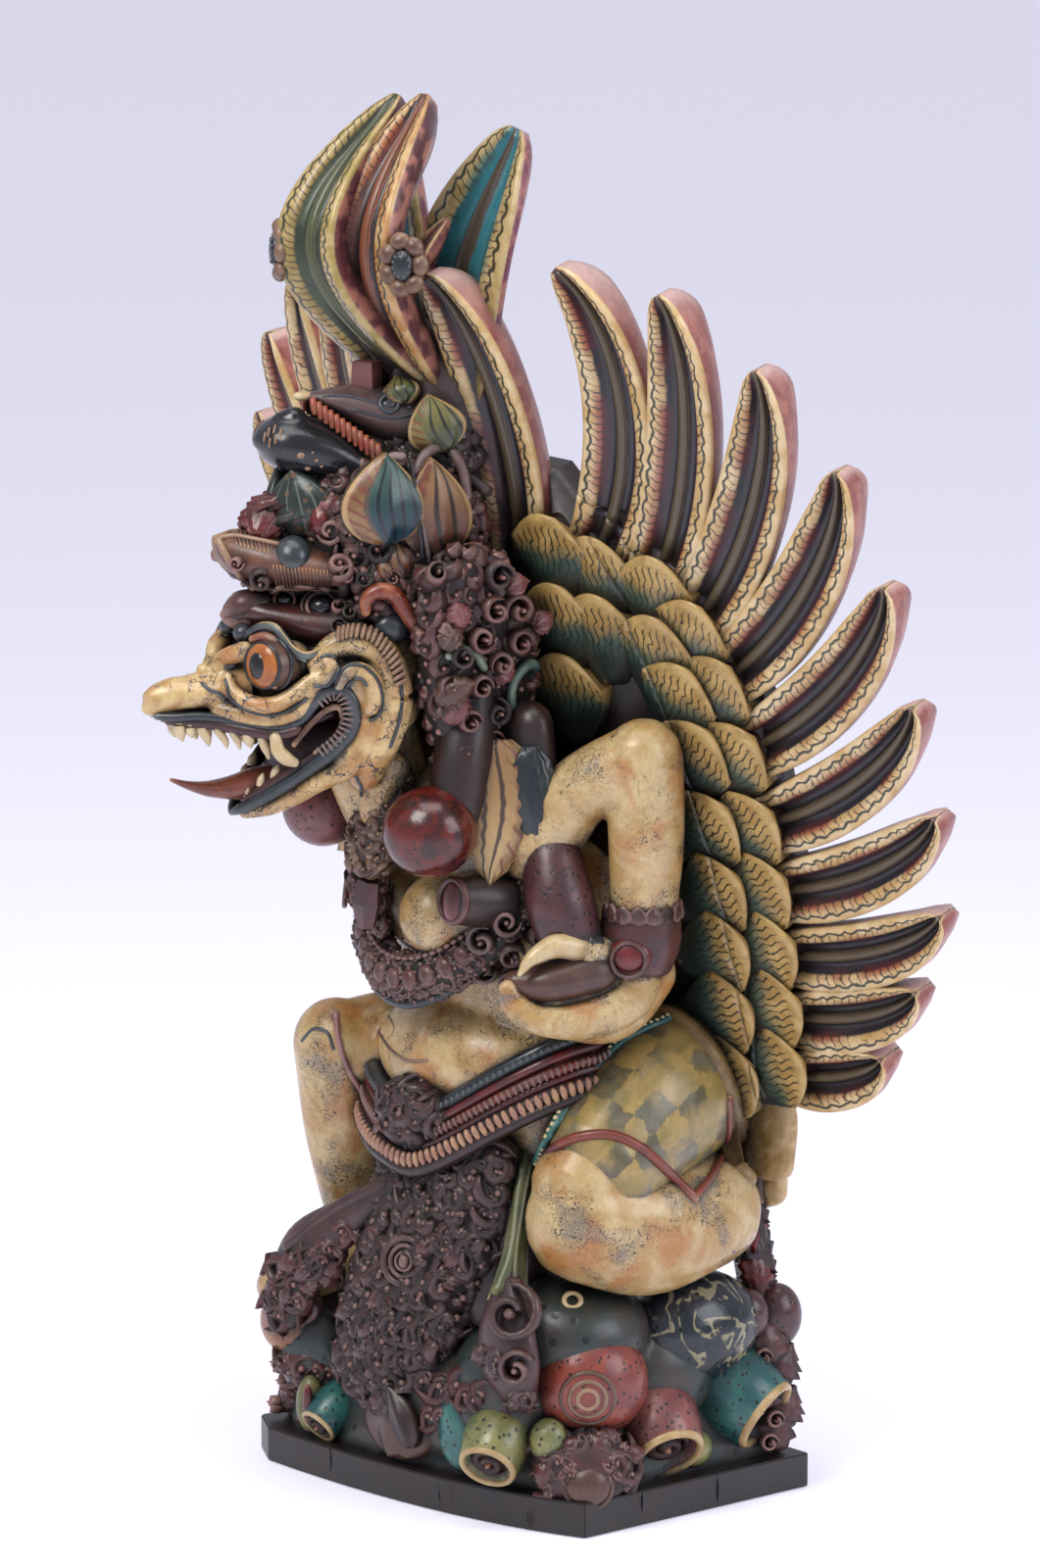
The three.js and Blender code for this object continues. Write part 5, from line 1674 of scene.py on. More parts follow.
def oval_coat(tree, colour, space):
    """Brown ovals and thin light contours on a dark green leaf."""
    cells = add(
        tree, "ShaderNodeTexVoronoi", {"Vector": space, "Scale": 1 / (5.5 * MM)}
    ).outputs["Distance"]
    spot = sums(tree, "SUBTRACT", 1.0, between(tree, cells, 0.2, 0.42))
    colour = over(tree, sums(tree, "MULTIPLY", spot, 0.8), colour, srgb("#6B4A2C"))
    x, _ = chart_of(tree)
    edge = between(tree, stripes(tree, sums(tree, "ABSOLUTE", x), 0.42), 0.4, 0.47)
    return over(tree, sums(tree, "MULTIPLY", edge, 0.6), colour, srgb("#6E7A6C"))


scaled_leaf = painted(
    "scaled_green_leaf_paint", "#1E2A24", "#26302A", hollow="#0A0E0C", ridge="#6A7466", worn=0.4,
    gloss=0.24, detail=oval_coat
)
fan_ground = carrier(*snout_forms, *on_neck(dome), *peak_forms)
FAN_PX = [(312, 551, 72, 50, 14, 0.1), (296, 551, 66, 36, -6, 0.0)]
fan = leaves_at(fan_ground, FAN_PX, ribs=3, lobes=0, high=8, sink=2)
piece("snout_fan_leaf", other_side(fan), scaled_leaf)
EDGE_LEAF_PX = [(262, 550, 74, 34, -14, 0.3), (276, 550, 70, 26, -10, 0.1), (334, 552, 44, 22, 14, -0.2)]
edge_leaf = leaves_at(fan_ground, EDGE_LEAF_PX, ribs=2, lobes=7, high=8, sink=1)
piece("snout_fan_edges", other_side(edge_leaf), wine)
FAN_CURLS_PX = [(298, 536, 8, 1, 30), (287, 520, 6, -1, 60)]
fan_curls = curls_at(fan_ground, FAN_CURLS_PX, high=9, sink=-2)
piece("snout_fan_curls", other_side(fan_curls), moss)
rear = [placed(leaf(34, 24, 0.0, 2, 0, 6), frame_at([-34, -84, 600], (-0.5, -0.8, 0.2))),
        placed(leaf(40, 26, 0.0, 2, 0, 7), frame_at([-40, -70, 618], (-0.8, -0.5, 0.2)))]
piece("far_crown_leaves", on_neck(rear), cream)

# %% The bird-headed plank with its saw teeth
PLANK = [
    (436, 405, 462, 32), (412, 398, 460, 30), (388, 392, 450, 25), (364, 392, 436, 19),
    (340, 395, 422, 12), (322, 399, 412, 6), (309, 402, 407, 2)
]
plank = on_neck([profile(PLANK, dome=(0.2, 0.6), flat=0.8)])
piece("plank_head", plank, mauve)
plank_ground = carrier(*plank)
PLANK_EYE_SPOT = (397, 412)
plank_eye = seen_at(plank_ground, *PLANK_EYE_SPOT, blend=0.2)
eye_parts = [placed(hoop(5.4, 1.3, 1.8), plank_eye), placed(ball([0, 0, 0], [4, 2.6, 1.6]), plank_eye)]
piece("plank_eyes", other_side(eye_parts), night)
PLANK_GROOVES_PX = [
    [(330, 404), (352, 404), (372, 408), (386, 412)],
    [(386, 404), (398, 401), (410, 407), (418, 416)],
    [(360, 418), (384, 424), (404, 426), (424, 422)],
]
plank_lines = [cord_at(plank_ground, line, 0.9, 0.2) for line in PLANK_GROOVES_PX]
piece("plank_grooves", other_side(plank_lines), night)
PLANK_TIP_PX = (309, 404, 0)
piece("plank_tip", on_neck([ball(on_side(*PLANK_TIP_PX), [4, 6, 3])]), ivory)
SAW_START_PX = np.array([320, 411, 8])
SAW_END_PX = np.array([386, 458, 29])
SAW_TEETH = 12
saw = []
for i in range(SAW_TEETH):
    share = i / (SAW_TEETH - 1)
    px, py, x = SAW_START_PX * (1 - share) + SAW_END_PX * share
    blade = [
        (px - 1, py - 5, x - 2, 1.8), (px, py + 4, x, 2.1), (px + 1, py + 12 + 3 * share, x + 1, 1.3)
    ]
    saw.append(drawn(blade, sides=8, steps=2, dome=(0, 0.4)))
red_saw = painted(
    "red_saw_paint", "#8A3222", "#54201C", hollow="#120707", ridge="#B9704E", worn=0.5, blotch_mm=5
)
piece("saw_teeth", on_neck(both(saw)), red_saw)

# %% Leaf bosses beside the crown
def arc_coat(first, second, line, per=0.15):
    """Long bowed bands that run with the leaf, parted by dark lines, and short strokes at one side."""
    def coat(tree, colour, space):
        x, y = chart_of(tree)
        bow = sums(tree, "MULTIPLY", y, sums(tree, "SUBTRACT", 1.0, y))
        t = sums(tree, "MULTIPLY_ADD", bow, 0.7, sums(tree, "MULTIPLY", x, 0.5))
        shade = over(tree, between(tree, y, 0.2, 0.8), srgb(first), srgb(second))
        inner = between(tree, t, -0.12, 0.0)
        base = over(tree, inner, colour, shade)
        band = between(tree, stripes(tree, t, per), 0.3, 0.42)
        base = over(
            tree, sums(tree, "MULTIPLY", sums(tree, "MULTIPLY", band, inner), 0.9), base, srgb(line)
        )
        stroke = between(tree, stripes(tree, sums(tree, "MULTIPLY_ADD", x, 0.25, y), 0.13), 0.3, 0.4)
        stroke = sums(tree, "MULTIPLY", stroke, sums(tree, "SUBTRACT", 1.0, inner))
        base = over(tree, sums(tree, "MULTIPLY", stroke, 0.8), base, srgb("#6E3328"))
        rim = between(tree, sums(tree, "ABSOLUTE", x), 0.84, 0.93)
        return over(tree, sums(tree, "MULTIPLY", rim, 0.8), base, srgb("#B99A6C"))
    return coat


teal_leaf = painted("teal_leaf_paint", "#86663F", "#644229", hollow="#130D0C", worn=0.4, gloss=0.28,
                    detail=arc_coat("#12343F", "#304C42", "#0C1114"))
orange_leaf = painted("orange_leaf_paint", "#7E5234", "#5C3222", worn=0.35, gloss=0.3,
                      detail=arc_coat("#5C3422", "#7E5E3C", "#120E12", 0.26))
green_leaf = painted("green_leaf_paint", "#7E7044", "#555A34", worn=0.35, gloss=0.3,
                     detail=arc_coat("#414A2A", "#706A3C", "#151911", 0.22))
BOSSES = carrier(
    *on_neck(dome), *on_neck([ball([40, -34, 606], [14, 60, 44]), ball([-40, -34, 606], [14, 60, 44])])
)
LEAF_A_PX = [(392, 560, 96, 58, 2, 0.1)]
leaf_a = leaves_at(BOSSES, LEAF_A_PX, ribs=1, high=11, sink=1)
LEAF_B_PX = [(444, 574, 108, 50, 0, -0.15)]
leaf_b = leaves_at(BOSSES, LEAF_B_PX, ribs=1, high=10, sink=1)
piece("teal_leaf_bosses", other_side(leaf_a), teal_leaf)
piece("orange_leaf_bosses", other_side(leaf_b), orange_leaf)
scrolls = [flame(12, 1, 4.5), flame(12, -1, 4.5), leaf(12, 9, 0.3, 1, 0, 4, steps=9, across=7), bead(2.6)]
boss_carriers = on_neck(both([ball([36, -26, 600], [13, 46, 36])]))
spread("boss_carriers", boss_carriers, scrolls, 7.5, maroon, seed=8, turn=3)
FRONT_FRAME_PX = [(362, 526), (369, 500), (382, 480), (398, 467), (410, 466)]
BACK_FRAME_PX = [(424, 482), (434, 464), (448, 456), (462, 462), (473, 482), (476, 506)]
MIDDLE_FRAME_PX = [(424, 492), (427, 520), (432, 548), (436, 572)]
frames = [
    cord_at(BOSSES, FRONT_FRAME_PX, 2.8, 0),
    cord_at(BOSSES, BACK_FRAME_PX, 3.2, 0),
    cord_at(BOSSES, MIDDLE_FRAME_PX, 1.8, 4),
]
piece("leaf_boss_frames", other_side(frames), mauve)
LOW_LEAVES_PX = [(414, 592, 44, 22, 24, 0.3), (438, 612, 56, 26, -16, 0.3), (400, 596, 34, 14, 30, 0.3)]
low_leaves = leaves_at(BOSSES, LOW_LEAVES_PX, ribs=2, high=8, sink=1)
piece("low_crown_leaves", other_side(low_leaves), orange_leaf)
dark_green = painted("dark_green_leaf_paint", "#7E7448", "#5A5A38", worn=0.4, gloss=0.3,
                     detail=arc_coat("#24342E", "#3A4A38", "#0E1412", 0.22))
SIDE_LEAF_PX = [(462, 630, 64, 40, -14, 0.3)]
side_leaf = leaves_at(BOSSES, SIDE_LEAF_PX, ribs=3, high=10, sink=-2)
piece("side_leaves", other_side(side_leaf), dark_green)
top_ground = carrier(*plank, *on_neck(dome), *on_neck([ball([0, 6, 650], [44, 44, 40])]))
spread("crown_top", on_neck([ball([0, 0, 640], [32, 34, 32])]), dome_scrolls, 8.0, mauve, seed=19, turn=3)
TOP_PX = [(456, 462, 62, 40, 24, 0.2), (414, 414, 34, 26, 30, 0.2)]
top = leaves_at(top_ground, TOP_PX, ribs=3, high=8, sink=0)
piece("top_leaves", other_side(top), green_leaf)
PEG_PX = [(374, 396, 0, 10), (374, 368, 0, 9)]
peg_rows = [[*on_side(px, py, x), half, half] for px, py, x, half in PEG_PX]
peg = on_neck([limb(peg_rows, sides=4, dome=(0, 0), reference=(0, 1, 0))])
piece("top_blocks", peg, rose, flat=True)
SPLIT_PX = [(416, 468), (420, 492), (425, 530), (431, 580), (436, 636)]
split = other_side([cord_at(BOSSES, SPLIT_PX, 1.2, 5.5)])
piece("old_cracks", split, pupil_black)

# %% Ears with their curls
EAR = [
    (373, 624, 52, 3), (374, 611, 54, 4), (387, 603, 56, 5), (402, 607, 58, 5), (413, 622, 58, 5),
    (425, 638, 58, 5.5), (435, 652, 57, 6), (440, 666, 56, 5), (433, 676, 55, 3)
]
ear_paint = painted(
    "red_orange_ear_paint", "#62200F", "#8A442A", hollow="#1C0A09", ridge="#C48C68", worn=0.5,
    gloss=0.26, blotch_mm=12
)
piece("ear_curls", on_neck(both([drawn(EAR, sides=14)])), ear_paint)
EAR_BOWL_PX = (400, 640, 50)
piece("ear_bowls", on_neck(both([ball(on_side(*EAR_BOWL_PX), [7, 11, 9])])), lip_grey)
FRINGE = [(346, 648), (360, 645), (378, 648), (392, 660), (402, 676), (408, 696)]
spots = along(np.array(FRINGE, float), 17)
fringe = [
    placed(
        ball([0, 0, 1], [1.8, 5.2, 3.2], (0, 0, -4 * k), around=10, rows=8),
        seen_at(carrier_of(head), px, py, sink=-1)
    )
    for k, (px, py) in enumerate(spots)
]
piece("face_fringe", other_side(fringe), umber)
print("carvings that met nothing:", missed)

# %% [markdown]
# ## The tail crest
#
# Four tall feathers rise from a rough foot behind the crown and bow forward over the head. They
# are the wing's feathers again, swept along lines in space, in other colours, with a flower boss
# on each side.

# %% Crest feathers
CREST_FOOT = np.array([0.0, -98.0, 670.0])
FIGURE_TOP = 852.0


def crest_feather(shift, top, bow, lie, wide, thick, aside=0.0, steps=34):
    t = np.linspace(0, 1, steps)
    middle = CREST_FOOT + np.column_stack(
        [
            shift * t + aside * np.sin(math.pi * t), lie * t - bow * np.sin(math.pi * t),
            (top - CREST_FOOT[2]) * t,
        ]
    )
    ahead = tangents(middle)
    side = np.zeros_like(middle)
    side[:, 0] = 1
    side = unit(side - ahead * ahead[:, :1])
    return swept(middle, side, np.cross(side, ahead), wide, thick)


crest_green = painted(
    "green_crest_paint", "#B79E6C", "#94803F", hollow="#120F0E", ridge="#CDB68C", worn=0.3, gloss=0.32,
    detail=feather_coat("#28301F", "#4C5730", "#5C3034", "#7E6A34", "#3C4A2C")
)
crest_orange = painted(
    "orange_crest_paint", "#BE9E6C", "#A5733F", hollow="#150E0E", ridge="#CDB48C", worn=0.3, gloss=0.32,
    detail=feather_coat("#231B1C", "#8E4A2C", "#563034", "#9A4A2C", "#7E3A26")
)
crest_teal = painted("teal_crest_paint", "#B49E70", "#9A824C", hollow="#141010", ridge="#C8B68C", worn=0.3,
                     gloss=0.32, detail=feather_coat("#2A6A74", "#44382C", "#6C3444", "#3A6A5C", "#27453F"))
piece("crest_feathers_green", [crest_feather(-13, 850, 68, -9, 54, 26, -14)], crest_green)
piece("crest_feathers_orange", [crest_feather(12, FIGURE_TOP, 54, -9, 54, 26, 6)], crest_orange)
piece("crest_feathers_teal", [
    moved(crest_feather(46, 831, 14, 20, 84, 20), (0, 12, 0)),
    crest_feather(-54, 822, 8, 20, 56, 20),
], crest_teal)
inner = [crest_feather(24, 780, 30, -2, 22, 12), crest_feather(-34, 790, 40, -2, 22, 12)]
piece("crest_inner_feathers", inner, crest_orange)
foot = [limb([[0, -80, 656, 34, 26], [2, -94, 682, 30, 20], [0, -100, 704, 18, 14]], reference=(0, 1, 0))]
piece("crest_foot", foot, mauve)


# %% Flower bosses
def flower(wide, tall, petals=7):
    parts = []
    for i in range(petals):
        a = 2 * math.pi * i / petals
        parts.append(
            ball(
                [math.cos(a) * wide * 0.66, math.sin(a) * tall * 0.66, 1.5],
                [wide * 0.36, tall * 0.3, 4.5], (0, 0, math.degrees(a)), around=16, rows=9
            )
        )
    return gathered(parts)


boss_at = [frame_at([46, -148, 757], (0.55, -0.83, 0)), frame_at([-50, -162, 757], (-0.55, -0.83, 0))]
piece("boss_petals", [placed(flower(15, 21), place) for place in boss_at], umber)
piece("boss_buttons", [placed(ball([0, 0, 4], [6.5, 9, 4]), place) for place in boss_at], night)
oval = np.array([[math.cos(a) * 5, math.sin(a) * 7, 6.4] for a in np.linspace(0, 6.2, 24)])
button_rims = [(placed((oval, [], []), place)[0], place[:, 2]) for place in boss_at]
strung("boss_button_beads", button_rims, bead(1.2), 3.2, night)
near_block = limb(
    [[16, -124, 750, 12, 14], [34, -136, 755, 11, 15], [44, -144, 757, 11, 16]], sides=12,
    dome=(0.3, 0.2)
)
blocks = [near_block, moved(mirrored(near_block), (-3, -13, 0))]
piece("boss_blocks", blocks, wine)

# %% [markdown]
# ## Dress and jewels
#
# The chest carries a carved collar, balls and a hanging leaf. Three belts climb from a clasp below
# the belly, and a deep apron of curls falls between the knees onto the rock. Each has a plain
# carved body; curls, beads and notches are then spread or set on it.

# %% Balls and falls beside the neck
def at_pixel(px, py, x=None, y=None):
    """The point behind a pixel of the photograph that has the given x or y."""
    ray = sight(px, py)
    axis, value = (0, x) if y is None else (1, y)
    return eye + ray * ((value - eye[axis]) / ray[axis])


mottled = painted(
    "mottled_red_gloss_paint", "#5E1D15", "#331315", hollow="#150808", ridge="#A3583C", worn=0.35,
    gloss=0.16, blotch_mm=11, lines=(9.0, 0.07, 14.0, 0.45), line_hex="#1A0E10"
)
pitted_rose = painted(
    "pitted_rose_paint", "#7C4A48", "#64383A", hollow="#1C0E0E", ridge="#B48C84", worn=0.5, pits_mm=4.6
)
piece("near_ball", [ball([51, -134, 421], [28, 28, 27])], mottled)
piece("far_ball", [ball([-54, -130, 420], [24, 25, 24])], pitted_rose)
falls = [
    limb([[44, -96, 506, 15, 17], [52, -108, 466, 19, 17], [54, -116, 434, 17, 16]], reference=(1, 0, 0)),
    limb([[62, -70, 480, 14, 20], [68, -70, 430, 14, 18], [72, -70, 392, 8, 10]], reference=(1, 0, 0)),
]
piece("hair_falls", both(falls), dark_wine)
COLLAR_PX = [(402, 790, 12, 10, 10), (390, 826, 6, 13, 12), (381, 852, -2, 14, 13), (376, 878, -8, 13, 13)]
collar_rows = [[*at_pixel(px, py, x=x), wide, deep] for px, py, x, wide, deep in COLLAR_PX]
collar_wrap = [limb(collar_rows, reference=(0, 1, 0), dome=(0.5, 0.4))]
low_scrolls = [flame(10, 1, 3), flame(10, -1, 3), leaf(9, 7, ribs=1, high=3, steps=9, across=7)]
spread("neck_collar", collar_wrap, low_scrolls, 6.5, umber, turn=3, seed=8)
HANGING = [[-20, -116, 414, 16, 9], [-22, -122, 384, 14, 9], [-20, -114, 350, 5, 5]]
hanging = [limb(HANGING, reference=(0, 1, 0), sides=6)]
spread("chest_pendant", hanging, low_scrolls, 5.5, maroon, turn=1.5, seed=4)
PENDANT_GEM_SPOT = (381, 886)
gem_frame = frame_at(at_pixel(*PENDANT_GEM_SPOT, x=-12), (-0.2, -1, 0.1))
piece("pendant_gem", [placed(ball([0, 0, 0], [5, 6.5, 4]), gem_frame)], wine)
DROP_PX = [(376, 898, -10, 9, 6), (374, 922, -12, 10, 8), (374, 946, -12, 6, 5)]
drop_rows = [[*at_pixel(px, py, x=x), wide, deep] for px, py, x, wide, deep in DROP_PX]
facets = [limb(drop_rows, sides=6, steps=1, reference=(0, 1, 0), dome=(0.2, 0.2))]
piece("pendant_drop", facets, maroon, flat=True)
scallop = [
    placed(
        leaf(92, 40, 0.15, 2, 8, 9, lift=2, thick=10),
        frame_at([64, -92, 478], (0.8, -0.6, 0.1), (0.14, -0.1, -1))
    )
]
scallop_paint = painted(
    "scalloped_leaf_paint", "#A98C5C", "#8A6A40", hollow="#1A1110", ridge="#C9B083", worn=0.4,
    detail=arc_coat("#8E6C44", "#B09262", "#2A1D1A", 0.22)
)
piece("scalloped_leaves", both(scallop), scallop_paint)
dark_leaf = [
    placed(
        leaf(84, 22, -0.2, 2, 9, 7, thick=8),
        frame_at([78, -80, 474], (0.86, -0.5, 0.1), (0.1, 0.02, -1))
    )
]
piece("dark_leaves", both(dark_leaf), night)

# %% Collar
turn = np.radians(np.linspace(-178, -2, 44))
low = np.abs(np.sin(turn)) ** 1.3
collar_line = np.column_stack([72 * np.cos(turn), -66 - 47 * low, 392 - 70 * low])
band_rows = np.column_stack([collar_line, 13 + 2 * low, low * 0 + 7])
collar = [limb(band_rows, sides=16, steps=1, reference=(0, -1, 0.1), dome=(0.3, 0.3))]
outward = unit(np.column_stack([np.cos(turn) * 0.7, -0.6 - 0.4 * low, turn * 0]))
spread("collar", collar, [flame(7, 1, 2.6), flame(7, -1, 2.6), bead(1.6)], 4.6, dusty, seed=21, turn=2)
strung(
    "collar_bosses", [(collar_line + outward * 6, outward)],
    ball([0, 0, 1], [5.8, 7, 3.6], around=14, rows=8), 13.0, maroon
)
strung(
    "collar_beads", [(collar_line + outward * 5 + (0, 0, 13), outward)],
    ball([0, 0, 0], [2.6, 1.5, 2], around=8, rows=6), 5.4, dusty
)
rim_rows = np.column_stack([collar_line + outward * 4 - (0, 0, 15), low * 0 + 2.6, low * 0 + 3])
piece("collar_rims", [limb(rim_rows, sides=10, steps=1)], night)
disc = [limb([[66, -86, 374, 13, 15], [62, -104, 377, 14, 16], [58, -121, 379, 13, 14]], dome=(0.2, 0.1))]
disc_place = frame_at([58, -122, 379], (-0.02, -0.99, 0.1))
TUCK = np.array([16, 34, 0])


def tucked(forms):
    """A near form, and the same drawn in at the far side, where the photograph shows none."""
    return [*forms, *[moved(mirrored(form), TUCK) for form in forms]]


piece("chest_disc", tucked(disc), dark_wine)
piece("chest_disc_faces", tucked([placed(ball([0, 0, 0], [9, 13, 4]), disc_place)]), wine)
piece("chest_disc_rims", tucked([placed(hoop(12.5, 2.2), disc_place)]), maroon)
breast_ground = carrier_of(body)
breast_edge = [(402, 900), (398, 930), (408, 958), (432, 972), (460, 970), (478, 952)]
crease = [(386, 1052), (398, 1070), (416, 1082), (436, 1082)]
BODY_GROOVES_PX = [(395, 1062), (402, 1050), (396, 1036)]
piece(
    "body_grooves",
    [
        cord_at(breast_ground, breast_edge, 1.5, -0.6), cord_at(breast_ground, crease, 1.3, -0.5),
        cord_at(breast_ground, BODY_GROOVES_PX, 0.9, -0.3)
    ],
    umber
)
SIDE_SCROLLS_PX = [
    (496, 955, 17, 1, 60), (516, 940, 15, -1, 0), (482, 972, 15, 1, 120), (520, 968, 14, 1, 0),
    (540, 950, 13, -1, 60), (500, 985, 14, -1, 0), (524, 1000, 12, 1, 60)
]
side_scrolls = curls_at(breast_ground, SIDE_SCROLLS_PX, high=8, sink=-5)
piece("breast_scrolls", side_scrolls, dusty)

# %% Held roll, claws and bracelet
FAR = np.array([8, 42, 0])


def hands(forms):
    """A near hand's forms, and the same drawn back at the far hand."""
    return [*forms, *[moved(mirrored(form), FAR) for form in forms]]


HELD = [[84, -68, 402, 18, 18], [94, -70, 376, 21, 20], [100, -64, 350, 18, 18]]
pitted_maroon = painted(
    "pitted_maroon_paint", "#4E2A2C", "#3A2022", hollow="#120A0A", ridge="#9A6C66", worn=0.5,
    pits_mm=5.5
)
piece("held_rolls", hands([limb(HELD, reference=(1, 0, 0))]), pitted_maroon)
roll = [limb([[88, -100, 331, 7, 8], [101, -84, 332, 14, 12], [112, -58, 337, 14, 13]])]
piece("palm_rolls", hands(roll), umber)
fingers = [
    limb(
        [
            [90, -108, 331, 4, 5], [93, -104, 320, 6, 8], [101, -94, 311, 8, 9],
            [112, -70, 309, 11, 12], [118, -40, 318, 14, 15], [116, -26, 336, 15, 17]
        ],
        steps=9
    ),
    limb([[114, -48, 346, 10, 10], [112, -64, 350, 10, 9]]),
]
piece("fingers", hands(fingers), skin, fuse=1.6, smooth=3)
claw = cord([[111, -66, 351], [108, -84, 355], [104, -100, 349], [101, -107, 340]], [8.5, 7.5, 4.5, 1.5])
piece("claws", hands([claw]), ivory)
piece("claw_cuffs", hands([cord([[112, -58, 351], [111, -66, 352]], [9.6, 9.4], dome=(0.3, 0.2))]), night)
wrist = [limb([[119, -27, 370, 22, 23], [117, -28, 354, 24, 25], [115, -30, 338, 21, 22]], dome=(0.2, 0.3))]
piece("bracelets", both(wrist), maroon)
cuff_turn = np.radians(np.linspace(0, 360, 40))
cuff = np.column_stack([119 + 22 * np.cos(cuff_turn), -27 + 23 * np.sin(cuff_turn), cuff_turn * 0 + 366])
cuff_out = np.column_stack([np.cos(cuff_turn), np.sin(cuff_turn), cuff_turn * 0])
strung("bracelet_points", [(cuff, cuff_out), (cuff * (-1, 1, 1), cuff_out * (-1, 1, 1))],
       moved(leaf(13, 8, ribs=1, high=2, steps=8, across=7, thick=3), (0, -2, 0)), 9.0, dusty)
boss_place = frame_at([129, -46, 347], (0.66, -0.75, 0.1))
piece("bracelet_bosses", both([placed(ball([0, 0, 0], [13, 11, 6]), boss_place)]), wine)
piece("bracelet_arches", both([placed(moved(hoop(10, 1.3, 1.6), (0, -2, 5)), boss_place)]), dusty)


# %% Belts
def belt(drop, out, half, finish, name, sides=12):
    a = np.radians(np.linspace(-192, 12, 70))
    y = -40 + (60 + out) * np.sin(a)
    swing = (np.sqrt(np.cos(a) ** 2 + 0.08) - 0.283) / 0.756
    swing = swing * (1 - 0.6 * np.clip(-3 * np.cos(a), 0, 1))
    rise = np.where(np.sin(a) < 0, 54 * swing, 54 + 24 * np.sin(a))
    line = np.column_stack([(84 + out) * np.cos(a), y, 238 - drop + rise])
    rows = np.column_stack([line, a * 0 + half, a * 0 + half * 0.8])
    piece(name, [limb(rows, sides=sides, steps=1)], finish)
    outs = np.column_stack([np.cos(a), np.sin(a), a * 0])
    return line + outs * half * 0.8, outs


top_belt = belt(-1, 3, 6, night, "blue_belt")
strung("blue_belt_beads", [top_belt], bead(2.2), 4.6, night)
belt(7, 5, 4.5, wine, "red_belt")
strung(
    "orange_belt_ribs", [belt(14, 8, 4, ember, "orange_belt")],
    ball([0, 0, 0], [1.2, 3.4, 1.8], around=8, rows=6), 4.0, dusty
)
belt(20, 7, 4, wine, "lower_red_belt")
notch_paint = painted("scallop_paint", "#A6835F", "#7E5440", hollow="#1A0F0E", worn=0.4)
strung("scalloped_belt_notches", [belt(26, 10, 4.6, maroon, "scalloped_belt")],
       ball([0, -1, 0], [2.3, 5, 2.8], around=10, rows=7), 5.4, notch_paint)
belt(34, 9, 6, dark_wine, "hip_belt")

# %% Thigh cloth with its chequers and hem
def chequer_coat(tree, colour, space):
    """Grey-blue and ochre squares of about 13 mm, as brushed on the thigh."""
    x, y = chart_of(tree)
    smear = noise(tree, space, 9.0, 3.0)
    wob = sums(tree, "MULTIPLY", sums(tree, "SUBTRACT", smear, 0.5), 0.5)
    u = sums(tree, "FLOOR", sums(tree, "ADD", sums(tree, "MULTIPLY", x, 8.0), wob))
    v = sums(tree, "FLOOR", sums(tree, "ADD", sums(tree, "MULTIPLY", y, 9.0), wob))
    odd = sums(tree, "MODULO", sums(tree, "ABSOLUTE", sums(tree, "ADD", u, v)), 2.0)
    dark = over(tree, between(tree, noise(tree, space, 22.0), 0.4, 0.6), srgb("#5A625E"), srgb("#2E3633"))
    kept = sums(tree, "MULTIPLY", odd, between(tree, noise(tree, space, 26.0, 3.0), 0.38, 0.56))
    return over(tree, sums(tree, "MULTIPLY", kept, 0.72), colour, dark)


chequered = painted(
    "chequered_cloth_paint", "#A48A52", "#857540", hollow="#231D18", ridge="#CDB184", worn=0.3,
    gloss=0.24, blotch_mm=18, detail=chequer_coat
)
near_cloth = limb(
    [[62, 62, 238, 42, 45], [88, 14, 248, 45, 50], [98, -48, 210, 38, 40]], sides=40, steps=16,
    dome=(0.9, 0.5)
)
far_cloth = limb(
    [[-50, 30, 238, 44, 44], [-60, -10, 246, 43, 44], [-74, -42, 258, 39, 40]], sides=40, steps=12,
    dome=(0.9, 0.1)
)
seat = ball([0, 42, 224], [80, 58, 52])
piece("thigh_cloths", [near_cloth, far_cloth], chequered)
piece("seat_cloth", [seat, *both([limb([[60, 80, 240, 30, 14], [78, 94, 206, 30, 14], [84, 96, 172, 26, 9]],
                                       reference=(0, 1, 0))])], skin, fuse=2.4)
ground = carrier(
    near_cloth, far_cloth,
    limb([[100, -58, 184, 34, 38], [108, -14, 174, 34, 42], [106, 36, 176, 33, 36]])
)
HEM = [(546, 1206), (556, 1180), (584, 1162), (622, 1158), (655, 1172), (686, 1200), (708, 1222)]
HEM_BACK = [(708, 1222), (728, 1196), (742, 1160), (744, 1120)]
EDGE = [(545, 1202), (566, 1150), (600, 1098), (636, 1062), (680, 1040)]
piece("cloth_hems", [cord_at(ground, HEM, 3.2), cord_at(ground, HEM_BACK, 2.4)], ember)
strap_line = [(664, 1026), (698, 1042), (728, 1074), (748, 1116), (758, 1160), (764, 1200)]
ochre = painted("ochre_cloth_paint", "#8A7040", "#6A5030", hollow="#1A120C", ridge="#BFA36C", worn=0.45)
piece("cloth_straps", [cord_at(ground, strap_line, 6.5, -3)], ochre)
FAR_KNEE_HEM_PX = [(343, 1036), (346, 1064), (356, 1092), (368, 1112)]
FAR_KNEE_GROOVE_PX = [(308, 1062), (320, 1050), (334, 1054), (340, 1070)]
far_hem = [
    cord_at(breast_ground, FAR_KNEE_HEM_PX, 1.8, 0.2),
    cord_at(breast_ground, FAR_KNEE_GROOVE_PX, 1.2, -0.3),
]
piece("far_knee_hem", far_hem[:1], rose)
piece("far_knee_groove", far_hem[1:], night)
edge_line, edge_out = line_at(ground, EDGE, 40, 1.5)
edge_rows = np.column_stack([edge_line, np.full(40, 4.0), np.full(40, 2.6)])
piece("cloth_edges", [limb(edge_rows, steps=1)], teal)
strung("cloth_edge_beads", [(edge_line + edge_out * 2, edge_out)], bead(1.7), 4.2, cream)
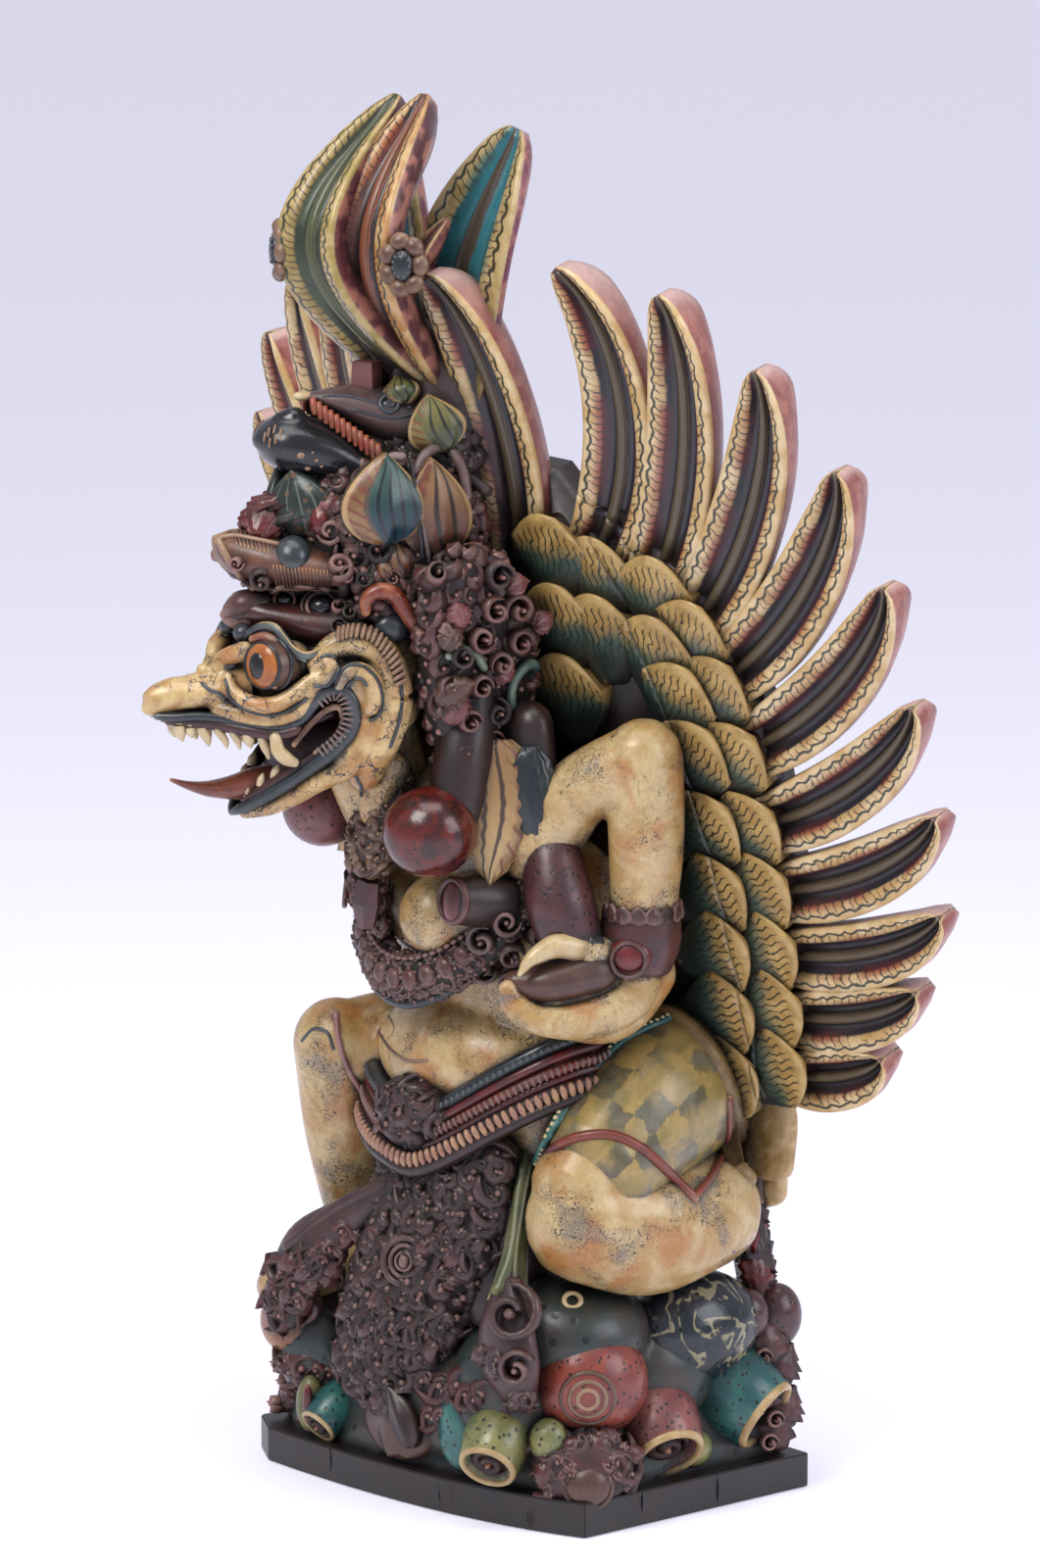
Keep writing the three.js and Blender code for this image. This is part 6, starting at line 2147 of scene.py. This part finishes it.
fold = [limb([[92, 78, 262, 10, 20], [104, 84, 232, 10, 26], [106, 84, 196, 9, 22]], reference=(1, 0, 0))]
piece("back_folds", both(fold), cream)

# %% Apron
apron_body = [
    limb([[6, -84, 216, 54, 14], [6, -90, 180, 56, 18], [0, -98, 148, 48, 20], [-14, -106, 110, 44, 18],
          [-32, -110, 66, 36, 12]], sides=24, reference=(0, -1, 0)),
    ball([0, -104, 238], [26, 13, 19]),
]
apron_paint = painted("dark_apron_paint", "#33302E", "#2C2425", hollow="#0E0A0A", ridge="#7A6A60", worn=0.5)
piece("apron_ground", apron_body, apron_paint)
apron_ground = carrier(*apron_body)


def cluster(ground, table, seed=1):
    """Leaf scrolls that fan out from spots: pixel, how many, pixels long, first and last angle."""
    chance = np.random.default_rng(seed)
    made = []
    for px, py, count, long, first, last in table:
        for k in range(count):
            angle = math.radians(first + (last - first) * k / max(count - 1, 1))
            hand = 1 if k % 2 else -1
            size = long * PX * chance.uniform(0.75, 1.15)
            if chance.random() < 0.75:
                form = flame(size, hand, 0.34 * size, steps=14, across=7)
            else:
                form = leaf(size, size * 0.6, 0.5 * hand, 2, 4, 0.3 * size)
            at = (px + long * 0.35 * -math.sin(angle), py - long * 0.35 * math.cos(angle))
            made.append(placed(spun(form, angle), seen_at(ground, *at, sink=0.14 * size)))
    return made


UPPER = [
    (402, 1128, 6, 24, -180, 120), (430, 1140, 6, 24, -160, 160), (448, 1122, 6, 22, -160, 160),
    (412, 1180, 7, 30, -200, 130), (448, 1196, 7, 30, -180, 150), (486, 1186, 7, 28, -190, 140),
    (516, 1196, 6, 26, -200, 90), (532, 1226, 5, 22, -200, 60), (428, 1228, 7, 30, -220, 60),
    (466, 1232, 7, 28, -230, 40), (500, 1232, 6, 26, -220, 40), (400, 1156, 5, 18, -150, 150),
    (470, 1160, 6, 20, -160, 160), (500, 1166, 5, 20, -160, 160)
]
MIDDLE = [
    (450, 1262, 6, 26, -240, -60), (478, 1266, 6, 28, -240, -100), (396, 1268, 6, 24, 60, 240),
    (384, 1292, 5, 22, 60, 220), (446, 1300, 6, 24, -200, -40), (422, 1318, 6, 24, 100, 260),
    (398, 1318, 6, 26, 120, 250)
]
LOWER = [
    (372, 1340, 6, 30, 90, 230), (350, 1362, 6, 30, 90, 240), (334, 1388, 6, 30, 90, 240),
    (366, 1384, 6, 30, 110, 260), (392, 1350, 6, 28, 110, 260), (424, 1352, 6, 26, 120, 240),
    (448, 1344, 6, 28, 130, 250), (436, 1378, 6, 26, 130, 250), (404, 1388, 5, 26, 130, 240),
    (384, 1410, 5, 24, 130, 230), (340, 1412, 5, 22, 100, 240)
]
spread("apron_filling", apron_body, [flame(17, 1, 4.5), flame(15, -1, 4.5)], 11.0, dusty, seed=12, turn=2.6)
piece("apron_scrolls", cluster(apron_ground, UPPER, 3), dusty)
piece("apron_fans", cluster(apron_ground, MIDDLE, 5), maroon)
piece("apron_tails", cluster(apron_ground, LOWER, 7), dusty)
MEDALLION_SPOT = (414, 1287)
medallion = seen_at(apron_ground, *MEDALLION_SPOT, sink=-1)
rounds = [hoop(14, 2.4, 3), hoop(9.5, 1.8, 2.6), hoop(5.5, 1.2, 3), ball([0, 0, 1], [3.4, 4.6, 3.5])]
piece("apron_medallion", [placed(form, medallion) for form in rounds], dusty)

# %% Sashes
near_sash = limb([[56, -60, 218, 8, 5], [66, -74, 196, 8, 5], [78, -90, 164, 8, 5], [84, -100, 140, 15, 6]],
                 reference=(1, 0, 0), dome=(0.4, 0.4))
recess = limb([[44, -58, 214, 20, 16], [48, -66, 170, 26, 18], [44, -70, 124, 30, 20]], reference=(1, 0, 0))
piece("sash_recess", [recess], dark_wine)
ribs = [limb([[56 + d, -63, 218, 1.6, 2], [66 + d, -78, 196, 1.6, 2], [78 + d, -95, 164, 1.6, 2],
              [84 + d * 2.2, -106, 138, 2.2, 2]], sides=8, reference=(1, 0, 0)) for d in (-5, -1.7, 1.7, 5)]
piece("near_sash", [near_sash, *ribs], moss)
SASH_END = [[84, -100, 146, 12, 8], [88, -106, 124, 22, 11], [91, -106, 100, 24, 12], [92, -100, 80, 13, 9]]
pendant = [limb(SASH_END, sides=20, reference=(0, -1, 0))]
piece("pendant_body", pendant, dusty)
pendant_ground = carrier(*pendant)
PENDANT_ROLLS_PX = [(522, 1342, 32, -1, 100), (528, 1396, 20, 1, 30)]
PENDANT_SCROLLS_PX = [
    (545, 1360, 4, 22, -150, -40), (552, 1388, 4, 20, -150, -60), (505, 1380, 4, 22, 100, 200),
    (530, 1420, 4, 20, 130, 230)
]
rolls = curls_at(pendant_ground, PENDANT_ROLLS_PX, high=8, sink=-1, wide=0.2)
piece("pendant_curls", rolls + cluster(pendant_ground, PENDANT_SCROLLS_PX, 4), dusty)
FAR_FALL = [
    [-20, -98, 192, 9, 6], [-50, -110, 168, 12, 8], [-82, -122, 138, 20, 10], [-106, -122, 98, 16, 8]
]
FAR_ROLL = [[-14, -96, 196, 5, 5], [-56, -114, 172, 5, 6], [-90, -128, 142, 5, 6]]
far_sash = [limb(FAR_FALL, reference=(0, -1, 0)), limb(FAR_ROLL, reference=(0, -1, 0))]
piece("far_sash", far_sash, dusty)
sash_ground = carrier(*far_sash)
END = [
    (352, 1250, 3, 20, 150, 220), (334, 1268, 4, 22, 130, 230), (316, 1290, 6, 26, 90, 260),
    (296, 1302, 6, 28, 60, 240), (276, 1312, 6, 26, 40, 220), (286, 1334, 5, 24, 60, 220),
    (312, 1326, 5, 24, 90, 260)
]
piece("far_sash_scrolls", cluster(sash_ground, END, 9), maroon)

# %% Ear plates
ear_place = frame_at([58, 6, 536], (0.93, 0.36, -0.1), (0.1, 0, 1))
plate_outline = np.array(
    [
        [-34, 40], [-8, 52], [18, 44], [34, 22], [46, -8], [46, -46], [14, -62], [2, -92], [-12, -104],
        [-16, -74], [-28, -44], [-36, 0]
    ],
    float
)
plate = loft([np.column_stack([plate_outline * k, np.full(12, z)]) @ ear_place[:, :3].T + ear_place[:, 3]
              for k, z in ((0.94, -14), (1.0, -10), (1.0, 0), (0.93, 4), (0.5, 6))])
plates = on_neck([plate])
plate_ground = carrier(*plates)
VOLUTES = [
    (503, 588, 16, 1, 0), (523, 621, 17, -1, 200), (524, 655, 14, 1, 0), (553, 660, 10, -1, 60),
    (553, 717, 20, 1, 200), (478, 560, 15, -1, 90), (455, 556, 12, 1, 0), (500, 556, 12, -1, 30),
    (540, 600, 12, -1, 120), (556, 632, 12, 1, 60), (500, 622, 14, 1, 60), (486, 650, 15, -1, 0),
    (468, 668, 13, 1, 90), (506, 676, 13, -1, 200), (485, 700, 13, 1, 0), (500, 725, 15, -1, 90),
    (475, 735, 13, 1, 0), (520, 735, 12, 1, 0), (565, 690, 11, 1, 0), (568, 720, 10, -1, 60),
    (455, 700, 12, 1, 90), (470, 765, 12, -1, 30), (495, 755, 13, 1, 0), (560, 745, 10, 1, 0),
    (445, 590, 12, 1, 60),
]
plate_scrolls = [
    flame(12, 1, 4.5), flame(12, -1, 4.5), leaf(13, 8, 0.4, 1, 0, 4, steps=9, across=7), bead(2.2)
]
spread("ear_plate_ground", other_side(plates), plate_scrolls, 8.0, maroon, seed=14, turn=3)
piece("ear_plate_curls", other_side(curls_at(plate_ground, VOLUTES, high=10, sink=-3, wide=0.26)), maroon)
REAR_SCROLL_PX = [(530, 748), (521, 728), (518, 706), (524, 688), (538, 676), (548, 684)]
FRONT_SCROLL_PX = [(456, 668), (468, 662), (482, 666), (490, 680)]
piece("ear_plate_scrolls", other_side([
    cord_at(plate_ground, REAR_SCROLL_PX, 3.2, lift=4),
    cord_at(plate_ground, FRONT_SCROLL_PX, 2.8, lift=4),
]), teal)
EAR_PLATE_LEAVES_PX = [
    (512, 604, 30, 20, -60, 0.4), (540, 640, 28, 18, -70, -0.3), (470, 640, 34, 22, 30, 0.4),
    (520, 690, 30, 20, 60, 0.3), (488, 775, 44, 26, 20, 0.4), (510, 770, 40, 22, -10, -0.3),
    (458, 740, 44, 26, -10, 0.3),
]
piece(
    "ear_plate_leaves",
    other_side(leaves_at(plate_ground, EAR_PLATE_LEAVES_PX, ribs=3, lobes=6, high=9, sink=-2)), rose
)
EAR_PLATE_GOLD_PX = [(446, 716, 44, 26, -50, 0.4), (450, 664, 34, 22, -30, 0.2)]
gold_leaves = leaves_at(plate_ground, EAR_PLATE_GOLD_PX, ribs=2, lobes=5, high=9, sink=-2)
piece("ear_plate_gold", other_side(gold_leaves), umber)
edge_points = [
    (452, 546), (480, 541), (500, 562), (520, 588), (542, 616), (560, 642), (570, 672), (574, 704),
    (574, 734)
]
edge_line, edge_out = line_at(plate_ground, edge_points, 46, 0.0)
side_line = ((edge_line - NECK) @ turn_head * (-1, 1, 1)) @ turn_head.T + NECK
side_out = (edge_out @ turn_head * (-1, 1, 1)) @ turn_head.T
strung(
    "ear_plate_rims", [(edge_line, edge_out), (side_line, side_out)],
    ball([0, 0, 2], [3.4, 4.6, 4], around=12, rows=8), 6.5, maroon
)
print("carvings that met nothing:", missed)

# %% [markdown]
# ## Coral rock and plinth
#
# The rock is a mound of lumps, dark blue-green, with coral cups, shells and leaf stacks on it in
# red, pink, teal and yellow, pitted all over. It stands on a near-black board with a bowed front
# whose edges are worn to red.

# %% The mound
PLINTH_THICK = 21.0
PLINTH_LEFT, PLINTH_RIGHT, PLINTH_BACK, PLINTH_FRONT, PLINTH_BOW = 135.0, 147.0, 93.0, 85.0, 37.0


def plan(share):
    """The plinth's outline, with its bowed front."""
    front = -PLINTH_FRONT - PLINTH_BOW
    a = np.array([-PLINTH_RIGHT + 26, front])
    b = np.array([PLINTH_LEFT * 0.3, front - 6])
    c = np.array([PLINTH_LEFT, -PLINTH_FRONT])
    t = np.linspace(0, 1, 13)[:, None]
    bow = (1 - t) ** 2 * a + 2 * t * (1 - t) * b + t * t * c
    outline = np.vstack([[[PLINTH_LEFT, PLINTH_BACK], [-PLINTH_RIGHT, PLINTH_BACK],
                          [-PLINTH_RIGHT, -PLINTH_FRONT - 22]], bow])
    return outline * share


def level(share, z):
    line = plan(share)
    return np.column_stack([line, np.full(len(line), z)])


def meander_coat(tree, colour, space):
    """Cream bands that wander over the blue-black boulder."""
    bent = noise(tree, space, 26.0, 1.5, 0.6)
    line = stripes(tree, bent, 0.2)
    broken = between(tree, noise(tree, space, 8.0, 2.0), 0.36, 0.5)
    band = sums(tree, "MULTIPLY", between(tree, line, 0.36, 0.43), broken)
    return over(tree, sums(tree, "MULTIPLY", band, 0.8), colour, srgb("#98906E"))


rock_paint = painted(
    "dark_rock_paint", "#26322F", "#38302A", hollow="#0B0D0D", ridge="#66645A", worn=0.4, gloss=0.36,
    blotch_mm=22, pits_mm=11.0
)
mound = [
    loft([level(0.9, 17), level(0.9, 34), level(0.84, 56), level(0.74, 84), level(0.6, 112)]),
    ball([-106, -86, 72], [30, 34, 40]),
    ball([-102, 44, 72], [35, 42, 42]),
    ball([-30, 68, 70], [58, 24, 44]),
    ball([10, -84, 62], [66, 32, 44]),
    ball([72, -46, 108], [52, 50, 36]),
    ball([60, -84, 74], [38, 30, 44]),
    ball([96, 4, 80], [32, 40, 36]),
    ball([60, 40, 90], [50, 44, 46]),
]
mound_made = piece("rock_mound", mound, rock_paint, fuse=2.8, smooth=4)
rock = carrier_of(mound_made)
boulder_paint = painted(
    "meander_boulder_paint", "#161D24", "#1E262E", hollow="#07090B", ridge="#6A7076", worn=0.3,
    gloss=0.2, detail=meander_coat, pits_mm=7.0
)
piece("boulders", [ball([101, 28, 104], [34, 46, 35]), ball([-100, 30, 96], [32, 36, 30])], boulder_paint)
pitted = {}
for name, first, second in (
    ("teal", "#1F5254", "#2E6A62"), ("pink", "#8A524A", "#6E3C3A"), ("yellow", "#8A8450", "#5E6A42"),
    ("red", "#8C4030", "#6E3430"), ("orange", "#9A6A44", "#7E4A34"), ("maroon", "#53302E", "#3C2426")
):
    pitted[name] = painted(
        "pitted_" + name + "_coral_paint", first, second, hollow="#120D0C", ridge="#C0A482", worn=0.5,
        gloss=0.26, pits_mm=5.2, blotch_mm=20
    )


# %% Coral cups, shells and lumps
def cup(centre, radius, long, facing, flare=0.9):
    """A barrel with an open, rimmed mouth."""
    out = unit(facing)
    place = frame_at(np.asarray(centre, float), out, (0.1, 0.2, 1))
    turn = np.linspace(0, 2 * math.pi, 28, endpoint=False)
    outline = [
        (0.3, -0.72), (0.7, -0.58), (0.98, -0.25), (1.06, 0.2), (1.0, 0.6), (flare, 0.92),
        (flare * 0.9, 1.0), (flare * 0.72, 0.94), (flare * 0.6, 0.78), (flare * 0.5, 0.66),
        (flare * 0.2, 0.62)
    ]
    rings = [np.column_stack([np.cos(turn) * r * radius, np.sin(turn) * r * radius, np.full(28, h * long)])
             for r, h in outline]
    return placed(loft(rings), place), place


PINK_CUP_SPOT = (664, 1438)
YELLOW_CUP_SPOT = (512, 1460)
TEAL_CUP_SPOT = (345, 1432)
cups = [
    ("teal", [102, 48, 68], 27, 38, [0.78, 0.34, -0.5], 1),
    ("pink", at_pixel(*PINK_CUP_SPOT, x=106), 25, 34, [0.72, -0.2, -0.62], 1),
    ("yellow", at_pixel(*YELLOW_CUP_SPOT, y=-98), 20, 28, [0.35, -0.7, -0.6], 0),
    ("teal", at_pixel(*TEAL_CUP_SPOT, y=-104), 14, 20, [0, -0.8, -0.6], 0),
    ("pink", [40, 66, 58], 22, 28, [0.2, 0.85, -0.4], 0),
    ("teal", [-60, 64, 56], 20, 28, [-0.3, 0.85, -0.4], 0),
    ("yellow", [0, 72, 54], 18, 24, [0, 0.85, -0.5], 0),
    ("yellow", [-112, -20, 56], 20, 30, [-0.8, -0.1, -0.55], 0),
]
mouths, inner, bodies = [], [], {}
for name, centre, radius, long, facing, twin in cups:
    form, place = cup(centre, radius, long, facing)
    eye_form = [placed(moved(curl(radius * 0.56, 1, 1.5, 0.3, 7), (0, 0, long * 0.72)), place),
                placed(moved(hoop(radius * 0.62, radius * 0.08, 2), (0, 0, long * 0.8)), place)]
    rim = moved(hoop(radius * 0.8, radius * 0.1, radius * 0.13, steps=36), (0, 0, long * 0.96))
    copies = both if twin else list
    bodies.setdefault(name, []).extend(copies([form]))
    mouths += copies([placed(rim, place)])
    inner += copies(eye_form)

# %% Lumps in six colours
dome_place = frame_at([100, -54, 84], (0.76, -0.62, -0.1))
red_dome = placed(ball([0, 0, 0], [37, 35, 32]), dome_place)
bodies["red"] = [red_dome, ball([-112, 84, 60], [22, 20, 30])]
FRONT_ORANGE_SPOT = (297, 1348)
SIDE_ORANGE_SPOT = (560, 1440)
bodies["orange"] = [
    ball(at_pixel(*FRONT_ORANGE_SPOT, y=-108), [22, 17, 21]),
    ball(at_pixel(*SIDE_ORANGE_SPOT, x=90), [12, 12, 16])
]
UPPER_MAROON_SPOT = (792, 1342)
LOWER_MAROON_SPOT = (786, 1376)
bodies["maroon"] = [
    ball(at_pixel(*UPPER_MAROON_SPOT, x=108), [15, 16, 20]),
    ball(at_pixel(*LOWER_MAROON_SPOT, x=112), [12, 12, 14]), ball([-118, -50, 70], [18, 20, 28]),
    ball([112, 62, 108], [14, 14, 16])
]
REAR_ORANGE_SPOT = (690, 1400)
KNEE_ORANGE_SPOT = (400, 1330)
bodies["orange"] += [
    ball(at_pixel(*REAR_ORANGE_SPOT, x=100), [16, 18, 18]),
    ball(at_pixel(*KNEE_ORANGE_SPOT, y=-80), [20, 20, 16])
]
FRONT_YELLOW_SPOT = (560, 1470)
REAR_YELLOW_SPOT = (706, 1478)
bodies["yellow"] += [
    ball(at_pixel(*FRONT_YELLOW_SPOT, x=104), [12, 12, 14]),
    ball(at_pixel(*REAR_YELLOW_SPOT, x=118), [10, 14, 12])
]
SLIM_TEAL_SPOT = (470, 1456)
bodies["teal"] += [
    ball(at_pixel(*SLIM_TEAL_SPOT, y=-104), [16, 12, 26]), ball([-118, 12, 62], [16, 20, 30])
]
for name, forms in bodies.items():
    piece(name + "_corals", forms, pitted[name])
piece("cup_rims", mouths, cream)
piece("cup_volutes", inner, ember)
rounds = [
    placed(moved(hoop(r, 1.6, 2.0, steps=36), (0, 0, 31.5 - r * r / 66)), dome_place)
    for r in (6, 11, 16)
]
piece("dome_rounds", rounds, umber)
SHELL_SPOT = (317, 1432)
shell = ball(at_pixel(*SHELL_SPOT, y=-114), [9, 9, 18])
piece("slot_shell", [shell], moss)
SHELL_SLOT_SPOT = (314, 1432)
piece("shell_slot", [ball(at_pixel(*SHELL_SLOT_SPOT, y=-122), [3.4, 3, 12])], wine)
ROCK_DOT_SPOT = (584, 1327)
piece("rock_dot", [placed(hoop(5, 1.6, 1.2), seen_at(rock, *ROCK_DOT_SPOT, sink=-0.2))], cream)

# %% Corner mask, leaf stacks, tail leaves and the almond
mask_place = frame_at([121, -75, 38], (0.76, -0.63, 0.15))
mask_base = placed(ball([0, 0, -6], [31, 23, 17]), mask_place)
mask_ground = carrier(mask_base)
piece("corner_mask", [mask_base], maroon)
MASK_FANS = [
    (566, 1484, 6, 26, -60, 200), (632, 1484, 6, 26, -200, 60), (598, 1474, 6, 22, -100, 100),
    (560, 1512, 4, 20, 30, 180), (640, 1510, 4, 20, -180, -30), (600, 1460, 5, 18, -90, 90),
    (582, 1500, 4, 14, 0, 180), (620, 1500, 4, 14, -180, 0)
]
piece("corner_mask_scrolls", cluster(mask_ground, MASK_FANS, 12), maroon)
BOSS_SPOT = (600, 1516)
boss = frame_at(at_pixel(*BOSS_SPOT, x=128), (0.76, -0.63, 0.1))
piece("corner_boss", [placed(ball([0, 0, 0], [14, 13, 9]), boss), placed(hoop(14, 2, 3), boss)], umber)
STACK = [[-128, -98, -1, -0.75], [120, 72, 1, -0.3], [-126, 70, -1, 0.2], [96, 74, 1, 0.9]]
stack = []
for x, y, side, face in STACK:
    for k in range(5):
        foot = [x + side * (3 - 1.5 * k), y + (k % 2) * 6, 22 + 13 * k]
        stack.append(placed(leaf(30, 22, 0.5 * side * (1 if k % 2 else -1), 2, 4, 7, thick=12),
                            frame_at(foot, (0.6 * side, face, 0.1), (0.3 * side, 0.1, 1))))
        beside = [foot[0] + 4 * side, foot[1] - 5, foot[2] + 8]
        stack.append(placed(curl(6, side, high=6), frame_at(beside, (0.7 * side, face, 0.1))))
piece("leaf_stacks", stack, maroon)
tail_body = limb([[78, 82, 204, 10, 8], [88, 85, 150, 14, 9], [98, 84, 100, 10, 8]], reference=(0, 1, 0))
tails, tips = [], []
for k in range(8):
    foot = [80 + 3.4 * k, 84 - 2.5 * (k % 2), 206 - 15 * k]
    form = leaf(38, 18, -0.3 if k % 2 else 0.3, 2, 4, 7, lift=5, thick=9)
    place = frame_at(foot, (0.9, -0.2 + 0.2 * (k % 2), 0.3), (0.3, 0.1 * (k % 2), -1))
    (tails if k % 2 else tips).append(placed(form, place))
piece("leaf_tails", both([*tails, tail_body]), dark_wine)
piece("leaf_tail_edges", both(tips), wine)
CLOTH_TIP = [[76, 82, 232, 8, 14], [86, 86, 206, 7, 12], [94, 86, 170, 4, 6]]
piece("cloth_tips", both([limb(CLOTH_TIP, reference=(1, 0, 0), dome=(0.3, 0.3))]), umber)
ALMOND_SHAPE_SPOT = (404, 1490)
almond_shape = placed(
    leaf(60, 40, 0.1, 1, 0, 12, thick=18),
    frame_at(at_pixel(*ALMOND_SHAPE_SPOT, y=-112), (0.1, -1, 0.1), (0.12, 0, 1))
)
SLIT_SPOT = (420, 1482)
slit = placed(
    leaf(44, 12, -0.5, 1, 0, 6, thick=8),
    frame_at(at_pixel(*SLIT_SPOT, y=-120), (0.3, -1, 0.1), (-0.25, 0, 1))
)
piece("almond_shell", [almond_shape], umber)
piece("almond_slit", [slit], dark_wine)
FOOT_FANS = [
    (300, 1392, 5, 26, 60, 240), (330, 1398, 4, 22, 90, 230), (432, 1400, 5, 26, 100, 250),
    (458, 1412, 5, 26, 100, 260), (484, 1420, 5, 24, 110, 250), (444, 1440, 4, 22, 120, 240),
    (470, 1480, 4, 20, 100, 250), (280, 1384, 5, 24, 40, 200), (270, 1420, 5, 26, -60, 140),
    (276, 1448, 5, 26, -60, 120), (296, 1456, 4, 20, -60, 90), (530, 1426, 4, 20, 120, 240)
]
piece("foot_fans", cluster(rock, FOOT_FANS, 20), maroon)

# %% The plinth board
board_paint = painted(
    "black_board_paint", "#1A1514", "#241917", hollow="#070606", ridge="#7A4632", worn=0.5, gloss=0.42,
    blotch_mm=30
)
BOARD_EDGE = 0.0008
board = mesh_of("plinth", [loft([level(1, z) for z in (0, PLINTH_THICK)])])
shape = bmesh.new()
shape.from_mesh(board.data)
bmesh.ops.dissolve_limit(shape, angle_limit=0.01, verts=shape.verts, edges=shape.edges)
bmesh.ops.bevel(shape, geom=shape.edges, offset=BOARD_EDGE, segments=2, affect="EDGES")
bmesh.ops.triangulate(shape, faces=shape.faces)
shape.to_mesh(board.data)
shape.free()
board.data.materials.clear()
board.data.materials.append(board_paint)
mark_relief(board)
pieces.append((board, "figure_paint"))
CRACKS = [
    (40, -119.3, 3, 18), (-60, -122.5, 6, 20), (100, -100.5, 0.5, 12), (135, 20, 2, 19),
    (135, -40, 8, 20)
]
cracks = [
    cord([[x, y, z0], [x + 0.8, y, (z0 + z1) / 2], [x, y, z1]], [0.2, 0.7, 0.3], sides=6)
    for x, y, z0, z1 in CRACKS
]
piece("plinth_cracks", cracks, pupil_black)

# %% [markdown]
# ## Painted shade and dirt in the nooks
#
# Where light can't reach, also between two pieces, the paints are darkened: painted shade, with the
# lamp smoke and dirt that lie where no hand or cloth reaches. Short rays from every point show how
# shut in it is. The share of them that soon meet wood is kept on the point, and the paints darken by it.

# %% Feel how shut in each point is
REACH = 34 * MM
OFF_SKIN = 0.0007
RAY_COUNT = 20
DENSE_PIECE = 3000
turns = np.arange(RAY_COUNT) * math.pi * (3 - math.sqrt(5))
heights = 1 - (np.arange(RAY_COUNT) + 0.5) / (RAY_COUNT / 2)
RAYS = np.column_stack(
    [np.cos(turns) * np.sqrt(1 - heights ** 2), np.sin(turns) * np.sqrt(1 - heights ** 2), heights]
)
ray_list = [Vector(ray) for ray in RAYS]
spots, faces = [], []
for made, _ in pieces:
    start = len(spots)
    spots += [v.co for v in made.data.vertices]
    faces += [[i + start for i in p.vertices] for p in made.data.polygons]
wood = BVHTree.FromPolygons(spots, faces)
print("points to feel:", len(spots))
# Only every third point is felt on a dense piece. The others take the mean of their neighbours.
for made, _ in pieces:
    data = made.data
    count = len(data.vertices)
    facing = np.empty(count * 3)
    data.vertices.foreach_get("normal", facing)
    facing = facing.reshape(-1, 3) @ RAYS.T
    shut = np.zeros(count)
    felt = np.zeros(count)
    for i in range(0, count, 3 if count > DENSE_PIECE else 1):
        vertex = data.vertices[i]
        start = vertex.co + vertex.normal * OFF_SKIN
        lean = facing[i]
        total = 0.0
        weight = 0.0
        for k in np.nonzero(lean > 0.3)[0].tolist():
            far = wood.ray_cast(start, ray_list[k], REACH)[3]
            weight += lean[k]
            if far is not None:
                total += lean[k] * (1 - far / REACH)
        shut[i] = total / max(weight, 0.01)
        felt[i] = 1
    edges = np.empty(len(data.edges) * 2, np.int64)
    data.edges.foreach_get("vertices", edges)
    a, b = edges.reshape(-1, 2).T
    for _ in range(4):
        total = shut * felt * 1.5 + np.bincount(a, (shut * felt)[b], count)
        total = total + np.bincount(b, (shut * felt)[a], count)
        weight = felt * 1.5 + np.bincount(a, felt[b], count) + np.bincount(b, felt[a], count)
        shut = total / np.maximum(weight, 1e-6)
        felt = (weight > 0).astype(float)
    # The share is kept as the nook number, which the paints turn into painted shade and dirt.
    layer = data.attributes.new("nook", "FLOAT", "POINT")
    layer.data.foreach_set("value", shut.astype(np.float32))

# %% [markdown]
# ## The pieces on the body
#
# Every piece rides on the one body, and its slot says which solids it dresses; those are hidden.
# The carved block is dressed by many pieces and each wing board by its own.

# %% Ride, replace and finish
figure_pieces = []
for made, slot in pieces:
    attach(made, "root")
    if slot == "figure_paint":
        figure_pieces.append(made)
    if slot == "left_wing_paint":
        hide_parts("left_wing_board")
    if slot == "right_wing_paint":
        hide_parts("right_wing_board")
for made in figure_pieces:
    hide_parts("figure_and_base")

total = sum(len(p.vertices) - 2 for made, _ in pieces for p in made.data.polygons)
print(len(pieces), "pieces,", total, "triangles")
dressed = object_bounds()
